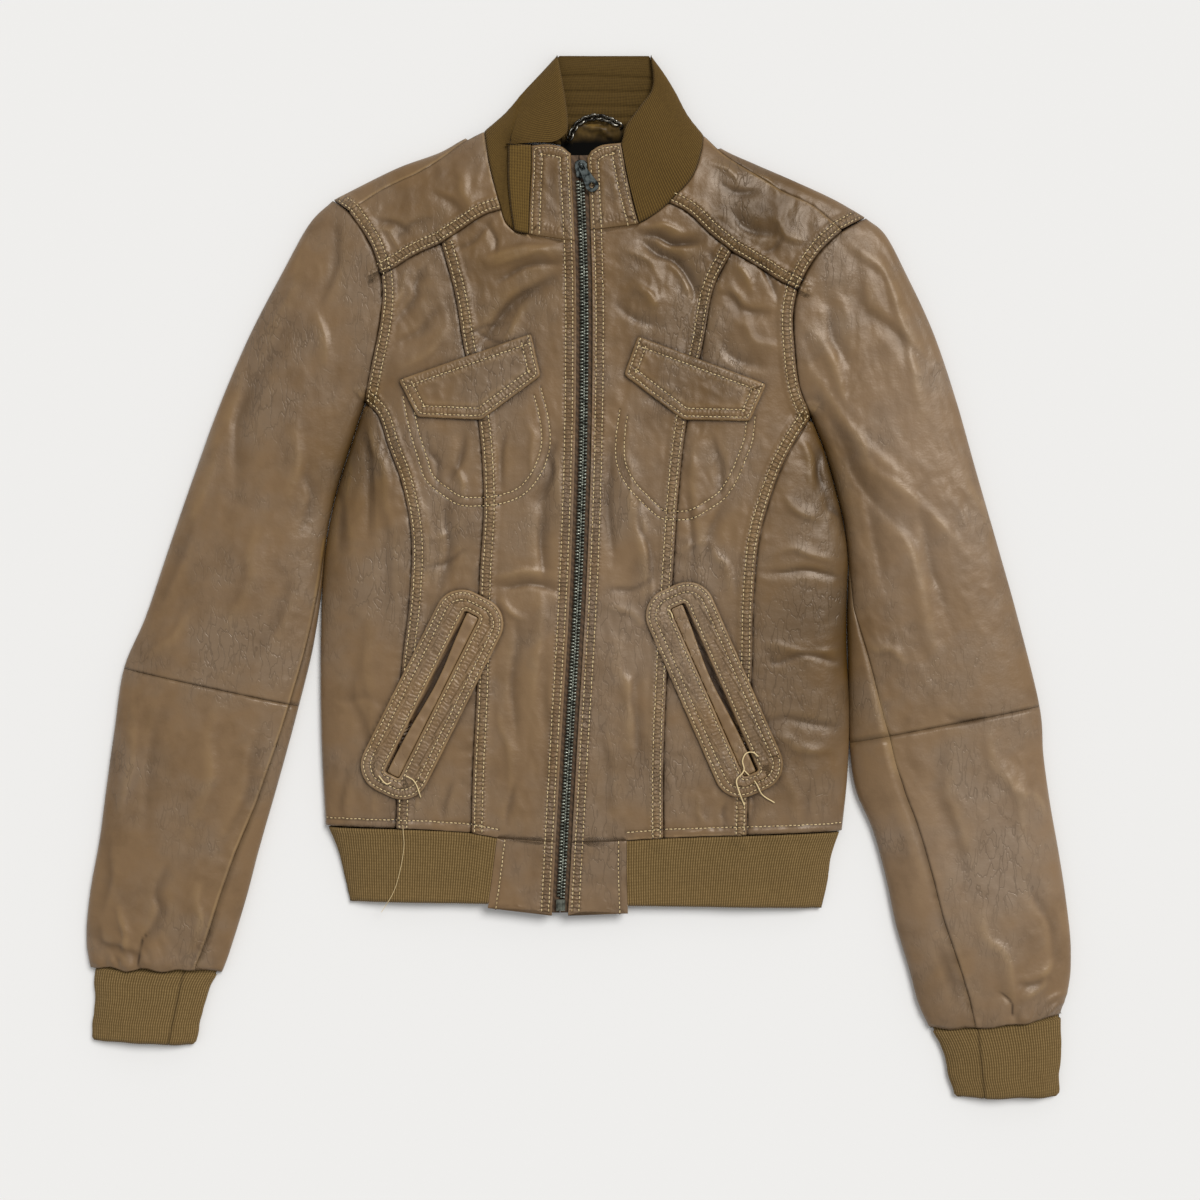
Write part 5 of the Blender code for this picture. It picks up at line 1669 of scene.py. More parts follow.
@dataclass(frozen=True)
class RibKnit(Finish):
    """Rib-knitted wool blend: matt and soft, with painted shade in the valleys between its ribs.

    The eye sees upright ribs of small V-shaped loops and a faint fuzz on their crests.
    """

    crest: str = "#967c51"
    # The valley colour is painted shade between the ribs.
    valley: str = "#5f4b2b"
    # How deep its valleys are, in millimetres.
    depth: float = 0.42
    # A loop is about 1 mm tall; it is drawn at 2.2 mm so that it shows.
    loop: float = 0.0022
    sheen: float = 0.06
    roughness: float = 0.9

    def shade(self, tree: bpy.types.NodeTree, shader: bpy.types.Node) -> None:
        """Loops in a V along each rib, with painted shade toward the valleys.

        Args:
            tree: the material's nodes.
            shader: its shader.
        """
        at = add(tree, "TexCoord").outputs["Object"]
        valley = add(tree, "Attribute", attribute_name="valley").outputs["Fac"]
        along = add(tree, "Attribute", attribute_name="along").outputs["Fac"]
        deep = add(tree, "Attribute", attribute_name="deep").outputs["Fac"]
        turns = add(tree, "Math", operation="MULTIPLY", i0=along, i1=2 * math.pi / self.loop)
        sum_of = {"operation": "MULTIPLY_ADD"}
        slant = add(tree, "Math", **sum_of, i0=valley, i1=2.4, i2=turns)
        wave = add(tree, "Math", operation="SINE", i0=slant)
        fuzz = add(tree, "TexNoise", Vector=at, Scale=420.0, Detail=3.0)
        loops = add(tree, "Math", **sum_of, i0=wave, i1=0.12, i2=valley)
        mixed = add(tree, "Math", **sum_of, i0=fuzz, i1=0.5, i2=loops)
        colour = add(tree, "ValToRGB", Fac=mixed, stops=[(0.12, self.crest), (0.95, self.valley)])
        # Painted shade inside the collar's back and along sewn seams.
        inks = {"Color1": colour, "Color2": "#4a4036"}
        shade = add(tree, "MixRGB", blend_type="MULTIPLY", Fac=deep, **inks)
        relief = add(tree, "Bump", Height=mixed, Strength=0.5, Distance=-0.0006)
        soft = {"Sheen_Weight": self.sheen, "Specular_IOR_Level": 0.12}
        add(tree, shader, Base_Color=shade, Normal=relief, Roughness=self.roughness, **soft)


@dataclass(frozen=True)
class Satin(Finish):
    """Polyester satin lining, woven: smooth, with a soft streak of light along each fold."""

    # Its colour wanders between these two, a painted sheen and shade of small folds.
    light: str = "#7a5f30"
    dark: str = "#33260f"

    def shade(self, tree: bpy.types.NodeTree, shader: bpy.types.Node) -> None:
        """Olive brown with painted sheen, and painted shade to near black where it goes down
        inside.

        Args:
            tree: the material's nodes.
            shader: its shader.
        """
        at = add(tree, "TexCoord").outputs["Object"]
        deep = add(tree, "Attribute", attribute_name="deep").outputs["Fac"]
        broad = add(tree, "TexNoise", Vector=at, Scale=90.0, Detail=2.0)
        colour = add(tree, "ValToRGB", Fac=broad, stops=[(0.35, self.dark), (0.62, self.light)])
        # Painted shade, near black where the lining goes down inside.
        shade = add(tree, "MixRGB", Fac=deep, Color1=colour, Color2="#060504")
        rough = add(tree, "MapRange", i0=deep, i1=0.0, i2=1.0, i3=0.4, i4=1.0)
        add(tree, shader, Base_Color=shade, Roughness=rough, Specular_IOR_Level=0.16)


@dataclass(frozen=True)
class Woven(Finish):
    """Cotton zip tape, woven in a herringbone: matt and dark, with a reddish brown cast."""

    base: str = "#5d4732"
    weft: str = "#4a3827"
    # A yarn is about 0.5 mm; it is drawn at 1.6 mm so that it shows.
    yarn: float = 0.0016

    def shade(self, tree: bpy.types.NodeTree, shader: bpy.types.Node) -> None:
        """Slanting yarns in two tones.

        Args:
            tree: the material's nodes.
            shader: its shader.
        """
        at = add(tree, "TexCoord").outputs["Object"]
        look = {"Scale": 0.16 / self.yarn, "Distortion": 1.0, "Detail": 1.0}
        twill = add(tree, "TexWave", Vector=at, bands_direction="DIAGONAL", **look)
        slants = twill.outputs["Fac"]
        colour = add(tree, "ValToRGB", Fac=slants, stops=[(0.2, self.weft), (0.8, self.base)])
        relief = add(tree, "Bump", Height=slants, Strength=0.4, Distance=0.0003)
        add(tree, shader, Base_Color=colour, Normal=relief, Roughness=0.85)


@dataclass(frozen=True)
class Metal(Finish):
    """Cast or stamped metal whose plating has worn: bright edges on a dull, uneven skin."""

    bright: str = "#8d8576"
    dull: str = "#3c3830"
    roughness: float = 0.36

    def shade(self, tree: bpy.types.NodeTree, shader: bpy.types.Node) -> None:
        """Patches of tarnish a few millimetres across.

        Args:
            tree: the material's nodes.
            shader: its shader.
        """
        at = add(tree, "TexCoord").outputs["Object"]
        patches = add(tree, "TexNoise", Vector=at, Scale=260.0, Detail=4.0)
        colour = add(tree, "ValToRGB", Fac=patches, stops=[(0.38, self.dull), (0.62, self.bright)])
        rough, smoother = self.roughness + 0.18, self.roughness - 0.06
        tarnish = add(tree, "MapRange", i0=patches, i1=0.3, i2=0.7, i3=rough, i4=smoother)
        add(tree, shader, Base_Color=colour, Roughness=tarnish, Metallic=1.0)


@dataclass(frozen=True)
class Thread(Finish):
    """Spun polyester sewing thread: matt, straw coloured, a little soiled."""

    clean: str = "#e0c896"
    soiled: str = "#ab8c5c"
    # The colour of the needle holes: painted shade.
    hole: str = "#241810"

    def shade(self, tree: bpy.types.NodeTree, shader: bpy.types.Node) -> None:
        """Each stitch has a tint of its own, and its needle hole is painted shade.

        Args:
            tree: the material's nodes.
            shader: its shader.
        """
        tint = add(tree, "Attribute", attribute_name="tint").outputs["Fac"]
        colour = add(tree, "ValToRGB", Fac=tint, stops=[(0.0, self.soiled), (0.75, self.clean)])
        hole = add(tree, "Attribute", attribute_name="hole").outputs["Fac"]
        shown = add(tree, "MixRGB", Fac=hole, Color1=colour, Color2=self.hole)
        add(tree, shader, Base_Color=shown, Roughness=0.72, Sheen_Weight=0.1)


@dataclass(frozen=True)
class Paper(Finish):
    """Matt seamless paper under the garment, with nothing on it to catch the eye."""

    shade_of: str = "#efeeec"

    def shade(self, tree: bpy.types.NodeTree, shader: bpy.types.Node) -> None:
        """One plain colour."""
        add(tree, shader, Base_Color=self.shade_of, Roughness=0.95, Specular_IOR_Level=0.1)


LAMBSKIN = Leather("glazed_lambskin", "leather", "leather")
PALE_LAMBSKIN = Leather(
    "glazed_lambskin_pocket_lip",
    "leather",
    "leather",
    base="#80664a",
    cool="#836b50",
    dark="#694f31",
)
RIB_KNIT = RibKnit("rib_knitted_wool", "rib_knit", "knit")
COLLAR_KNIT = RibKnit(
    "fine_rib_knitted_wool", "rib_knit", "knit", crest="#735a2c", valley="#503c1d", depth=0.34
)
SATIN = Satin("polyester_satin", "lining", "satin")
ZIP_TAPE = Woven("herringbone_cotton_tape", "zip_tape", "woven")
GUNMETAL = Metal(
    "gunmetal_plated_brass_teeth", "dark_metal", bright="#888b7f", dull="#50524a", roughness=0.34
)
DARK_STEEL = Metal(
    "blackened_steel_chain", "dark_metal", bright="#8f8b80", dull="#2e2b27", roughness=0.24
)
AGED_BRASS = Metal(
    "antiqued_nickel_casting", "aged_brass", bright="#727977", dull="#1f2323", roughness=0.25
)
THREAD = Thread("spun_polyester_thread", "thread", "thread")
PAPER = Paper("matt_paper", "floor")


class Finishes:
    """The materials made so far, one for each finish."""

    def __init__(self) -> None:
        """Starts with none."""
        self.made: dict[Finish, bpy.types.Material] = {}

    def of(self, finish: Finish) -> bpy.types.Material:
        """The finish's material, made the first time that it is asked for."""
        if finish not in self.made:
            self.made[finish] = finish.make()
        return self.made[finish]


# ---------------------------------------------------------------- meshes


def mesh_piece(
    name: str,
    points: Array,
    faces: Sequence[Array],
    shades: dict[str, Array] | None = None,
    place: Matrix | None = None,
) -> bpy.types.Object:
    """Makes a smooth-shaded mesh object.

    Args:
        name: the object's name.
        points: its points in the pattern's millimetres, or in its own with a place.
        faces: arrays of faces, a row of point numbers for each.
        shades: values for its points, which its finish reads.
        place: its own axes, for a piece that isn't drawn in the pattern.

    Returns:
        The object, linked to the scene.
    """
    mesh = bpy.data.meshes.new(name)
    origin = (CENTRE_X, CENTRE_Y, 0) if place is None else (0, 0, 0)
    metres = (np.asarray(points, float) - origin) * MM
    mesh.vertices.add(len(metres))
    mesh.vertices.foreach_set("co", metres.astype(np.float32).ravel())
    corners = np.concatenate([np.asarray(group).ravel() for group in faces])
    counts = np.concatenate([np.full(len(group), np.shape(group)[1]) for group in faces])
    mesh.loops.add(len(corners))
    mesh.loops.foreach_set("vertex_index", corners.astype(np.int32))
    mesh.polygons.add(len(counts))
    starts = np.concatenate([[0], np.cumsum(counts)[:-1]])
    mesh.polygons.foreach_set("loop_start", starts.astype(np.int32))
    mesh.polygons.foreach_set("use_smooth", np.ones(len(counts), bool))
    mesh.update(calc_edges=True)
    mesh.validate()
    for key, values in (shades or {}).items():
        layer = mesh.attributes.new(key, "FLOAT", "POINT")
        layer.data.foreach_set("value", np.asarray(values, np.float32))
    thing = bpy.data.objects.new(name, mesh)
    bpy.context.scene.collection.objects.link(thing)
    if place is not None:
        thing.matrix_world = place
    return thing


def open_edges(faces: Array) -> Array:
    """The directed edges of a sheet of faces that only one face uses.

    Args:
        faces: the faces, all with as many corners.

    Returns:
        The two ends of each edge.
    """
    size = int(faces.max()) + 1
    ends = np.stack([faces, np.roll(faces, -1, axis=1)], axis=2).reshape(-1, 2)
    forward = ends[:, 0].astype(np.int64) * size + ends[:, 1]
    backward = ends[:, 1].astype(np.int64) * size + ends[:, 0]
    return ends[~np.isin(forward, backward)]


def with_rim(points: Array, faces: Array, inward: Array) -> tuple[Array, list[Array]]:
    """Turns the open edge of a sheet in, so that its thickness shows.

    Args:
        points: the sheet's points.
        faces: its faces, all with as many corners.
        inward: for each point, the way in, as long as the sheet is thick.

    Returns:
        All the points, and the faces of the sheet and of its rim.
    """
    ends = open_edges(faces)
    used, index = np.unique(ends, return_inverse=True)
    index = index.reshape(-1, 2) + len(points)
    rim = np.column_stack([ends[:, 1], ends[:, 0], index[:, 0], index[:, 1]])
    turned = points[used] + inward[used]
    turned[:, 2] = np.maximum(turned[:, 2], np.minimum(points[used, 2], 0.05))
    return np.concatenate([points, turned]), [faces, rim]


def rim_shades(shades: dict[str, Array], faces: Array) -> dict[str, Array]:
    """The shades of a sheet's points, with those of its rim after them."""
    used = np.unique(open_edges(faces))
    return {key: np.concatenate([values, values[used]]) for key, values in shades.items()}


def hex_grid(loop: Array, step: float) -> Array:
    """A grid of points over the box round a loop, each row set off by half a step.

    Args:
        loop: the closed loop.
        step: the spacing of the points.

    Returns:
        Rows of x and y.
    """
    low, high = loop.min(axis=0), loop.max(axis=0)
    rise = step * math.sqrt(3) / 2
    columns = np.arange(math.floor(low[0] / step), math.ceil(high[0] / step) + 1)
    rows = np.arange(math.floor(low[1] / rise), math.ceil(high[1] / rise) + 1)
    x = (columns[None, :] + (rows[:, None] % 2) / 2) * step
    y = np.broadcast_to(rows[:, None] * rise, x.shape)
    return np.stack([x.ravel(), y.ravel()], 1)


def between(points: Array, loop: Array, holes: Sequence[Array]) -> Array:
    """Whether each point is inside a loop and in none of its holes."""
    return inside(points, loop) & ~np.any([inside(points, hole) for hole in holes], axis=0)


def ring_edges(rings: Sequence[Array]) -> list[tuple[int, int]]:
    """The edges of loops whose points are numbered one after the other.

    Args:
        rings: the loops.

    Returns:
        The two ends of each edge.
    """
    edges, start = [], 0
    for ring in rings:
        count = len(ring)
        edges += [(start + k, start + (k + 1) % count) for k in range(count)]
        start += count
    return edges


def facing_up(points: Array, triangles: Array) -> Array:
    """Triangles over points in x and y, each turned to face up.

    Args:
        points: rows of x and y.
        triangles: rows of three point numbers.

    Returns:
        The triangles.
    """
    first, second = (points[triangles[:, k]] - points[triangles[:, 0]] for k in (1, 2))
    turned = first[:, 0] * second[:, 1] - first[:, 1] * second[:, 0] < 0
    triangles[turned] = triangles[turned][:, ::-1]
    return triangles


def filled(
    loop: Array, holes: Sequence[Array], step: float, extra: Array | None = None
) -> tuple[Array, Array]:
    """Fills a loop with triangles, closer together beside its edge.

    Args:
        loop: the closed outline.
        holes: closed outlines that are left open.
        step: the spacing of the points inside.
        extra: more points to use where they fall inside.

    Returns:
        The points and the triangles.
    """
    rings = [loop, *holes]
    borders = [closed(ring) for ring in rings]
    offered = [] if extra is None else [(extra, 0.5)]
    for reach in (0.5, 1.2, 2.3):
        sign = [reach] + [-reach] * len(holes)
        offered += [(inset(ring, off), reach * 0.85) for ring, off in zip(rings, sign)]
    offered.append((hex_grid(loop, step), 3.0))
    kept, taken = [], set()
    for group, least in offered:
        box = np.all((group > loop.min(axis=0)) & (group < loop.max(axis=0)), axis=1)
        group = group[box]
        if not len(group):
            continue
        group = group[between(group, loop, holes)]
        group = group[distance_to(group, borders) >= least]
        for point in group:
            cell = (int(point[0] // 0.75), int(point[1] // 0.75))
            if cell not in taken:
                taken.add(cell)
                kept.append(point)
    points = np.concatenate([*rings, np.array(kept).reshape(-1, 2)])
    result = delaunay_2d_cdt([Vector(p) for p in points], ring_edges(rings), [], 0, 1e-5)
    places = np.array([tuple(p) for p in result[0]])
    triangles = np.array([tuple(face) for face in result[2]])
    triangles = triangles[between(places[triangles].mean(axis=1), loop, holes)]
    used, index = np.unique(facing_up(places, triangles), return_inverse=True)
    return places[used], index.reshape(-1, 3)


def grid_faces(rows: int, columns: int, ring: bool = False) -> Array:
    """The four-cornered faces of a grid of points, closed across its rows for a ring.

    Args:
        rows: how many rows of points.
        columns: how many points in a row.
        ring: whether its rows close.

    Returns:
        Rows of four point numbers.
    """
    r, c = np.meshgrid(np.arange(rows - 1), np.arange(columns if ring else columns - 1))
    r, c = r.ravel(), c.ravel()
    d = (c + 1) % columns
    corners = (r * columns + c, (r + 1) * columns + c, (r + 1) * columns + d, r * columns + d)
    return np.stack(corners, 1)


def grid_normals(points: Array, ring: bool = False) -> Array:
    """Unit normals of a grid of points, out of the cloth where its rows run clockwise.

    Args:
        points: the points by row and column.
        ring: whether its rows close.

    Returns:
        A normal for each point.
    """
    if ring:
        across = np.roll(points, -1, axis=1) - np.roll(points, 1, axis=1)
    else:
        across = np.gradient(points, axis=1)
    down = np.gradient(points, axis=0)
    normals = np.cross(down, across)
    return normals / np.maximum(np.linalg.norm(normals, axis=2), 1e-9)[:, :, None]


def through_rows(rows: Array, levels: Array) -> Array:
    """Smooth values between evenly numbered rows, at each level for each column.

    Args:
        rows: the stations, by row and column.
        levels: the level of each sample, by row and column.

    Returns:
        The sampled points.
    """
    rows = np.asarray(rows, float)
    slopes = np.gradient(rows, axis=0)
    base = np.clip(np.floor(levels).astype(int), 0, len(rows) - 2)
    pick = np.arange(rows.shape[1])[None, :]
    pair = slopes[base, pick], slopes[base + 1, pick]
    return blend(rows[base, pick], rows[base + 1, pick], pair, (levels - base)[..., None])


def shares_of(angles: Array) -> Array:
    """How far across a flattened tube each angle is, from 0 on its first fold to 1."""
    return (1 - np.cos(angles)) / 2


def angle_of(share: Array) -> Array:
    """The angle on the upper face of a flattened tube at a share of its width."""
    return np.arccos(1 - 2 * np.clip(share, 0, 1))


def round_under(away: Array) -> Array:
    """Height of the lower face at a distance in from a fold."""
    near = np.clip(FOLD_HEIGHT - away, 0, FOLD_HEIGHT)
    return FOLD_HEIGHT - np.sqrt(FOLD_HEIGHT**2 - near**2)


def coons(bottom: Array, top: Array, start: Array, end: Array, columns: int, rows: int) -> Array:
    """A patch between four lines.

    Args:
        bottom: the line that the patch's first row follows.
        top: the line that its last row follows.
        start: the line of its first column, from bottom to top.
        end: the line of its last column, from bottom to top.
        columns: how many columns it has.
        rows: how many rows it has.

    Returns:
        The patch's points, by row and column.
    """
    u, v = np.linspace(0, 1, columns), np.linspace(0, 1, rows)
    low, high = at_shares(bottom, u)[None], at_shares(top, u)[None]
    left, right = at_shares(start, v)[:, None], at_shares(end, v)[:, None]
    u, v = u[None, :, None], v[:, None, None]
    ruled = (1 - v) * low + v * high + (1 - u) * left + u * right
    corners = (1 - u) * ((1 - v) * low[:, :1] + v * high[:, :1])
    corners = corners + u * ((1 - v) * low[:, -1:] + v * high[:, -1:])
    return ruled - corners


def cut_size(points: Array, area: float) -> tuple[tuple[float, float], float]:
    """The size of the flat cut that a loop or a sheet of points was made from.

    Args:
        points: rows of x and y.
        area: the cut's area in square millimetres.

    Returns:
        Its width and length, and its area, in metres.
    """
    turns = np.radians(np.arange(0.0, 90.0))
    ways = np.stack([np.cos(turns), np.sin(turns)])
    across = np.ptp(points @ ways, axis=0) * MM
    along = np.ptp(points @ np.stack([-ways[1], ways[0]]), axis=0) * MM
    best = np.argmin(across * along)
    sides = sorted((float(across[best]), float(along[best])))
    return (sides[0], sides[1]), min(area * MM**2, sides[0] * sides[1])


def lofted(rings: Array) -> list[Array]:
    """The faces of a closed solid through rings of points, given as rings by points by xyz.

    Args:
        rings: the rings, from the first end to the last.

    Returns:
        The walls and both ends.
    """
    count, sides = rings.shape[:2]
    ring = np.arange(sides)[None]
    return [
        grid_faces(count, sides, True)[:, ::-1],
        ring[:, ::-1],
        ring + (count - 1) * sides,
    ]


def tube(line: Array, radius: float, sides: int = 8, ring: bool = False) -> tuple[Array, list]:
    """A round wire along a line.

    Args:
        line: its points, rows of x, y and z.
        radius: of the wire.
        sides: how many sides it has.
        ring: whether it closes on itself.

    Returns:
        Its points and faces.
    """
    if ring:
        run = np.roll(line, -1, axis=0) - np.roll(line, 1, axis=0)
    else:
        run = np.gradient(line, axis=0)
    run = unit(run)
    guide = np.array([0.0, 0.0, 1.0]) if abs(run[0, 2]) < 0.9 else np.array([1.0, 0.0, 0.0])
    rings = []
    for along, middle in zip(run, line):
        guide = guide - (guide @ along) * along
        guide /= np.linalg.norm(guide)
        turns = np.linspace(0, 2 * math.pi, sides + 1)[:-1, None]
        spoke = np.cos(turns) * guide + np.sin(turns) * np.cross(along, guide)
        rings.append(middle + radius * spoke)
    rings = np.stack(rings)
    points = rings.reshape(-1, 3)
    if not ring:
        return points, lofted(rings)
    faces = grid_faces(len(rings), sides, True)[:, ::-1]
    first, last = np.arange(sides), np.arange(sides) + (len(rings) - 1) * sides
    seam_faces = np.stack([last, np.roll(last, -1), np.roll(first, -1), first], 1)
    return points, [faces, seam_faces]


def copies(
    points: Array, faces: Sequence[Array], places: Array, axes: Array
) -> tuple[Array, list[Array]]:
    """One mesh of many copies of a small one.

    Args:
        points: the small one's points.
        faces: its groups of faces.
        places: where each copy's origin goes.
        axes: each copy's own x, y and z, as the rows of a matrix.

    Returns:
        All the points and groups of faces.
    """
    moved = places[:, None] + np.einsum("pk,nkj->npj", points, axes)
    steps = np.arange(len(places)) * len(points)
    grown = [(g[None] + steps[:, None, None]).reshape(-1, g.shape[1]) for g in faces]
    return moved.reshape(-1, 3), grown


def plate(
    loop: Array, thickness: float, bevel: float, holes: Sequence[Array] = ()
) -> tuple[Array, list[Array]]:
    """A flat plate with bevelled edges, lying in x and y about z = 0.

    Args:
        loop: its outline.
        thickness: from its lower to its upper face.
        bevel: the width of its bevels.
        holes: outlines of the openings through it.

    Returns:
        Its points and faces.
    """
    rings = [loop, *holes]
    small = [inset(ring, bevel if k == 0 else -bevel) for k, ring in enumerate(rings)]
    flat = np.concatenate(small)
    cap = np.array(delaunay_2d_cdt([Vector(p) for p in flat], ring_edges(rings), [], 0, 1e-5)[2])
    cap = facing_up(flat, cap[between(flat[cap].mean(axis=1), small[0], small[1:])])
    wide = np.concatenate(rings)
    half = thickness / 2
    layers = ((flat, half), (wide, half - bevel), (wide, bevel - half), (flat, -half))
    points = np.concatenate([np.column_stack([p, np.full(len(p), z)]) for p, z in layers])
    count = len(flat)
    border = open_edges(cap)
    walls = []
    for layer in range(3):
        near, far = border + layer * count, border + (layer + 1) * count
        walls.append(np.column_stack([near[:, 1], near[:, 0], far[:, 0], far[:, 1]]))
    return points, [cap, cap[:, ::-1] + 3 * count, np.concatenate(walls)]


def joined(parts: Sequence[tuple[Array, Sequence[Array]]]) -> tuple[Array, list[Array]]:
    """One mesh from several, each a pair of points and groups of faces.

    Args:
        parts: the meshes.

    Returns:
        All the points and groups of faces.
    """
    points, faces, start = [], [], 0
    for part, groups in parts:
        points.append(part)
        faces += [np.asarray(group) + start for group in groups]
        start += len(part)
    return np.concatenate(points), faces


def sheet_area(points: Array, faces: Array) -> float:
    """The area of a sheet's faces, in the points' own units.

    Args:
        points: rows of x and y, or x, y and z.
        faces: the faces, all with as many corners.

    Returns:
        The area.
    """
    area = 0.0
    for k in range(1, faces.shape[1] - 1):
        first, second = (points[faces[:, j]] - points[faces[:, 0]] for j in (k, k + 1))
        area += 0.5 * np.linalg.norm(np.cross(first, second), axis=1).sum()
    return float(area)


def developed(grid: Array, ring: bool = False) -> tuple[tuple[float, float], float]:
    """The size of the flat cut of a sheet that is a grid of points.

    Args:
        grid: its points by row and column, in millimetres.
        ring: whether its rows close on themselves.

    Returns:
        Its width and length, and its area, in metres.
    """
    rows = np.concatenate([grid, grid[:, :1]], axis=1) if ring else grid
    width = np.linalg.norm(np.diff(rows, axis=1), axis=2).sum(axis=1).max() * MM
    length = np.linalg.norm(np.diff(grid, axis=0), axis=2).sum(axis=0).max() * MM
    faces = grid_faces(*grid.shape[:2], ring)
    area = sheet_area(grid.reshape(-1, 3), faces) * MM**2
    return (float(width), float(length)), min(area, float(width * length))


@dataclass
class Maker:
    """What every sub-assembly is made with: the cloth, its finishes and its stitching."""

    cloth: Cloth
    finishes: Finishes
    row_points: Array = field(default_factory=lambda: np.zeros((0, 2)))

    def __post_init__(self) -> None:
        """Lines up the points that carry the rows of stitches."""
        rows = [line for side in Side for line in self.cloth.stitch_lines(side)]
        self.row_points = self.beside_rows(rows)

    def settle(
        self,
        thing: bpy.types.Object,
        finish: Finish,
        nodes: Sequence[str] = (),
        body: str = "jacket",
        flat: tuple | None = None,
        held: str = "laid",
    ) -> bpy.types.Object:
        """Dresses a piece, ties it to its body, hides the nodes that it replaces and logs it.

        Args:
            thing: the piece.
            finish: its finish.
            nodes: the model's nodes that it replaces.
            body: the body that it moves with.
            flat: the cut that cut_size or developed gives, for a sheet of cloth.
            held: how the sheet is held; not used.

        Returns:
            The piece.
        """
        thing.data.materials.append(self.finishes.of(finish))
        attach(thing, body)
        if nodes:
            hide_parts(*nodes)
        said = ""
        if flat is not None:
            (width, length), area = flat
            width = max(width, LEAST_STATED_WIDTH * MM)
            said = f", cut {width * 1000:.0f} x {length * 1000:.0f} mm, {area * 1e4:.0f} cm2"
        triangles = sum(len(face.vertices) - 2 for face in thing.data.polygons)
        LOG.info("%s on %s: %d triangles%s", thing.name, body, triangles, said)
        return thing

    def panel(
        self,
        node: str,
        loop: Array,
        upper: Surface,
        finish: Finish,
        thickness: float = LEATHER,
        holes: Sequence[Array] = (),
        step: float = PANEL_GRID,
        gap: float = SHELL_GAP,
        rows: Sequence[Array] | None = None,
        below: bool = False,
    ) -> bpy.types.Object:
        """A shell over a closed loop, with its edge turned down.

        Args:
            node: the model's node that it replaces.
            loop: the outline, down the middle of its seams.
            upper: the height of its outer face.
            finish: its finish.
            thickness: how far its edge turns down.
            holes: outlines left open in it.
            step: the spacing of its points.
            gap: the width of its seams.
            rows: its own rows of stitches, where it isn't part of the body's leather.
            below: whether its outer face is its lower one.

        Returns:
            The piece.
        """
        loop = inset(loop, gap / 2) if gap else loop
        extra = self.row_points if rows is None else self.beside_rows(rows)
        places, triangles = filled(loop, holes, step, extra)
        points = np.column_stack([places, upper(places)])
        rings = [loop, *holes]
        shades = self.shades(places) if rows is None else self.own_shades(places, rows, rings)
        inward = np.broadcast_to((0.0, 0.0, thickness if below else -thickness), points.shape)
        if below:
            triangles = triangles[:, ::-1]
        everything, faces = with_rim(points, triangles, inward)
        shades = rim_shades(shades, triangles)
        flat = cut_size(places, 1.02 * sheet_area(points, triangles))
        thing = mesh_piece(f"{node}_{finish.made_of}", everything, faces, shades)
        return self.settle(thing, finish, [node], flat=flat)

    @staticmethod
    def beside_rows(rows: Sequence[Array]) -> Array:
        """Points on rows of stitches and just beside them, where the mesh has to be fine.

        Args:
            rows: the rows of stitches.

        Returns:
            Rows of x and y.
        """
        lines = [evenly(line, 1.5) for line in rows]
        offsets = (0.0, -0.8, 0.8)
        found = [beside(line, off) for off in offsets for line in lines]
        return np.concatenate(found) if found else np.zeros((0, 2))

    def shades(self, places: Array) -> dict[str, Array]:
        """The wear and the painted light and shade of the body's cloth at each place.

        Args:
            places: rows of x and y.

        Returns:
            Each shade's values by its name.
        """
        return {
            "worn": np.clip(self.cloth.sample(self.cloth.worn, places), 0, 1),
            "deep": np.clip(self.cloth.sample(self.cloth.deep, places), 0, 1.2),
            "tone": self.cloth.sample(self.cloth.tone, places),
            "rung": self.cloth.sample(self.cloth.rung, places),
            "along": self.cloth.sample(self.cloth.along, places) * MM,
        }

    def own_shades(
        self, places: Array, rows: Sequence[Array], rings: Sequence[Array]
    ) -> dict[str, Array]:
        """The same for a piece on the body: wear on its edges, and painted light and shade by its
        rows.

        Args:
            places: rows of x and y.
            rows: its rows of stitches.
            rings: its outline and its openings.

        Returns:
            Each shade's values by its name.
        """
        borders = [closed(ring) for ring in rings]
        edge_worn = 0.45 * np.exp(-((distance_to(places, borders) / 1.3) ** 2))
        tone = self.cloth.sample(self.cloth.tone, places)
        ladder = {"rung": np.zeros(len(places)), "along": np.zeros(len(places))}
        for ring in borders:
            off, along = self.cloth.beside_line(ring, 14.0, places)
            ladder_at = (np.abs(off) - 5.6) / 3.4
            strength = 0.4 * np.exp(-(ladder_at**4)) if rows else 0.0 * off
            strong = strength > ladder["rung"]
            ladder["rung"] = np.where(strong, strength, ladder["rung"])
            ladder["along"] = np.where(strong, along * MM, ladder["along"])
        if not rows:
            return {"worn": edge_worn, "deep": np.zeros(len(places)), "tone": tone, **ladder}
        near = distance_to(places, rows)
        # Painted highlight beside its rows, and painted shade on them.
        worn = 0.3 * np.exp(-((near - 2.4) ** 2) / 2.2)
        deep = 0.75 * np.exp(-((near / 0.65) ** 2))
        return {"worn": edge_worn + worn, "deep": deep, "tone": tone, **ladder}

    def laid_on(
        self,
        loop: Array,
        rows: Sequence[Array],
        lift: float,
        hole: Array | None = None,
        edge_drop: float = 1.4,
    ) -> Surface:
        """The outer face of a piece that lies on the body's cloth.

        Args:
            loop: its outline.
            rows: its rows of stitches, which draw it down and pucker it.
            lift: how far it stands off the cloth.
            hole: the outline of an opening in it.
            edge_drop: how far its edges round down.

        Returns:
            The height at any points.
        """
        rings = [loop] if hole is None else [loop, hole]
        borders = [closed(ring) for ring in rings]

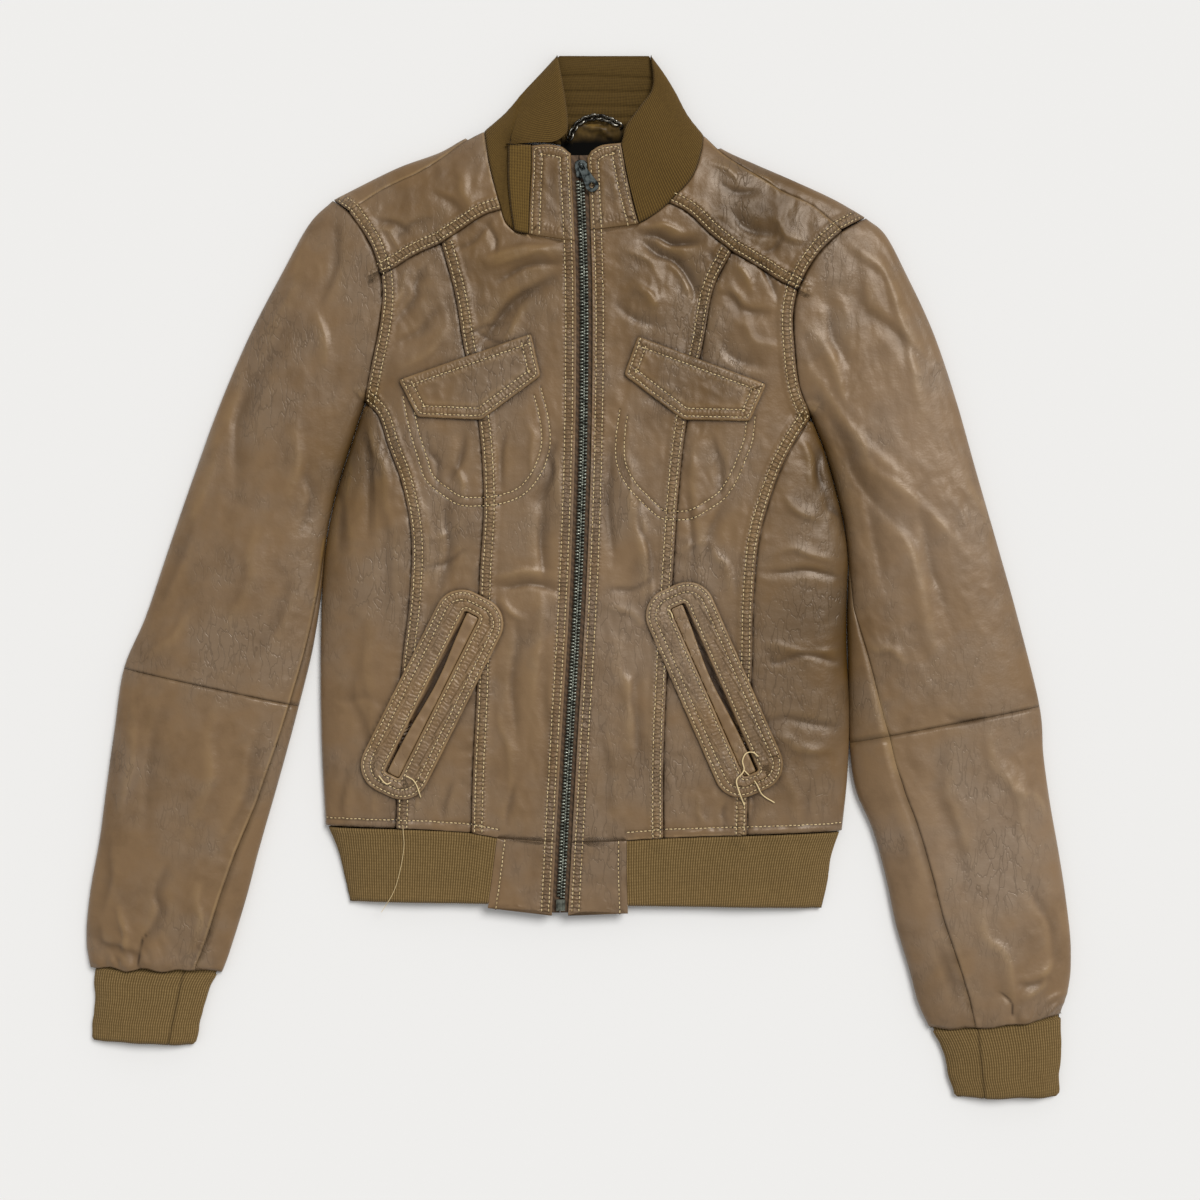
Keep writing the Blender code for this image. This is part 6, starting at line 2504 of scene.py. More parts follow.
        def upper(points: Array) -> Array:
            """The height of the piece at rows of x and y.

            Args:
                points: rows of x and y.

            Returns:
                The heights, in millimetres.
            """
            points = np.asarray(points, float)[:, :2]
            x, y = points.T
            height = self.cloth.plain(points) + lift
            away = distance_to(points, borders)
            rounding = np.clip(1 - away / 1.8, 0, 1)
            height -= edge_drop * (1 - np.sqrt(1 - rounding**2))
            height += 0.45 * self.cloth.wrinkles(points, Zone.BODY)
            height += 0.30 * ridged(x, y, 11.0, 83) * eased(away / 6.0)
            if len(rows):
                near = distance_to(points, rows)
                pucker = noise(x, y, 6.0, 81) + 0.6 * noise(x, y, 3.6, 82)
                height += 0.5 * pucker * np.exp(-near / 5.0) * eased(near / 1.6)
                height -= 1.2 * self.cloth.stitch_sink * np.exp(-((near / 0.8) ** 2))
            return height

        return upper

    def sheet_grid(
        self,
        node: str,
        grid: Array,
        finish: Finish,
        shades: dict[str, Array],
        thickness: float,
        ring: bool = False,
        smooth_grid: Array | None = None,
        flip: bool = False,
    ) -> bpy.types.Object:
        """A shell that is a grid of points, with its open edges turned in.

        Args:
            node: the model's node that it replaces.
            grid: its outer points by row and column.
            finish: its finish.
            shades: values of its points, by row and column.
            thickness: how far its edges turn in.
            ring: whether its rows close on themselves.
            smooth_grid: the grid without its ribs, which the cut is measured on.
            flip: whether its outer face is the one where its rows run anticlockwise.

        Returns:
            The piece.
        """
        normals = grid_normals(grid, ring)
        faces = grid_faces(*grid.shape[:2], ring)
        if flip:
            normals, faces = -normals, faces[:, ::-1]
        points = grid.reshape(-1, 3)
        inward = -thickness * normals.reshape(-1, 3)
        everything, all_faces = with_rim(points, faces, inward)
        flat_shades = {key: np.asarray(values).ravel() for key, values in shades.items()}
        flat = developed(grid if smooth_grid is None else smooth_grid, ring)
        name = f"{node}_{finish.made_of}"
        thing = mesh_piece(name, everything, all_faces, rim_shades(flat_shades, faces))
        return self.settle(thing, finish, [node], flat=flat)

    def leather_grid(self, node: str, grid: Array, above: Array, side: Side) -> None:
        """A leather shell round a fold of the outline; wear, painted light and shade only on top.

        Args:
            node: the model's node that it replaces.
            grid: its outer points by row and column.
            above: which of them are on the upper face.
            side: the side of the jacket.
        """
        shades = {
            key: np.where(above, values.reshape(above.shape), 0)
            for key, values in self.shades(grid[:, :, :2].reshape(-1, 2)).items()
        }
        self.sheet_grid(node, grid, LAMBSKIN, shades, LEATHER, flip=side is Side.RIGHT)


# ---------------------------------------------------------------- leather body


@dataclass
class Fronts:
    """Yokes, centre, middle and side panels, shoulder strips and hem tabs of both fronts."""

    maker: Maker
    side_rows: int = 170
    side_columns: int = 36
    shoulder_rows: int = 64
    shoulder_columns: int = 18
    under_columns: int = 9

    def build(self) -> None:
        """Makes every panel of both fronts."""
        for side in Side:
            for node, loop in self.loops(side).items():
                self.maker.panel(f"{node}_{side.value}", loop, self.maker.cloth.upper, LAMBSKIN)
            self.folded("side_front", "princess", "side_fold", side, SIDE_WRAP, SIDE_LEVELS)
            self.folded(
                "shoulder", "shoulder_seam", "shoulder_fold", side, 1.0, SHOULDER_LEVELS
            )

    def loops(self, side: Side) -> dict[str, Array]:
        """The outlines of one front's flat panels, down the middle of their seams.

        Args:
            side: the side of the jacket.

        Returns:
            Each closed outline by its node's name.
        """
        tab_corner = corner("tab_corner", side)
        zip_side = zip_edge(side, tab_corner[1] - 5, -195.0)
        return {
            "front_yoke": loop_of(
                seam("shoulder_seam", side),
                seam("armhole_yoke", side),
                seam("yoke_outer", side)[::-1],
                seam("yoke_inner", side)[::-1],
                seam("neck_yoke", side)[::-1],
            ),
            "centre_front": loop_of(
                seam("yoke_inner", side),
                seam("mid_seam", side),
                seam("hem_inner", side),
                zip_side[::-1],
                [tab_corner],
                seam("neck_front", side)[::-1],
            ),
            "mid_front": loop_of(
                seam("yoke_outer", side),
                seam("armhole_front", side),
                seam("princess", side),
                seam("hem_middle", side),
                seam("mid_seam", side)[::-1],
            ),
            "hem_tab": loop_of(
                seam("hem_tab_side", side), zip_edge(side, -195.4, -249.5)[::-1]
            ),
        }

    def folded(
        self, node: str, seam_name: str, fold_name: str, side: Side, wrap: float, span: tuple
    ) -> None:
        """A panel from a seam on top, round the fold of the outline, to a seam below.

        Args:
            node: the model's node, without its side.
            seam_name: its upper seam.
            fold_name: its fold.
            side: the side of the jacket.
            wrap: how much of its width it goes on under the fold.
            span: the first and last share of the seam's length that it covers.
        """
        cloth = self.maker.cloth
        long = node == "side_front"
        rows = self.side_rows if long else self.shoulder_rows
        columns = self.side_columns if long else self.shoulder_columns
        even = np.linspace(0, 1, FOLD_ROWS)
        seam_line = at_shares(seam(seam_name, side, 4.0), even)[:, None]
        fold_line = at_shares(seam(fold_name, side, 4.0), even)[:, None]
        levels = np.linspace(*span, rows)[:, None] * (FOLD_ROWS - 1)
        far, fold = through_rows(seam_line, levels), through_rows(fold_line, levels)
        width = np.linalg.norm(far - fold, axis=2)
        gap = SHELL_GAP / 2 / width
        under = np.linspace(1, 0, self.under_columns + 1)[:-1] ** 2
        over = shares_of(np.linspace(0, math.pi, columns))
        shares = np.concatenate([-under * (wrap - gap), over * (1 - gap)], axis=1)
        places = fold + np.abs(shares)[:, :, None] * (far - fold)
        own = np.abs(shares) * width
        top = cloth.upper(places.reshape(-1, 2), own=own.ravel()).reshape(own.shape)
        height = np.where(shares >= 0, top, round_under(own))
        grid = np.dstack([places, height])
        self.maker.leather_grid(f"{node}_{side.value}", grid, shares >= 0, side)


@dataclass
class Back:
    """The back and its yoke, which the jacket lies on."""

    maker: Maker
    grid: float = 7.0

    def build(self) -> None:
        """Makes both panels, flat below and softly wrinkled above."""
        ease = np.linspace(*SIDE_LEVELS, 60)
        low = [self.under("princess", "side_fold", side, SIDE_WRAP, ease) for side in Side]
        ease = np.linspace(*SHOULDER_LEVELS, 30)
        high = [self.under("shoulder_seam", "shoulder_fold", side, 1.0, ease) for side in Side]
        hole = {side: armhole(side, 4.0) for side in Side}
        split = {side: corner("yoke_armhole", side)[1] for side in Side}
        below = {s: hole[s][hole[s][:, 1] < split[s] - 1] for s in Side}
        above = {s: hole[s][hole[s][:, 1] > split[s] + 1] for s in Side}
        left, right = Side.LEFT, Side.RIGHT
        meet = {s: [corner("yoke_armhole", s)] for s in Side}
        body = loop_of(
            meet[left], below[left], low[0], low[1][::-1], below[right][::-1], meet[right], gap=2.0
        )
        neck = smooth([corner("neck_point", left), BACK_NECK, corner("neck_point", right)], 6.0)
        yoke = loop_of(
            neck,
            high[1],
            above[right],
            meet[right],
            meet[left],
            above[left][::-1],
            high[0][::-1],
            gap=2.0,
        )
        for node, loop in (("back_panel", body), ("back_yoke", yoke)):
            self.maker.panel(
                node, loop, self.height, LAMBSKIN, 0.9, step=self.grid, rows=(), below=True
            )

    def height(self, points: Array) -> Array:
        """Height of the back's outer face above the surface that it lies on."""
        return 0.3 + 0.25 * noise(points[:, 0], points[:, 1] * 0.5, 40, 31)

    @staticmethod
    def under(seam_name: str, fold_name: str, side: Side, wrap: float, levels: Array) -> Array:
        """The seam below a folded panel.

        Args:
            seam_name: its upper seam.
            fold_name: its fold.
            side: the side of the jacket.
            wrap: how much of its width it goes on under.
            levels: shares of the seam's length.

        Returns:
            The seam's points.
        """
        far = at_shares(seam(seam_name, side, 4.0), levels)
        fold = at_shares(seam(fold_name, side, 4.0), levels)
        return fold + wrap * (far - fold)


@dataclass
class Sleeves:
    """Both sleeves, each an upper and a lower stretch of two pieces, and their cuffs."""

    maker: Maker
    top_columns: int = 92
    under_columns: int = 26
    pucker_reach: float = 26.0
    overlap: float = 0.10
    scallop: float = 3.6
    tuck: float = 0.09
    cuff_roll: float = 2.2

    def build(self) -> None:
        """Makes the sleeves and the cuffs."""
        for side in Side:
            self.sleeve(side)
            self.cuff(side)

    def sections(self, side: Side, shares: Array) -> Array:
        """The x and y of every sleeve section at the given shares of its width.

        Args:
            side: the side of the jacket.
            shares: the shares of each section's width.

        Returns:
            The points, by section and share.
        """
        start = beside(armhole(side, 4.0), side.out * SHELL_GAP)
        table = np.array(SLEEVES[side.value], float)
        outer, inner = table[:, None, 0:2], self.closed(side, table[:, 2:4])[:, None]
        rest = outer + shares[None, :, None] * (inner - outer)
        return np.concatenate([at_shares(start, shares)[None], rest])

    def closed(self, side: Side, inner: Array) -> Array:
        """The sleeve's inner fold, drawn up to the body's own fold where they nearly touch.

        Args:
            side: the side of the jacket.
            inner: the inner fold's x and y in each section.

        Returns:
            The fold, drawn up.
        """
        fold = seam("side_fold", side)
        fold = fold[np.argsort(fold[:, 1])]
        inner = inner.copy()
        gap = (inner[:, 0] - np.interp(inner[:, 1], fold[:, 1], fold[:, 0])) * side.out
        inner[:, 0] -= np.where((gap > 0) & (gap < 4.5), gap - SEAM_GAP, 0) * side.out
        return inner

    def zone(self, side: Side) -> Zone:
        """The way that the small wrinkles of this sleeve run."""
        return Zone.SLEEVE_LEFT if side is Side.LEFT else Zone.SLEEVE_RIGHT

    def surface(self, side: Side, angles: Array, levels: Array) -> tuple[Array, Array]:
        """The sleeve's outer face.

        Args:
            side: the side of the jacket.
            angles: for each row, where its columns are round the flattened tube.
            levels: each row's place between the sections.

        Returns:
            The grid of points, and which of them are on the upper face.
        """
        shares = shares_of(angles)
        places = np.stack(
            [
                through_rows(self.sections(side, row), np.full((1, len(row)), level))[0]
                for row, level in zip(shares, levels)
            ]
        )
        folds = through_rows(self.sections(side, np.array([0.0, 1.0])), levels[:, None] + [[0, 0]])
        width = np.linalg.norm(folds[:, 1] - folds[:, 0], axis=1)[:, None]
        own = np.minimum(shares, 1 - shares) * width
        flat = places.reshape(-1, 2)
        top = self.maker.cloth.upper(flat, self.zone(side), own=own.ravel()).reshape(own.shape)
        above = np.sin(angles) >= -1e-9
        top -= self.cuff_drop(side, places)
        last = eased(levels - len(SLEEVES[side.value]) + 1)[:, None]
        places[:, :, 1] += self.scallop * noise(places[:, :, 0], 0 * own, 19, 48) * last
        return np.dstack([places, np.where(above, top, round_under(own))]), above

    def cuff_drop(self, side: Side, places: Array) -> Array:
        """How far the sleeve's end gathers down into its cuff.

        Args:
            side: the side of the jacket.
            places: x and y by row and column.

        Returns:
            The drop at each place.
        """
        end = np.array(CUFFS[side.value][0], float).reshape(2, 2)
        away = distance_to(places.reshape(-1, 2), [end]).reshape(places.shape[:2])
        along = np.linalg.norm(places - end[0], axis=2)
        folds = noise(along, away * 0.3, 9.0, 41 + side.first)
        folds = folds + 0.7 * noise(along, away * 0.4, 5.0, 43 + side.first)
        fade = np.exp(-away / self.pucker_reach)
        settled = 0.35 + 0.65 * eased(away / 5.0)
        return 1.6 * np.exp(-((away / 3.0) ** 2)) - 1.9 * folds * fade * settled

    def sleeve(self, side: Side) -> None:
        """Makes the four pieces of one sleeve.

        Args:
            side: the side of the jacket.
        """
        table = np.array(SLEEVES[side.value], float)
        count = len(table)
        seam_share = np.concatenate([[1.0], table[:, 4]])
        spans = {
            "upper": (0.0, ELBOW_ROW - SEAM_TURN, 172),
            "lower": (ELBOW_ROW + SEAM_TURN, count + self.overlap, 100),
        }
        low = -angle_of(BACK_SEAM_SHARE)
        for stretch, (first, last, rows) in spans.items():
            for piece in ("top", "under"):
                rows_here = rows if piece == "top" else rows // 2
                levels = np.linspace(first, last, rows_here)
                meet = angle_of(np.interp(levels, np.arange(count + 1), seam_share))
                if piece == "top":
                    start, end = np.full(rows_here, low), meet
                    steps = np.linspace(0, 1, self.top_columns)
                else:
                    start, end = meet, np.full(rows_here, 2 * math.pi + low)
                    steps = np.linspace(0, 1, self.under_columns)
                start, end = start + SEAM_TURN, end - SEAM_TURN
                angles = start[:, None] + (end - start)[:, None] * steps
                grid, above = self.surface(side, angles, levels)
                node = f"sleeve_{stretch}_{piece}_{side.value}"
                self.maker.leather_grid(node, grid, above, side)

    def cuff(self, side: Side) -> None:
        """Makes one knitted cuff.

        Args:
            side: the side of the jacket.
        """
        cloth = self.maker.cloth
        table = np.array(CUFFS[side.value], float)
        outer, inner = table[:, None, 0:2], table[:, None, 2:4]

        def surface(angles: Array, levels: Array) -> Array:
            """The cuff's outer face at each angle and level.

            Args:
                angles: each point's place round the flattened tube.
                levels: each row's place between the sections.

            Returns:
                The points by row and column.
            """
            shares = shares_of(angles)
            places = []
            for row, level in zip(shares, levels):
                rows = outer + row[None, :, None] * (inner - outer)
                places.append(through_rows(rows, np.full((1, len(row)), level))[0])
            places = np.stack(places)
            width = np.linalg.norm(places[:, 0] - places[:, len(shares[0]) // 2], axis=1)
            own = np.minimum(shares, 1 - shares) * width[:, None]
            flat = places.reshape(-1, 2)
            top = cloth.plain(flat, CUFF_CROWN, own.ravel()).reshape(own.shape)
            top += 0.8 * noise(flat[:, 0], flat[:, 1], 24, 45).reshape(own.shape) * eased(own / 12)
            out = eased(levels / self.tuck)[:, None]
            middle = (places[:, :1] + places[:, len(shares[0]) // 2][:, None]) / 2
            last = places[-1:, :, 1]
            low = np.clip(1 - (places[:, :, 1] - last) / 3.0, 0, 1)
            roll = self.cuff_roll * (1 - np.sqrt(1 - low**2))
            narrower = 1 - (1.8 * (1 - out) + 0.8 * roll)[:, :, None] / width[:, None, None] * 2
            places = middle + (places - middle) * narrower
            places[:, :, 0] += 1.1 * noise(places[:, :, 0] * 0.02, places[:, :, 1], 13, 46)
            waves = noise(places[:, :, 0], places[:, :, 1] * 0, 21, 47)
            places[:, :, 1] += 1.3 * waves * eased(levels)[:, None]
            top = top * (0.72 + 0.28 * out) - roll * eased(own / 5)
            below = round_under(own) + 1.4 * (1 - out)
            return np.dstack([places, np.where(np.sin(angles) >= 0, top, below)])

        levels = np.linspace(-0.12, len(table) - 1, 34)
        turn = np.zeros(len(levels))
        knit_piece(
            self.maker,
            f"cuff_{side.value}",
            surface,
            (turn, turn + 2 * math.pi),
            levels,
            ring=True,
            flip=side is Side.RIGHT,
            closed_at=np.array(CUFF_SEAMS[side.value], float),
        )


# ---------------------------------------------------------------- rib knit


def knit_piece(
    maker: Maker,
    node: str,
    surface: Callable[[Array, Array], Array],
    ends: tuple[Array, Array],
    levels: Array,
    ring: bool = False,
    flip: bool = False,
    closed_at: Array | None = None,
) -> bpy.types.Object:
    """A knitted band round a tube, with a column on each rib's crest and in each valley.

    Args:
        maker: what it is made with.
        node: the model's node that it replaces.
        surface: its outer face, from a grid of angles and a row's levels.
        ends: the first and last angle of each row.
        levels: each row's level.
        ring: whether it closes on itself.
        flip: whether its columns run the other way round.
        closed_at: the line of its seam.

    Returns:
        The piece.
    """
    dense = np.linspace(0, 1, 900)
    first, last = ends
    angles = first[:, None] + (last - first)[:, None] * dense
    sampled = surface(angles, levels)
    reach = np.linalg.norm(np.diff(sampled, axis=1), axis=2).cumsum(axis=1)
    reach = np.concatenate([np.zeros((len(levels), 1)), reach], axis=1)
    columns = 2 * round(reach[:, -1].mean() / RIB_PITCH)
    steps = np.linspace(0, 1, columns + 1)[: columns if ring else None]
    spread = np.stack([np.interp(steps * row[-1], row, turn) for row, turn in zip(reach, angles)])
    plain = surface(spread, levels)
    return knit_grid(maker, node, plain, ring, flip, closed_at=closed_at)


def knit_grid(
    maker: Maker,
    node: str,
    plain: Array,
    ring: bool = False,
    flip: bool | None = None,
    finish: RibKnit = RIB_KNIT,
    relief: float = 1.0,
    closed_at: Array | None = None,
    dark: float = 0.0,
    edge: float = RIB,
) -> bpy.types.Object:
    """A knitted sheet from a grid with two columns to a rib.

    Args:
        maker: what it is made with.
        node: the model's node that it replaces.
        plain: the grid before the ribs stand out of it.
        ring: whether its rows close on themselves.
        flip: whether its columns run the other way; found from its face if not given.
        finish: its finish.
        relief: how far its ribs stand out, as a share of the finish's own depth.
        closed_at: the line of its seam.
        dark: how much painted shade it has all over.
        edge: how far its open edges turn in.

    Returns:
        The piece.
    """
    normals = grid_normals(plain, ring)
    if flip is None:
        flip = bool(normals[:, :, 2].mean() < 0)
    if flip:
        normals = -normals
    valley = np.broadcast_to(relief * (np.arange(plain.shape[1]) % 2), plain.shape[:2])
    length = np.linalg.norm(np.diff(plain, axis=0), axis=2).cumsum(axis=0)
    along = np.concatenate([np.zeros((1, plain.shape[1])), length])
    sway = 0.85 + 0.3 * noise(plain[:, :, 0], plain[:, :, 1], 14, 51)
    grid = plain - normals * (finish.depth * valley * sway)[:, :, None]
    deep = np.full(valley.shape, dark)
    if closed_at is not None:
        near = distance_to(plain[:, :, :2].reshape(-1, 2), [closed_at]).reshape(deep.shape)
        # Along its seam the knit sinks a little and gets painted shade.
        sewn = np.exp(-((near / 0.9) ** 2)) * (normals[:, :, 2] > 0.2)
        deep = deep + 0.5 * sewn
        grid = grid - normals * (0.5 * sewn)[:, :, None]
    shades = {"valley": valley, "along": along * MM, "deep": deep}
    return maker.sheet_grid(node, grid, finish, shades, edge, ring, plain, flip)


@dataclass
class HemBand:
    """The knitted hem, open at the front."""

    maker: Maker
    rows: int = 30
    table_rows: int = 4
    bottom_roll: float = 2.4

    def build(self) -> None:
        """Makes the band from the right hem tab, round the back, to the left one."""
        levels = np.linspace(0, self.table_rows - 1, self.rows)
        middle = np.linspace(0.5, 2.6, 160)
        ends = {}
        for side, gap in ((Side.LEFT, -HEM_CLEARANCE), (Side.RIGHT, HEM_CLEARANCE)):
            tab = seam("hem_tab_side", side, 4.0)
            angles = np.repeat(middle[None], len(levels), axis=0)
            places = self.surface(angles, levels)
            reach = places[:, :, 0] - np.interp(-places[:, :, 1], -tab[:, 1], tab[:, 0]) - gap
            ends[side] = np.array([np.interp(0, row, middle) for row in reach])
        last = ends[Side.LEFT] + 2 * math.pi
        knit_piece(self.maker, "hem_rib", self.surface, (ends[Side.RIGHT], last), levels)

    def surface(self, angles: Array, levels: Array) -> Array:
        """The band's outer face at each angle and level.

        Args:
            angles: each point's place round the flattened tube.
            levels: each row's place between the sections.

        Returns:
            The points by row and column.
        """
        cloth = self.maker.cloth
        shares = np.linspace(0, 1, self.table_rows)
        left, right = (at_shares(edge("hem_rib_side", side, 4.0), shares) for side in Side)
        across = shares_of(angles)
        table = np.stack([left, right], axis=1)
        folds = through_rows(table, levels[:, None] + [[0, 0]])
        places = folds[:, :1] + across[:, :, None] * (folds[:, 1:] - folds[:, :1])
        above = np.sin(angles) >= 0
        sunk = hem_line(places[:, :, 0]) - HEM_CLEARANCE - left[0, 1]
        fade = 1 - levels[:, None] / (self.table_rows - 1)
        sunk = np.minimum(sunk - across * (right[0, 1] - left[0, 1]), 0)
        places[:, :, 1] += np.where(above, sunk * fade, 0)
        width = np.linalg.norm(folds[:, 1] - folds[:, 0], axis=1)[:, None]
        own = np.minimum(across, 1 - across) * width
        flat = places.reshape(-1, 2)
        top = cloth.ribbed(flat, own.ravel()) + 0.55 * cloth.sample(cloth.detail, flat)
        wave = noise(flat[:, 0], flat[:, 1] * 0.25, 19, 61) * 0.7
        top = (top + wave * np.clip(own.ravel() / 12, 0, 1)).reshape(own.shape)
        low = np.clip(1 - (places[:, :, 1] - places[-1:, :, 1]) / self.bottom_roll, 0, 1)
        top -= self.bottom_roll * (1 - np.sqrt(1 - low**2)) * eased(own / 7.0)
        return np.dstack([places, np.where(above, top, round_under(own))])


def hem_line(x: Array) -> Array:
    """The lower edge of the leather at x, across both fronts.

    Args:
        x: where to read it.

    Returns:
        Its y at each x.
    """
    points = np.concatenate([hem_seam(side) for side in Side])
    points = points[np.argsort(points[:, 0])]
    return np.interp(x, points[:, 0], points[:, 1])


@dataclass
class Collar:
    """The rib-knit stand collar: its back, both sides, the turned strip and leather tabs."""

    maker: Maker
    rows: int = 34
    rim_radius: float = 2.4
    rim_start: float = 12.0
    seam_drop: float = 1.3
    strip_lift: float = 1.6
    back_rows: int = 60
    back_inset: float = 1.4
    rim_bend: float = 324.0
    lining_from: float = 328.0
    back_lines: tuple = (368.0, 356.5, 346.5, 338.0)

    def build(self) -> None:
        """Makes the knitted pieces and the tabs."""
        for side in Side:
            self.side(side)
            self.tab(side)
        self.strip()
        self.back()

    def heights(self, grid: Array, lift: float) -> Array:
        """The grid's points with the height of the cloth below and a lift above it.

        Args:
            grid: x and y by row and column.
            lift: how far above the cloth.

        Returns:
            The points by row and column.
        """
        flat = grid.reshape(-1, 2)
        height = self.maker.cloth.plain(flat) + lift
        return np.dstack([grid, height.reshape(grid.shape[:2])])

    def rolled(self, grid: Array, radius: float) -> Array:
        """The grid with its last row rounded down over a rim and turned back under it.

        Args:
            grid: the points by row and column.
            radius: of the rim.

        Returns:
            The grid with its extra rows.
        """
        steps = np.linalg.norm(np.diff(grid[:, :, :2], axis=0), axis=2)
        away = np.concatenate([np.cumsum(steps[::-1], axis=0)[::-1], np.zeros((1, grid.shape[1]))])
        from_start = run_lengths(grid[-1, :, :2])
        radius = radius * np.clip(from_start / self.rim_start, 0.02, 1)
        share = np.clip(1 - away / radius, 0, 1)
        grid = grid.copy()
        grid[:, :, 2] -= radius * (1 - np.sqrt(1 - share**2))
        back = grid[-5] - grid[-1]
        back /= np.linalg.norm(back[:, :2], axis=1)[:, None]
        under = []
        for turn in np.linspace(0, math.pi * 0.6, 6)[1:]:
            row = grid[-1] + back * (radius * (1 - math.cos(turn)))[:, None]
            row[:, 2] = grid[-1, :, 2] - radius * math.sin(turn) * 1.3
            under.append(row)
        return np.concatenate([grid, np.stack(under)])

    def side(self, side: Side) -> None:
        """Makes one side of the collar, whose ribs fan from the fold to the front.

        Args:
            side: the side of the jacket.
        """
        neck = seam("neck_front", side)
        top = edge("collar_rim", side)
        if side is Side.LEFT:
            turned = smooth(STRIP_FOLD, SEAM_STEP)
            neck = neck[neck[:, 0] < turned[0, 0] - 1.5]
            bottom = chain(seam("neck_yoke", side), neck, turned[:1])
            bend = np.argmin(np.abs(top[:, 1] - self.rim_bend))
            front = rounded_line(evenly(chain(turned, top[bend:][::-1]), SEAM_STEP), 3)
            top = top[: bend + 1]
        else:
            front = seam("tab_side", side)
            bottom = chain(seam("neck_yoke", side), neck)
        fold = edge("collar_fold", side)
        columns = 2 * round(0.5 * (run_lengths(bottom)[-1] + run_lengths(top)[-1]) / RIB_PITCH)
        grid = coons(bottom, top, fold, front, columns, self.rows)
        rows = np.linspace(0, 1, self.rows)
        grid = self.heights(grid, COLLAR_RISE)
        grid[:, :, 2] -= self.seam_drop * np.exp(-rows / 0.02)[:, None]
        if side is Side.LEFT:
            to_strip = distance_to(grid[:, :, :2].reshape(-1, 2), [turned]).reshape(grid.shape[:2])
            grid[:, :, 2] -= 2.4 * np.exp(-((to_strip / 7.0) ** 2))
        grid[:, :, 2] += 0.9 * noise(grid[:, :, 0], grid[:, :, 1], 30, 71)
        grid = self.rolled(grid, self.rim_radius)
        under = []
        inward = grid[:, 2] - grid[:, 0]
        inward[self.rows - 2 :] = inward[self.rows - 2]
        inward /= np.linalg.norm(inward[:, :2], axis=1)[:, None]
        tucked = 3.0 * eased((self.rows - 2.0 - np.arange(len(grid))) / 6.0)[:, None]
        for share in np.linspace(1, 0, 5)[:-1]:
            column = grid[:, 0] + inward * tucked * share**2
            column[:, 2] = grid[:, 0, 2] * (1 - 0.88 * share)
            under.append(column)
        grid = np.concatenate([np.stack(under, axis=1), grid], axis=1)
        grid[:, :, 1] = np.minimum(grid[:, :, 1], fold[-1][1])
        node = f"collar_side_{side.value}"
        knit_grid(self.maker, node, grid, finish=COLLAR_KNIT, edge=0.5)

    def strip(self) -> None:
        """Makes the end of the left band that folds forward, with upright ribs."""
        fold = smooth(STRIP_FOLD, SEAM_STEP)
        tab = seam("tab_side", Side.LEFT)
        columns = 2 * round(17 / RIB_PITCH)
        ends = [np.array([fold[k], tab[k]]) for k in (0, -1)]
        grid = coons(*ends, fold, tab, columns, self.rows)
        grid = self.heights(grid, COLLAR_RISE)
        away = distance_to(grid[:, :, :2].reshape(-1, 2), [fold]).reshape(grid.shape[:2])
        grid[:, :, 2] += self.strip_lift * np.sqrt(1 - np.clip(1 - away / 5.0, 0, 1) ** 2)
        grid[:, :, 2] -= 1.2 * np.exp(-((away / 0.8) ** 2))
        grid = self.rolled(grid, 1.4)
        knit_grid(self.maker, "collar_strip_left", grid, finish=COLLAR_KNIT, relief=0.6)

    def back(self) -> None:
        """Makes the back of the collar, whose inner face shows inside the neck."""
        left, right = (edge("collar_fold", side) for side in Side)
        left = left + (self.back_inset, 0)
        right = right - (self.back_inset, 0)
        bottom = smooth([left[0], (BACK_NECK[0], BACK_NECK[1] + 6), right[0]], 3.0)
        top = np.array([left[-1], right[-1]]) - (0, 1.0)
        columns = 2 * round(95 / RIB_PITCH)
        grid = coons(bottom, top, left, right, columns, self.back_rows)
        flat = grid.reshape(-1, 2)
        ring = loop_of(bottom, right, top[::-1], left[::-1])
        away = distance_to(flat, [closed(ring)])
        standing = eased(away / 9.0) * eased((flat[:, 1] - self.lining_from) / 6.0)
        rising = eased((flat[:, 1] - 345.0) / 30.0)
        height = 1.2 + 2.3 * rising + (3.8 - 1.9 * rising) * standing
        height += 0.3 * noise(flat[:, 0], flat[:, 1], 26, 73)
        for number, line in enumerate(self.back_lines):
            bent = line + 1.2 * noise(flat[:, 0], flat[:, 1] * 0, 40, 75 + number)
            height -= 1.3 * standing * np.exp(-(((flat[:, 1] - bent) / 1.0) ** 2))
        grid = np.dstack([grid, height.reshape(grid.shape[:2])])
        # Painted shade all over the back, which stands inside the neck.
        look = {"finish": COLLAR_KNIT, "relief": 0.3, "dark": 0.45, "edge": 3.0}
        knit_grid(self.maker, "collar_back", grid, **look)

    def tab_loop(self, side: Side) -> Array:
        """The outline of the leather tab at one front end of the collar.

        Args:
            side: the side of the jacket.

        Returns:
            The closed outline.
        """
        head = edge("tab_head", side)
        tab_corner = corner("tab_corner", side)
        return loop_of(
            seam("tab_side", side),
            head,
            zip_edge(side, head[-1][1] - 5, tab_corner[1] - 5),
            [tab_corner],
        )

    def tab_upper(self, side: Side) -> Surface:
        """The height of a tab's outer face."""
        return self.maker.laid_on(self.tab_loop(side), self.tab_rows(side), 0.4, edge_drop=1.4)

    def tab(self, side: Side) -> None:
        """Makes one tab.

        Args:
            side: the side of the jacket.
        """
        self.maker.panel(
            f"collar_tab_{side.value}",
            self.tab_loop(side),
            self.tab_upper(side),
            LAMBSKIN,
            rows=self.tab_rows(side),
        )

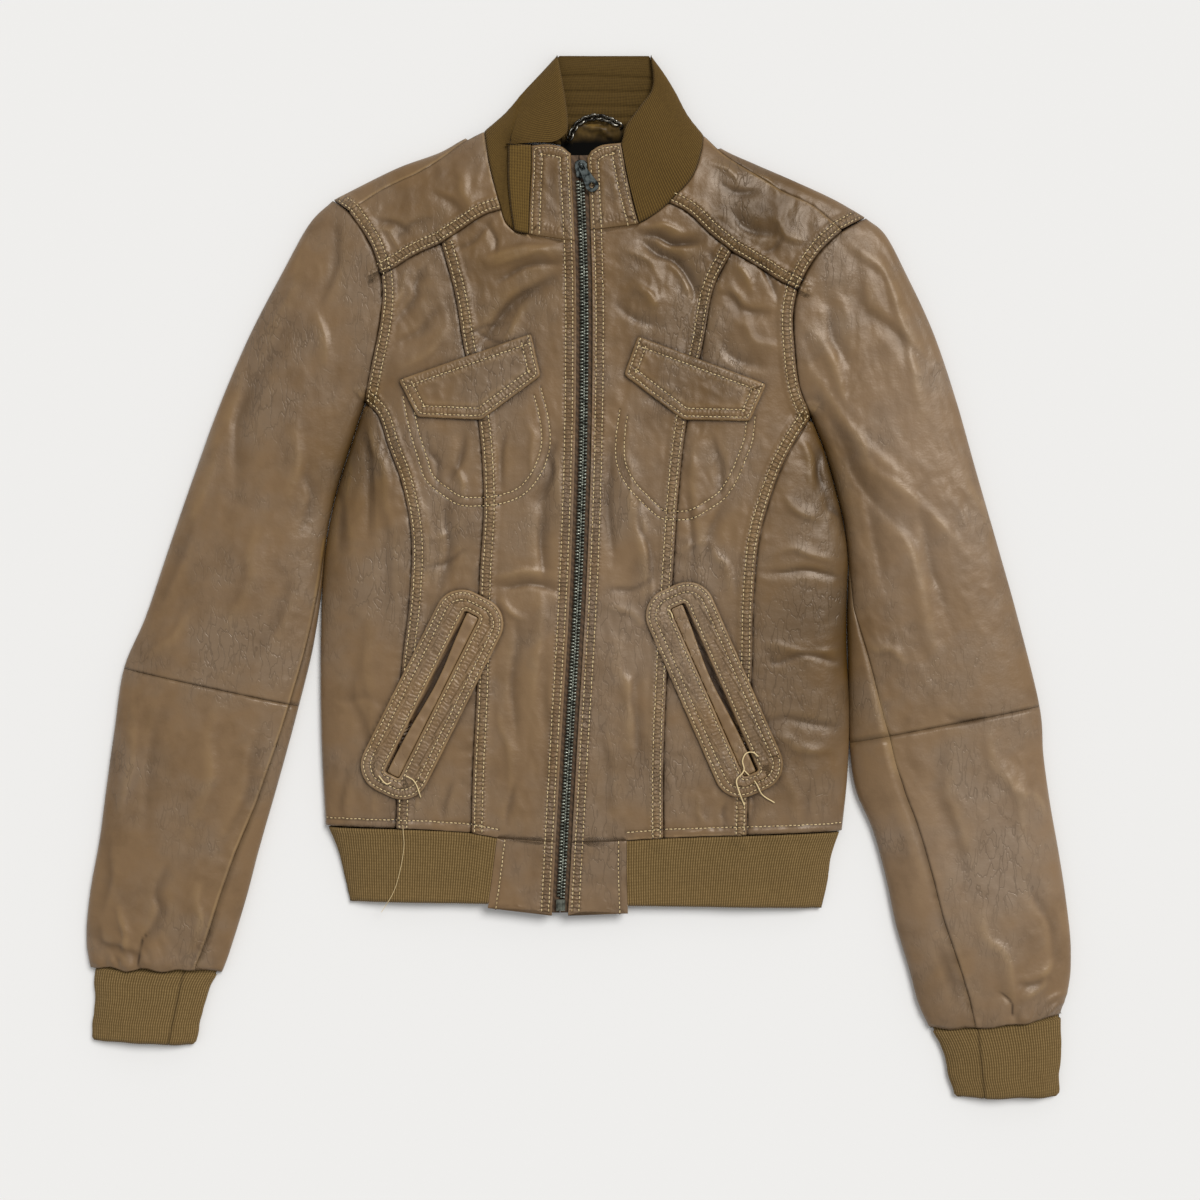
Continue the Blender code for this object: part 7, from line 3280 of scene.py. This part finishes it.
    def tab_rows(self, side: Side) -> list[Array]:
        """The two rows of stitches round a tab: its side, its head and the zip edge.

        Args:
            side: the side of the jacket.

        Returns:
            The outer and the inner row.
        """
        head = edge("tab_head", side)
        low = corner("tab_corner", side)[1] - 4
        outline = chain(
            seam("tab_side", side), head, zip_edge(side, head[-1][1] - 3, low), gap=1.0
        )
        rounded = rounded_line(evenly(outline, 1.5), 3)
        way = -1 if side is Side.LEFT else 1
        inner = rounded_line(beside(rounded_line(rounded, 4), way * 8.0), 2)
        return [beside(rounded, way * 2.5), inner]


# ---------------------------------------------------------------- pockets


@dataclass
class ChestPocket:
    """The pointed flap of one chest pocket."""

    maker: Maker
    side: Side
    edge_row: float = 2.6
    inner_row: float = 8.1
    top_row: float = 6.6

    def rows(self) -> list[Array]:
        """The rows of stitches: two round its free sides and one below its top edge.

        Returns:
            Each row's polyline.
        """
        corners = np.array(one_side(EDGES["pocket_flap"], self.side), float)
        free = rounded_line(evenly(np.concatenate([corners[1:], corners[:1]]), 1.5), 2)
        way = 1 if self.side is Side.RIGHT else -1
        top = evenly(corners[:2], 2.0)
        lines = [beside(free, way * self.edge_row), beside(free, way * self.inner_row)]
        lines[1] = lines[1][3:-3]
        return [*lines, beside(top, way * self.top_row)[1:-1]]

    def build(self) -> None:
        """Makes the flap."""
        upper = self.upper()
        node = f"pocket_flap_{self.side.value}"
        self.maker.panel(
            node, flap_outline(self.side), upper, LAMBSKIN, 2.4, gap=0, rows=self.rows(), step=1.7
        )

    def upper(self) -> Surface:
        """The height of the flap's outer face."""
        return self.maker.laid_on(flap_outline(self.side), self.rows(), FLAP_LIFT, edge_drop=1.5)


@dataclass
class HipPocket:
    """The stitched frame of one slanted hip pocket and the lip inside its slit."""

    maker: Maker
    side: Side
    lip_shift: float = 1.5
    gape: float = 2.1
    gape_at: float = 0.42

    def rows(self) -> list[Array]:
        """Two rows inside the frame's edge and one round its slit.

        Returns:
            Each row's polyline.
        """
        outer, slit = frame_outlines(self.side)
        lines = [inset(outer, 2.4), inset(outer, 7.2), inset(slit, -2.5)]
        return [closed(line) for line in lines]

    def upper(self) -> Surface:
        """The height of the frame's outer face."""
        outer, slit = frame_outlines(self.side)
        return self.maker.laid_on(outer, self.rows(), FRAME_LIFT, slit, edge_drop=1.3)

    def build(self) -> None:
        """Makes the frame and the lip."""
        outer, slit = frame_outlines(self.side)
        node = f"pocket_frame_{self.side.value}"
        self.maker.panel(
            node,
            outer,
            self.upper(),
            LAMBSKIN,
            2.2,
            holes=[slit],
            gap=0,
            rows=self.rows(),
            step=1.7,
        )
        x1, y1, x2, y2 = POCKET_LINE[self.side.value]
        run = np.array([x2 - x1, y2 - y1], float)
        run /= np.linalg.norm(run)
        across = np.array([-run[1], run[0]])
        shift = across * self.lip_shift * -self.side.out
        lip = inset(slit, 0.5)
        far = (lip - np.array([x1, y1])) @ across
        near = far * np.sign(shift @ across) < 0
        share = (lip - np.array([x1, y1])) @ run / math.hypot(x2 - x1, y2 - y1)
        wide = 0.9 + self.gape * np.exp(-(((share - self.gape_at) / 0.26) ** 2))
        lip = lip + np.where(near, wide, 0.0)[:, None] * shift
        smooth_lip = self.maker.laid_on(lip, [], FRAME_LIFT - 1.2, edge_drop=0.8)

        def raised(points: Array) -> Array:
            """The height of the lip, with short folds across it."""
            along = (points[:, :2] - (x1, y1)) @ run
            return smooth_lip(points) + 0.55 * ridged(along, points[:, 0] * 0.3, 13.0, 85)

        node = f"pocket_lip_{self.side.value}"
        self.maker.panel(node, lip, raised, PALE_LAMBSKIN, 1.6, gap=0, rows=(), step=1.5)


# ---------------------------------------------------------------- zip and neck


@dataclass
class FrontZip:
    """The front zip: tapes, two rows of teeth, a slider with its pull tab, and the end box."""

    maker: Maker
    tape_half: float = 10.7
    tape_top: float = 308.0
    tape_end: float = -247.5
    tape_drop: float = 1.65
    teeth_top: float = 289.0
    teeth_end: float = -236.5
    pitch: float = 2.5
    tooth_sunk: float = 0.35
    pull_half: float = 2.9
    pull_length: float = 16.5
    pull_ring: float = 4.9
    pull_hole: float = 2.1
    pull_thickness: float = 1.2

    def build(self) -> None:
        """Makes every piece of the zip."""
        for side in Side:
            self.tape(side)
        self.teeth()
        hinge, axes = self.hinge()
        self.slider(hinge, axes)
        self.pull(hinge, axes)
        self.end_box()

    def tape(self, side: Side) -> None:
        """Makes one tape, which shows between the teeth and the leather's edge.

        Args:
            side: the side of the jacket.
        """
        offsets = side.out * np.array([0.3, 1.2, 2.2, 3.2, 4.0, 4.8, 5.6, 6.6, 8.0, self.tape_half])
        columns = [along_zip(off, self.tape_top, self.tape_end, 2.0) for off in offsets]
        grid = np.stack(columns, axis=1)
        flat = grid.reshape(-1, 2)
        height = self.maker.cloth.plain(flat) - self.tape_drop
        height += 0.14 * noise(flat[:, 0], flat[:, 1], 7, 91)
        low = self.maker.cloth.ribbed(flat) - self.maker.cloth.plain(flat)
        grid = np.dstack([grid, (height + low).reshape(grid.shape[:2])])
        node = f"zip_tape_{side.value}"
        self.maker.sheet_grid(node, grid, ZIP_TAPE, {}, 0.6, flip=side is Side.LEFT)

    def teeth(self) -> None:
        """Makes both rows of teeth, each tooth between two of the other row."""
        # Where each section of a tooth stands across, half its length along the zip, half its
        # height: a clamp on the tape, a waist and a rounded head past the middle.
        sections = np.array(
            [
                (-3.1, 0.70, 0.70),
                (-2.9, 0.95, 1.02),
                (-1.4, 0.95, 1.08),
                (-0.9, 0.62, 0.84),
                (-0.3, 0.62, 0.84),
                (0.0, 0.84, 1.00),
                (0.5, 0.80, 0.92),
                (0.75, 0.45, 0.50),
            ]
        )
        turns = np.linspace(0, 2 * math.pi, 9)[:-1] + math.pi / 8
        rings = np.stack(
            [
                np.column_stack([np.full(8, u), v * np.cos(turns), w * np.sin(turns)])
                for u, v, w in sections * (1, 1.08, 1.08)
            ]
        )
        points, faces = rings.reshape(-1, 3), lofted(rings)
        random = np.random.default_rng(7)
        line = along_zip(0.0, self.teeth_top, self.teeth_end, 0.5)
        reach = run_lengths(line)[-1]
        for side in Side:
            count = int(reach / self.pitch)
            shares = (np.arange(count) + (0.25 if side is Side.LEFT else 0.75)) / count
            middle = at_shares(line, shares)
            run = unit(np.gradient(middle, axis=0))
            turn = random.normal(0, 0.012, count)
            across = np.stack([run[:, 1], -run[:, 0]], 1) * side.out
            across = across * np.cos(turn)[:, None] + run * np.sin(turn)[:, None]
            height = self.maker.cloth.ribbed(middle) - self.tooth_sunk
            height += random.normal(0, 0.02, count)
            x = np.column_stack([across, np.zeros(count)])
            z = np.broadcast_to((0.0, 0.0, 1.0), x.shape)
            axes = np.stack([x, np.cross(z, x), z], axis=1)
            many, groups = copies(points, faces, np.column_stack([middle, height]), axes)
            thing = mesh_piece(f"zip_teeth_{side.value}", many, groups)
            self.maker.settle(thing, GUNMETAL, ["zip_chain"])

    @staticmethod
    def hinge() -> tuple[Array, Array]:
        """The pull tab's hinge in metres, and its axes: x along the hinge, y along the tab.

        Returns:
            Its place and its three axes.
        """
        joint = next(j for j in frame["joints"] if j["child"] == "pull")
        x = np.array(joint["axis"], float)
        x /= np.linalg.norm(x)
        z = np.array([0.0, 0.0, 1.0])
        return np.array(joint["pos_m"], float), np.stack([x, np.cross(z, x), z])

    @staticmethod
    def place_of(origin: Array, axes: Array) -> Matrix:
        """The matrix of a place with the given axes as its x, y and z."""
        turn = Matrix([list(axis) for axis in axes]).transposed().to_4x4()
        return Matrix.Translation(Vector(origin)) @ turn

    def slider(self, hinge: Array, axes: Array) -> None:
        """Makes the slider's two winged plates, its post and the bridge that holds the pull.

        Args:
            hinge: the pull's hinge, in metres.
            axes: the hinge's axes.
        """
        half = np.array([(0, 6.4), (2.4, 6.3), (4.0, 5.2), (4.45, 3.4), (4.4, 0.6), (3.7, -2.2)])
        half = np.concatenate([half, [(3.35, -5.2), (2.7, -6.2), (0, -6.4)]])
        outline = np.concatenate([half, (half * (-1, 1))[::-1][1:-1]])
        box_low, box_high = (np.array(corner_of) for corner_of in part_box("zip_slider"))
        middle = (box_low + box_high) / 2
        middle[:2] = hinge[:2] - np.array([0.0, 0.002])
        plate_points, plate_faces = plate(outline, 0.95, 0.28)
        upper = plate_points + (0, 0, -1.0)
        crowned = upper.copy()
        crowned[:, 2] += np.where(upper[:, 2] > -1.0, 0.25 * np.exp(-((upper[:, 0] / 3) ** 2)), 0)
        lower = plate_points + (0, 0, -3.6)
        post, post_faces = plate(outline * (0.28, 0.2) + (0, 4.6), 2.2, 0.1)
        rims = []
        for sign in (-1, 1):
            line = np.array([(4.0, 4.6), (4.1, 2.0), (3.4, -2.4), (3.1, -5.6)])
            line = smooth(line * (sign, 1), 1.0)
            rims.append(tube(np.column_stack([line, np.full(len(line), -1.55)]), 0.42, 6))
        arch = [(0.0, -2.2, -1.6)]
        for turn in np.linspace(0, math.pi, 13):
            arch.append((0.0, -2.2 * math.cos(turn), 2.2 * math.sin(turn)))
        arch.append((0.0, 2.2, -1.6))
        bridge, bridge_faces = tube(np.array(arch), 0.55, 10)
        bridge = bridge * (1.5, 1, 1) @ axes + (0, 2.0, 1.5)
        parts = [
            (crowned, plate_faces),
            (lower, plate_faces),
            (post + (0, 0, -2.3), post_faces),
            *rims,
            (bridge, bridge_faces),
        ]
        points, faces = joined(parts)
        middle[2] = hinge[2] - 0.0015
        thing = mesh_piece("zip_slider_cast", points, faces, place=Matrix.Translation(middle))
        self.flat_shaded(thing)
        self.maker.settle(thing, AGED_BRASS, ["zip_slider"])

    def pull(self, hinge: Array, axes: Array) -> None:
        """Makes the pull tab: a stem with a window for the bridge, and a ring at its end.

        Args:
            hinge: its hinge, in metres.
            axes: the hinge's axes.
        """
        half, length, ring, hole = self.pull_half, self.pull_length, self.pull_ring, self.pull_hole
        meet = math.radians(62)
        turns = np.linspace(meet - math.pi, math.pi - meet, 34)[::-1]
        head = [(ring * math.sin(t), length + ring * math.cos(t)) for t in turns]
        right = [(half * 0.72, -0.7), (half, 0.0), (half, 4.6)]
        left = [(-x, y) for x, y in right[::-1]]
        loop = np.array([*right, *head, *left])
        window = np.array([(-1.5, 0.8), (1.5, 0.8), (1.5, 3.7), (-1.5, 3.7)], float)
        circle = np.linspace(0, 2 * math.pi, 25)[:-1]
        eye = np.column_stack([hole * np.cos(circle), length + hole * np.sin(circle)])
        points, faces = plate(loop, self.pull_thickness, 0.3, [window, eye])
        rim = np.column_stack([eye - (0, length), np.full(len(eye), 0.5)])
        rim[:, :2] *= (hole + 0.55) / hole
        rim[:, 1] += length
        bead = tube(rim, 0.3, 6, ring=True)
        points, faces = joined([(points, faces), bead])
        place = self.place_of(hinge, axes) @ Matrix.Rotation(-math.radians(3.0), 4, "X")
        thing = mesh_piece("zip_pull_cast", points, faces, place=place)
        self.flat_shaded(thing)
        self.maker.settle(thing, AGED_BRASS, ["zip_pull"], body="pull")

    def end_box(self) -> None:
        """Makes the box and pin that the zip starts from, at the hem."""
        low, high = (np.array(corner_of) for corner_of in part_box("zip_end_box"))
        size = (high - low) / MM
        half = size[:2] / 2
        loop = np.array([(-1, -1), (1, -1), (1, 1), (-1, 1)], float) * (half - (0.6, 0.1))
        box = plate(loop, size[2] * 0.9, 0.5)
        end, level = half[1] - 0.9, size[2] * 0.36
        lips = [tube(np.array([(x, -end, level), (x, end, level)]), 0.75, 8) for x in (-1.9, 1.9)]
        points, faces = joined([box, *lips])
        thing = mesh_piece(
            "zip_end_box_cast", points, faces, place=Matrix.Translation((low + high) / 2)
        )
        self.flat_shaded(thing)
        self.maker.settle(thing, GUNMETAL, ["zip_end_box"])

    @staticmethod
    def flat_shaded(thing: bpy.types.Object) -> None:
        """Shades a piece's faces flat across its sharp edges."""
        thing.data.set_sharp_from_angle(angle=math.radians(35))


@dataclass
class NeckFittings:
    """The satin lining that shows inside the neck, and the hanger chain across it."""

    maker: Maker
    lining_low: float = 288.0
    fold_foot: float = 327.0
    chain_height: float = 7.0
    link_pitch: float = 3.3
    link_half: tuple = (3.0, 2.35)
    wire: float = 0.92

    def build(self) -> None:
        """Makes the lining and the chain."""
        lining = smooth([*LINING, LINING[0]], 2.0)[:-1]
        edge_points = lining[lining[:, 1] > 320]
        skirt = np.array([(30.0, self.lining_low), (-14.0, self.lining_low)])
        order = np.argsort(edge_points[:, 0])
        top = edge_points[order]
        sides = ((top[-1], skirt[0]), skirt, (skirt[1], top[0]))
        loop = loop_of(top, *[evenly(np.array(pair), 2.0) for pair in sides], gap=0.8)
        thing = self.maker.panel(
            "neck_lining", loop, self.lining_height, SATIN, 0.6, gap=0, rows=(), step=1.6
        )
        # Painted shade on the lining, to near black below the fold's foot, where it goes down
        # inside.
        y = np.array([point.co.y for point in thing.data.vertices]) / MM + CENTRE_Y
        sunk = eased((self.fold_foot - y) / 7.0).astype(np.float32)
        thing.data.attributes["deep"].data.foreach_set("value", sunk)
        self.chain()

    @staticmethod
    def lining_height(points: Array) -> Array:
        """The lining's soft folds, which follow the back of the neck.

        Args:
            points: rows of x and y.

        Returns:
            The heights, in millimetres.
        """
        x, y = points.T
        fold = y - 329.5 - 0.007 * (x - 12) ** 2
        bends = 1.6 * np.exp(-((fold / 2.4) ** 2)) + 1.1 * ridged(x * 0.7, y + 0.5 * x, 9, 95)
        return 4.4 + bends * eased((y - 321) / 5) - 3.0 * eased((327 - y) / 7)

    def chain(self) -> None:
        """Makes the chain's links, each turned from the one before."""
        line = smooth(CHAIN_LINE, 0.5)
        count = round(run_lengths(line)[-1] / self.link_pitch)
        middle = at_shares(line, (np.arange(count) + 0.5) / count)
        run = unit(np.gradient(middle, axis=0))
        turns = np.linspace(0, 2 * math.pi, 19)[:-1]
        wide, high = self.link_half
        oval = np.column_stack([wide * np.cos(turns), high * np.sin(turns), np.zeros(18)])
        points, faces = tube(oval, self.wire, 6, ring=True)
        x = np.column_stack([run, np.zeros(count)])
        up = np.broadcast_to((0.0, 0.0, 1.0), x.shape)
        side = np.cross(up, x)
        roll = np.where(np.arange(count) % 2, 0.95, -0.62)[:, None]
        y = np.cos(roll) * side + np.sin(roll) * up
        z = np.cross(x, y)
        places = np.column_stack([middle, np.full(count, self.chain_height)])
        many, groups = copies(points, faces, places, np.stack([x, y, z], axis=1))
        thing = mesh_piece("hanger_chain_links", many, groups)
        self.maker.settle(thing, DARK_STEEL, ["hanger_chain"])


# ---------------------------------------------------------------- thread


@dataclass
class Stitching:
    """Rows of lockstitches in straw-coloured thread."""

    maker: Maker
    spacing: float = STITCH_PITCH
    length: float = 2.35
    thickness: float = 0.8
    sewn: int = 0

    def sew(
        self, name: str, lines: Sequence[Array], upper: Surface, under: Sequence[Array] = ()
    ) -> None:
        """Sews rows of stitches.

        Args:
            name: the piece's name.
            lines: the rows.
            upper: the height of the face that they lie on.
            under: the outlines of pieces laid over them, which hide their stitches.
        """
        # Where each section of a stitch stands along it, its thickness and its lift, which
        # takes both ends down into their holes.
        sections = ((-0.5, 0.4, -0.40), (-0.36, 0.9, -0.05), (0, 1.0, 0.12), (0.36, 0.9, -0.05))
        sections = (*sections, (0.5, 0.4, -0.40))
        turns = np.linspace(0, 2 * math.pi, 6)[:-1]
        rings = []
        for share, thick, lift in sections:
            half = thick * self.thickness / 2
            along = np.full(5, share * self.length)
            rings.append(np.stack([along, half * np.cos(turns), lift + half * np.sin(turns)], 1))
        rings = np.stack(rings)
        points, faces = joined([(rings.reshape(-1, 3), lofted(rings)), self.hole()])
        self.sewn += 1
        random = np.random.default_rng(100 + self.sewn)
        places, axes = [], []
        for line in lines:
            spots = evenly(line, self.spacing)
            middle = (spots[:-1] + spots[1:]) / 2
            run = unit(np.diff(spots, axis=0))
            turn = random.normal(0, 0.06, len(run))[:, None]
            side = left_of(run)
            middle = middle + side * random.normal(0, 0.10, (len(run), 1))
            run = run * np.cos(turn) + side * np.sin(turn)
            ends = [upper(middle + sign * run) for sign in (-1.0, 1.0)]
            x = unit(np.column_stack([run, (ends[1] - ends[0]) / 2]))
            tilt = [upper(middle + sign * side) for sign in (-1.0, 1.0)]
            y = np.column_stack([side, (tilt[1] - tilt[0]) / 2])
            z = unit(np.cross(x, y))
            y = np.cross(z, x)
            x = x * random.normal(1, 0.05, (len(run), 1))
            shown = ~np.any([inside(middle, loop) for loop in under], axis=0)
            shown = np.broadcast_to(shown, len(run))
            spots = np.column_stack([middle, (ends[0] + ends[1]) / 2 + 0.12])
            places.append(spots[shown])
            axes.append(np.stack([x, y, z], axis=1)[shown])
        places, axes = np.concatenate(places), np.concatenate(axes)
        many, groups = copies(points, faces, places, axes)
        tint = np.repeat(np.clip(random.normal(0.6, 0.25, len(places)), 0, 1), len(points))
        # The needle hole cones get the painted shade colour.
        hole = np.tile(np.arange(len(points)) >= rings.size // 3, len(places)).astype(float)
        thing = mesh_piece(name, many, groups, {"tint": tint, "hole": hole})
        self.maker.settle(thing, THREAD)

    def hole(self) -> tuple[Array, list[Array]]:
        """The needle's pit before a stitch: a low cone on the leather, coloured as painted shade.

        Returns:
            Its points and faces.
        """
        turns = np.linspace(0, 2 * math.pi, 8)[:-1]
        ring = np.column_stack([0.5 * np.cos(turns), 0.72 * np.sin(turns), np.full(7, -0.22)])
        points = np.concatenate([ring, [(0, 0, -0.04), (0, 0, -0.3)]]) + (self.spacing / 2, 0, 0)
        after = (np.arange(7) + 1) % 7
        top = np.column_stack([np.arange(7), after, np.full(7, 7)])
        return points, [np.concatenate([top, top[:, [1, 0, 2]] + (0, 0, 1)])]


@dataclass
class LooseThreads:
    """Thread ends that have come away at the hip pockets and the left hem."""

    maker: Maker
    radius: float = 0.5
    hem_radius: float = 0.2
    lift: float = 1.0

    def build(self) -> None:
        """Lays the thread ends on the leather."""
        for number, line in enumerate(LOOSE_THREADS):
            points = smooth(line, 0.8)
            random = np.random.default_rng(300 + number)
            reach = run_lengths(points)
            height = self.maker.cloth.upper(points) + self.lift
            frame_edge = frame_outlines(Side.LEFT if points[0][0] < 0 else Side.RIGHT)[0]
            on_frame = inside(points, frame_edge) * (FRAME_LIFT + 0.5)
            height += np.convolve(np.pad(on_frame, 3, mode="edge"), np.full(7, 1 / 7), "valid")
            height += 0.7 * np.abs(noise(reach, reach * 0, 11, 97 + number))
            thin = number == len(LOOSE_THREADS) - 1
            radius = (self.hem_radius if thin else self.radius) * random.uniform(0.85, 1.1)
            tube_points, faces = tube(np.column_stack([points, height]), radius, 6)
            tint = np.full(len(tube_points), random.uniform(0.7, 1.0))
            thing = mesh_piece(f"loose_thread_{number + 1}", tube_points, faces, {"tint": tint})
            self.maker.settle(thing, THREAD)


# ---------------------------------------------------------------- studio


@dataclass(frozen=True)
class Studio:
    """The camera, the soft light and the plain floor."""

    camera_at: tuple = (0.0158, -0.0172, 1.36)
    lens: float = 55.1
    floor_size: float = 6.0
    floor_level: float = -0.0003
    key_from: tuple = (0.56, 0.66, 1.18)
    key_spread: float = 0.50
    key_strength: float = 2.15
    sky: float = 0.45

    def build(self, finishes: Finishes) -> None:
        """Sets up the scene round the garment.

        Args:
            finishes: the materials made so far.
        """
        scene = bpy.context.scene
        scene.view_settings.view_transform = "Standard"
        world = bpy.data.worlds.new("studio")
        world.use_nodes = True
        world.node_tree.nodes["Background"].inputs["Color"].default_value = (1, 1, 1, 1)
        world.node_tree.nodes["Background"].inputs["Strength"].default_value = self.sky
        scene.world = world
        camera = bpy.data.objects.new("camera", bpy.data.cameras.new("camera"))
        camera.data.lens = self.lens
        camera.data.sensor_width = 36.0
        camera.data.clip_start = 0.01
        camera.location = self.camera_at
        scene.collection.objects.link(camera)
        scene.camera = camera
        key = bpy.data.lights.new("key", "SUN")
        key.angle = self.key_spread
        key.energy = self.key_strength
        lamp = bpy.data.objects.new("key", key)
        lamp.location = self.key_from
        lamp.rotation_euler = (-Vector(self.key_from)).to_track_quat("-Z", "Y").to_euler()
        scene.collection.objects.link(lamp)
        half = self.floor_size / 2 / MM
        points = [(-half, -half, 0), (half, -half, 0), (half, half, 0), (-half, half, 0)]
        place = Matrix.Translation((0, 0, self.floor_level))
        floor = mesh_piece("floor", np.array(points), [np.array([[0, 1, 2, 3]])], place=place)
        floor.data.materials.append(finishes.of(PAPER))


def main() -> None:
    """Builds the jacket, sub-assembly by sub-assembly, and then the studio."""
    logging.basicConfig(level=logging.INFO, format="%(message)s")
    cloth = Cloth()
    finishes = Finishes()
    maker = Maker(cloth, finishes)
    stitching = Stitching(maker)
    Back(maker).build()
    Fronts(maker).build()
    Sleeves(maker).build()
    HemBand(maker).build()
    collar = Collar(maker)
    collar.build()
    FrontZip(maker).build()
    NeckFittings(maker).build()
    for side in Side:
        for pocket in (ChestPocket(maker, side), HipPocket(maker, side)):
            pocket.build()
            name = type(pocket).__name__.lower().replace("pocket", "_pocket")
            stitching.sew(f"stitches_{name}_{side.value}", pocket.rows(), pocket.upper())
        for name, rows in cloth.stitch_rows(side).items():
            laid = [flap_outline(side), frame_outlines(side)[0]]
            stitching.sew(f"stitches_{name}_{side.value}", rows, cloth.upper, laid)
        stitching.sew(
            f"stitches_collar_tab_{side.value}", collar.tab_rows(side), collar.tab_upper(side)
        )
    LooseThreads(maker).build()
    Studio().build(finishes)


if __name__ == "__main__":
    main()
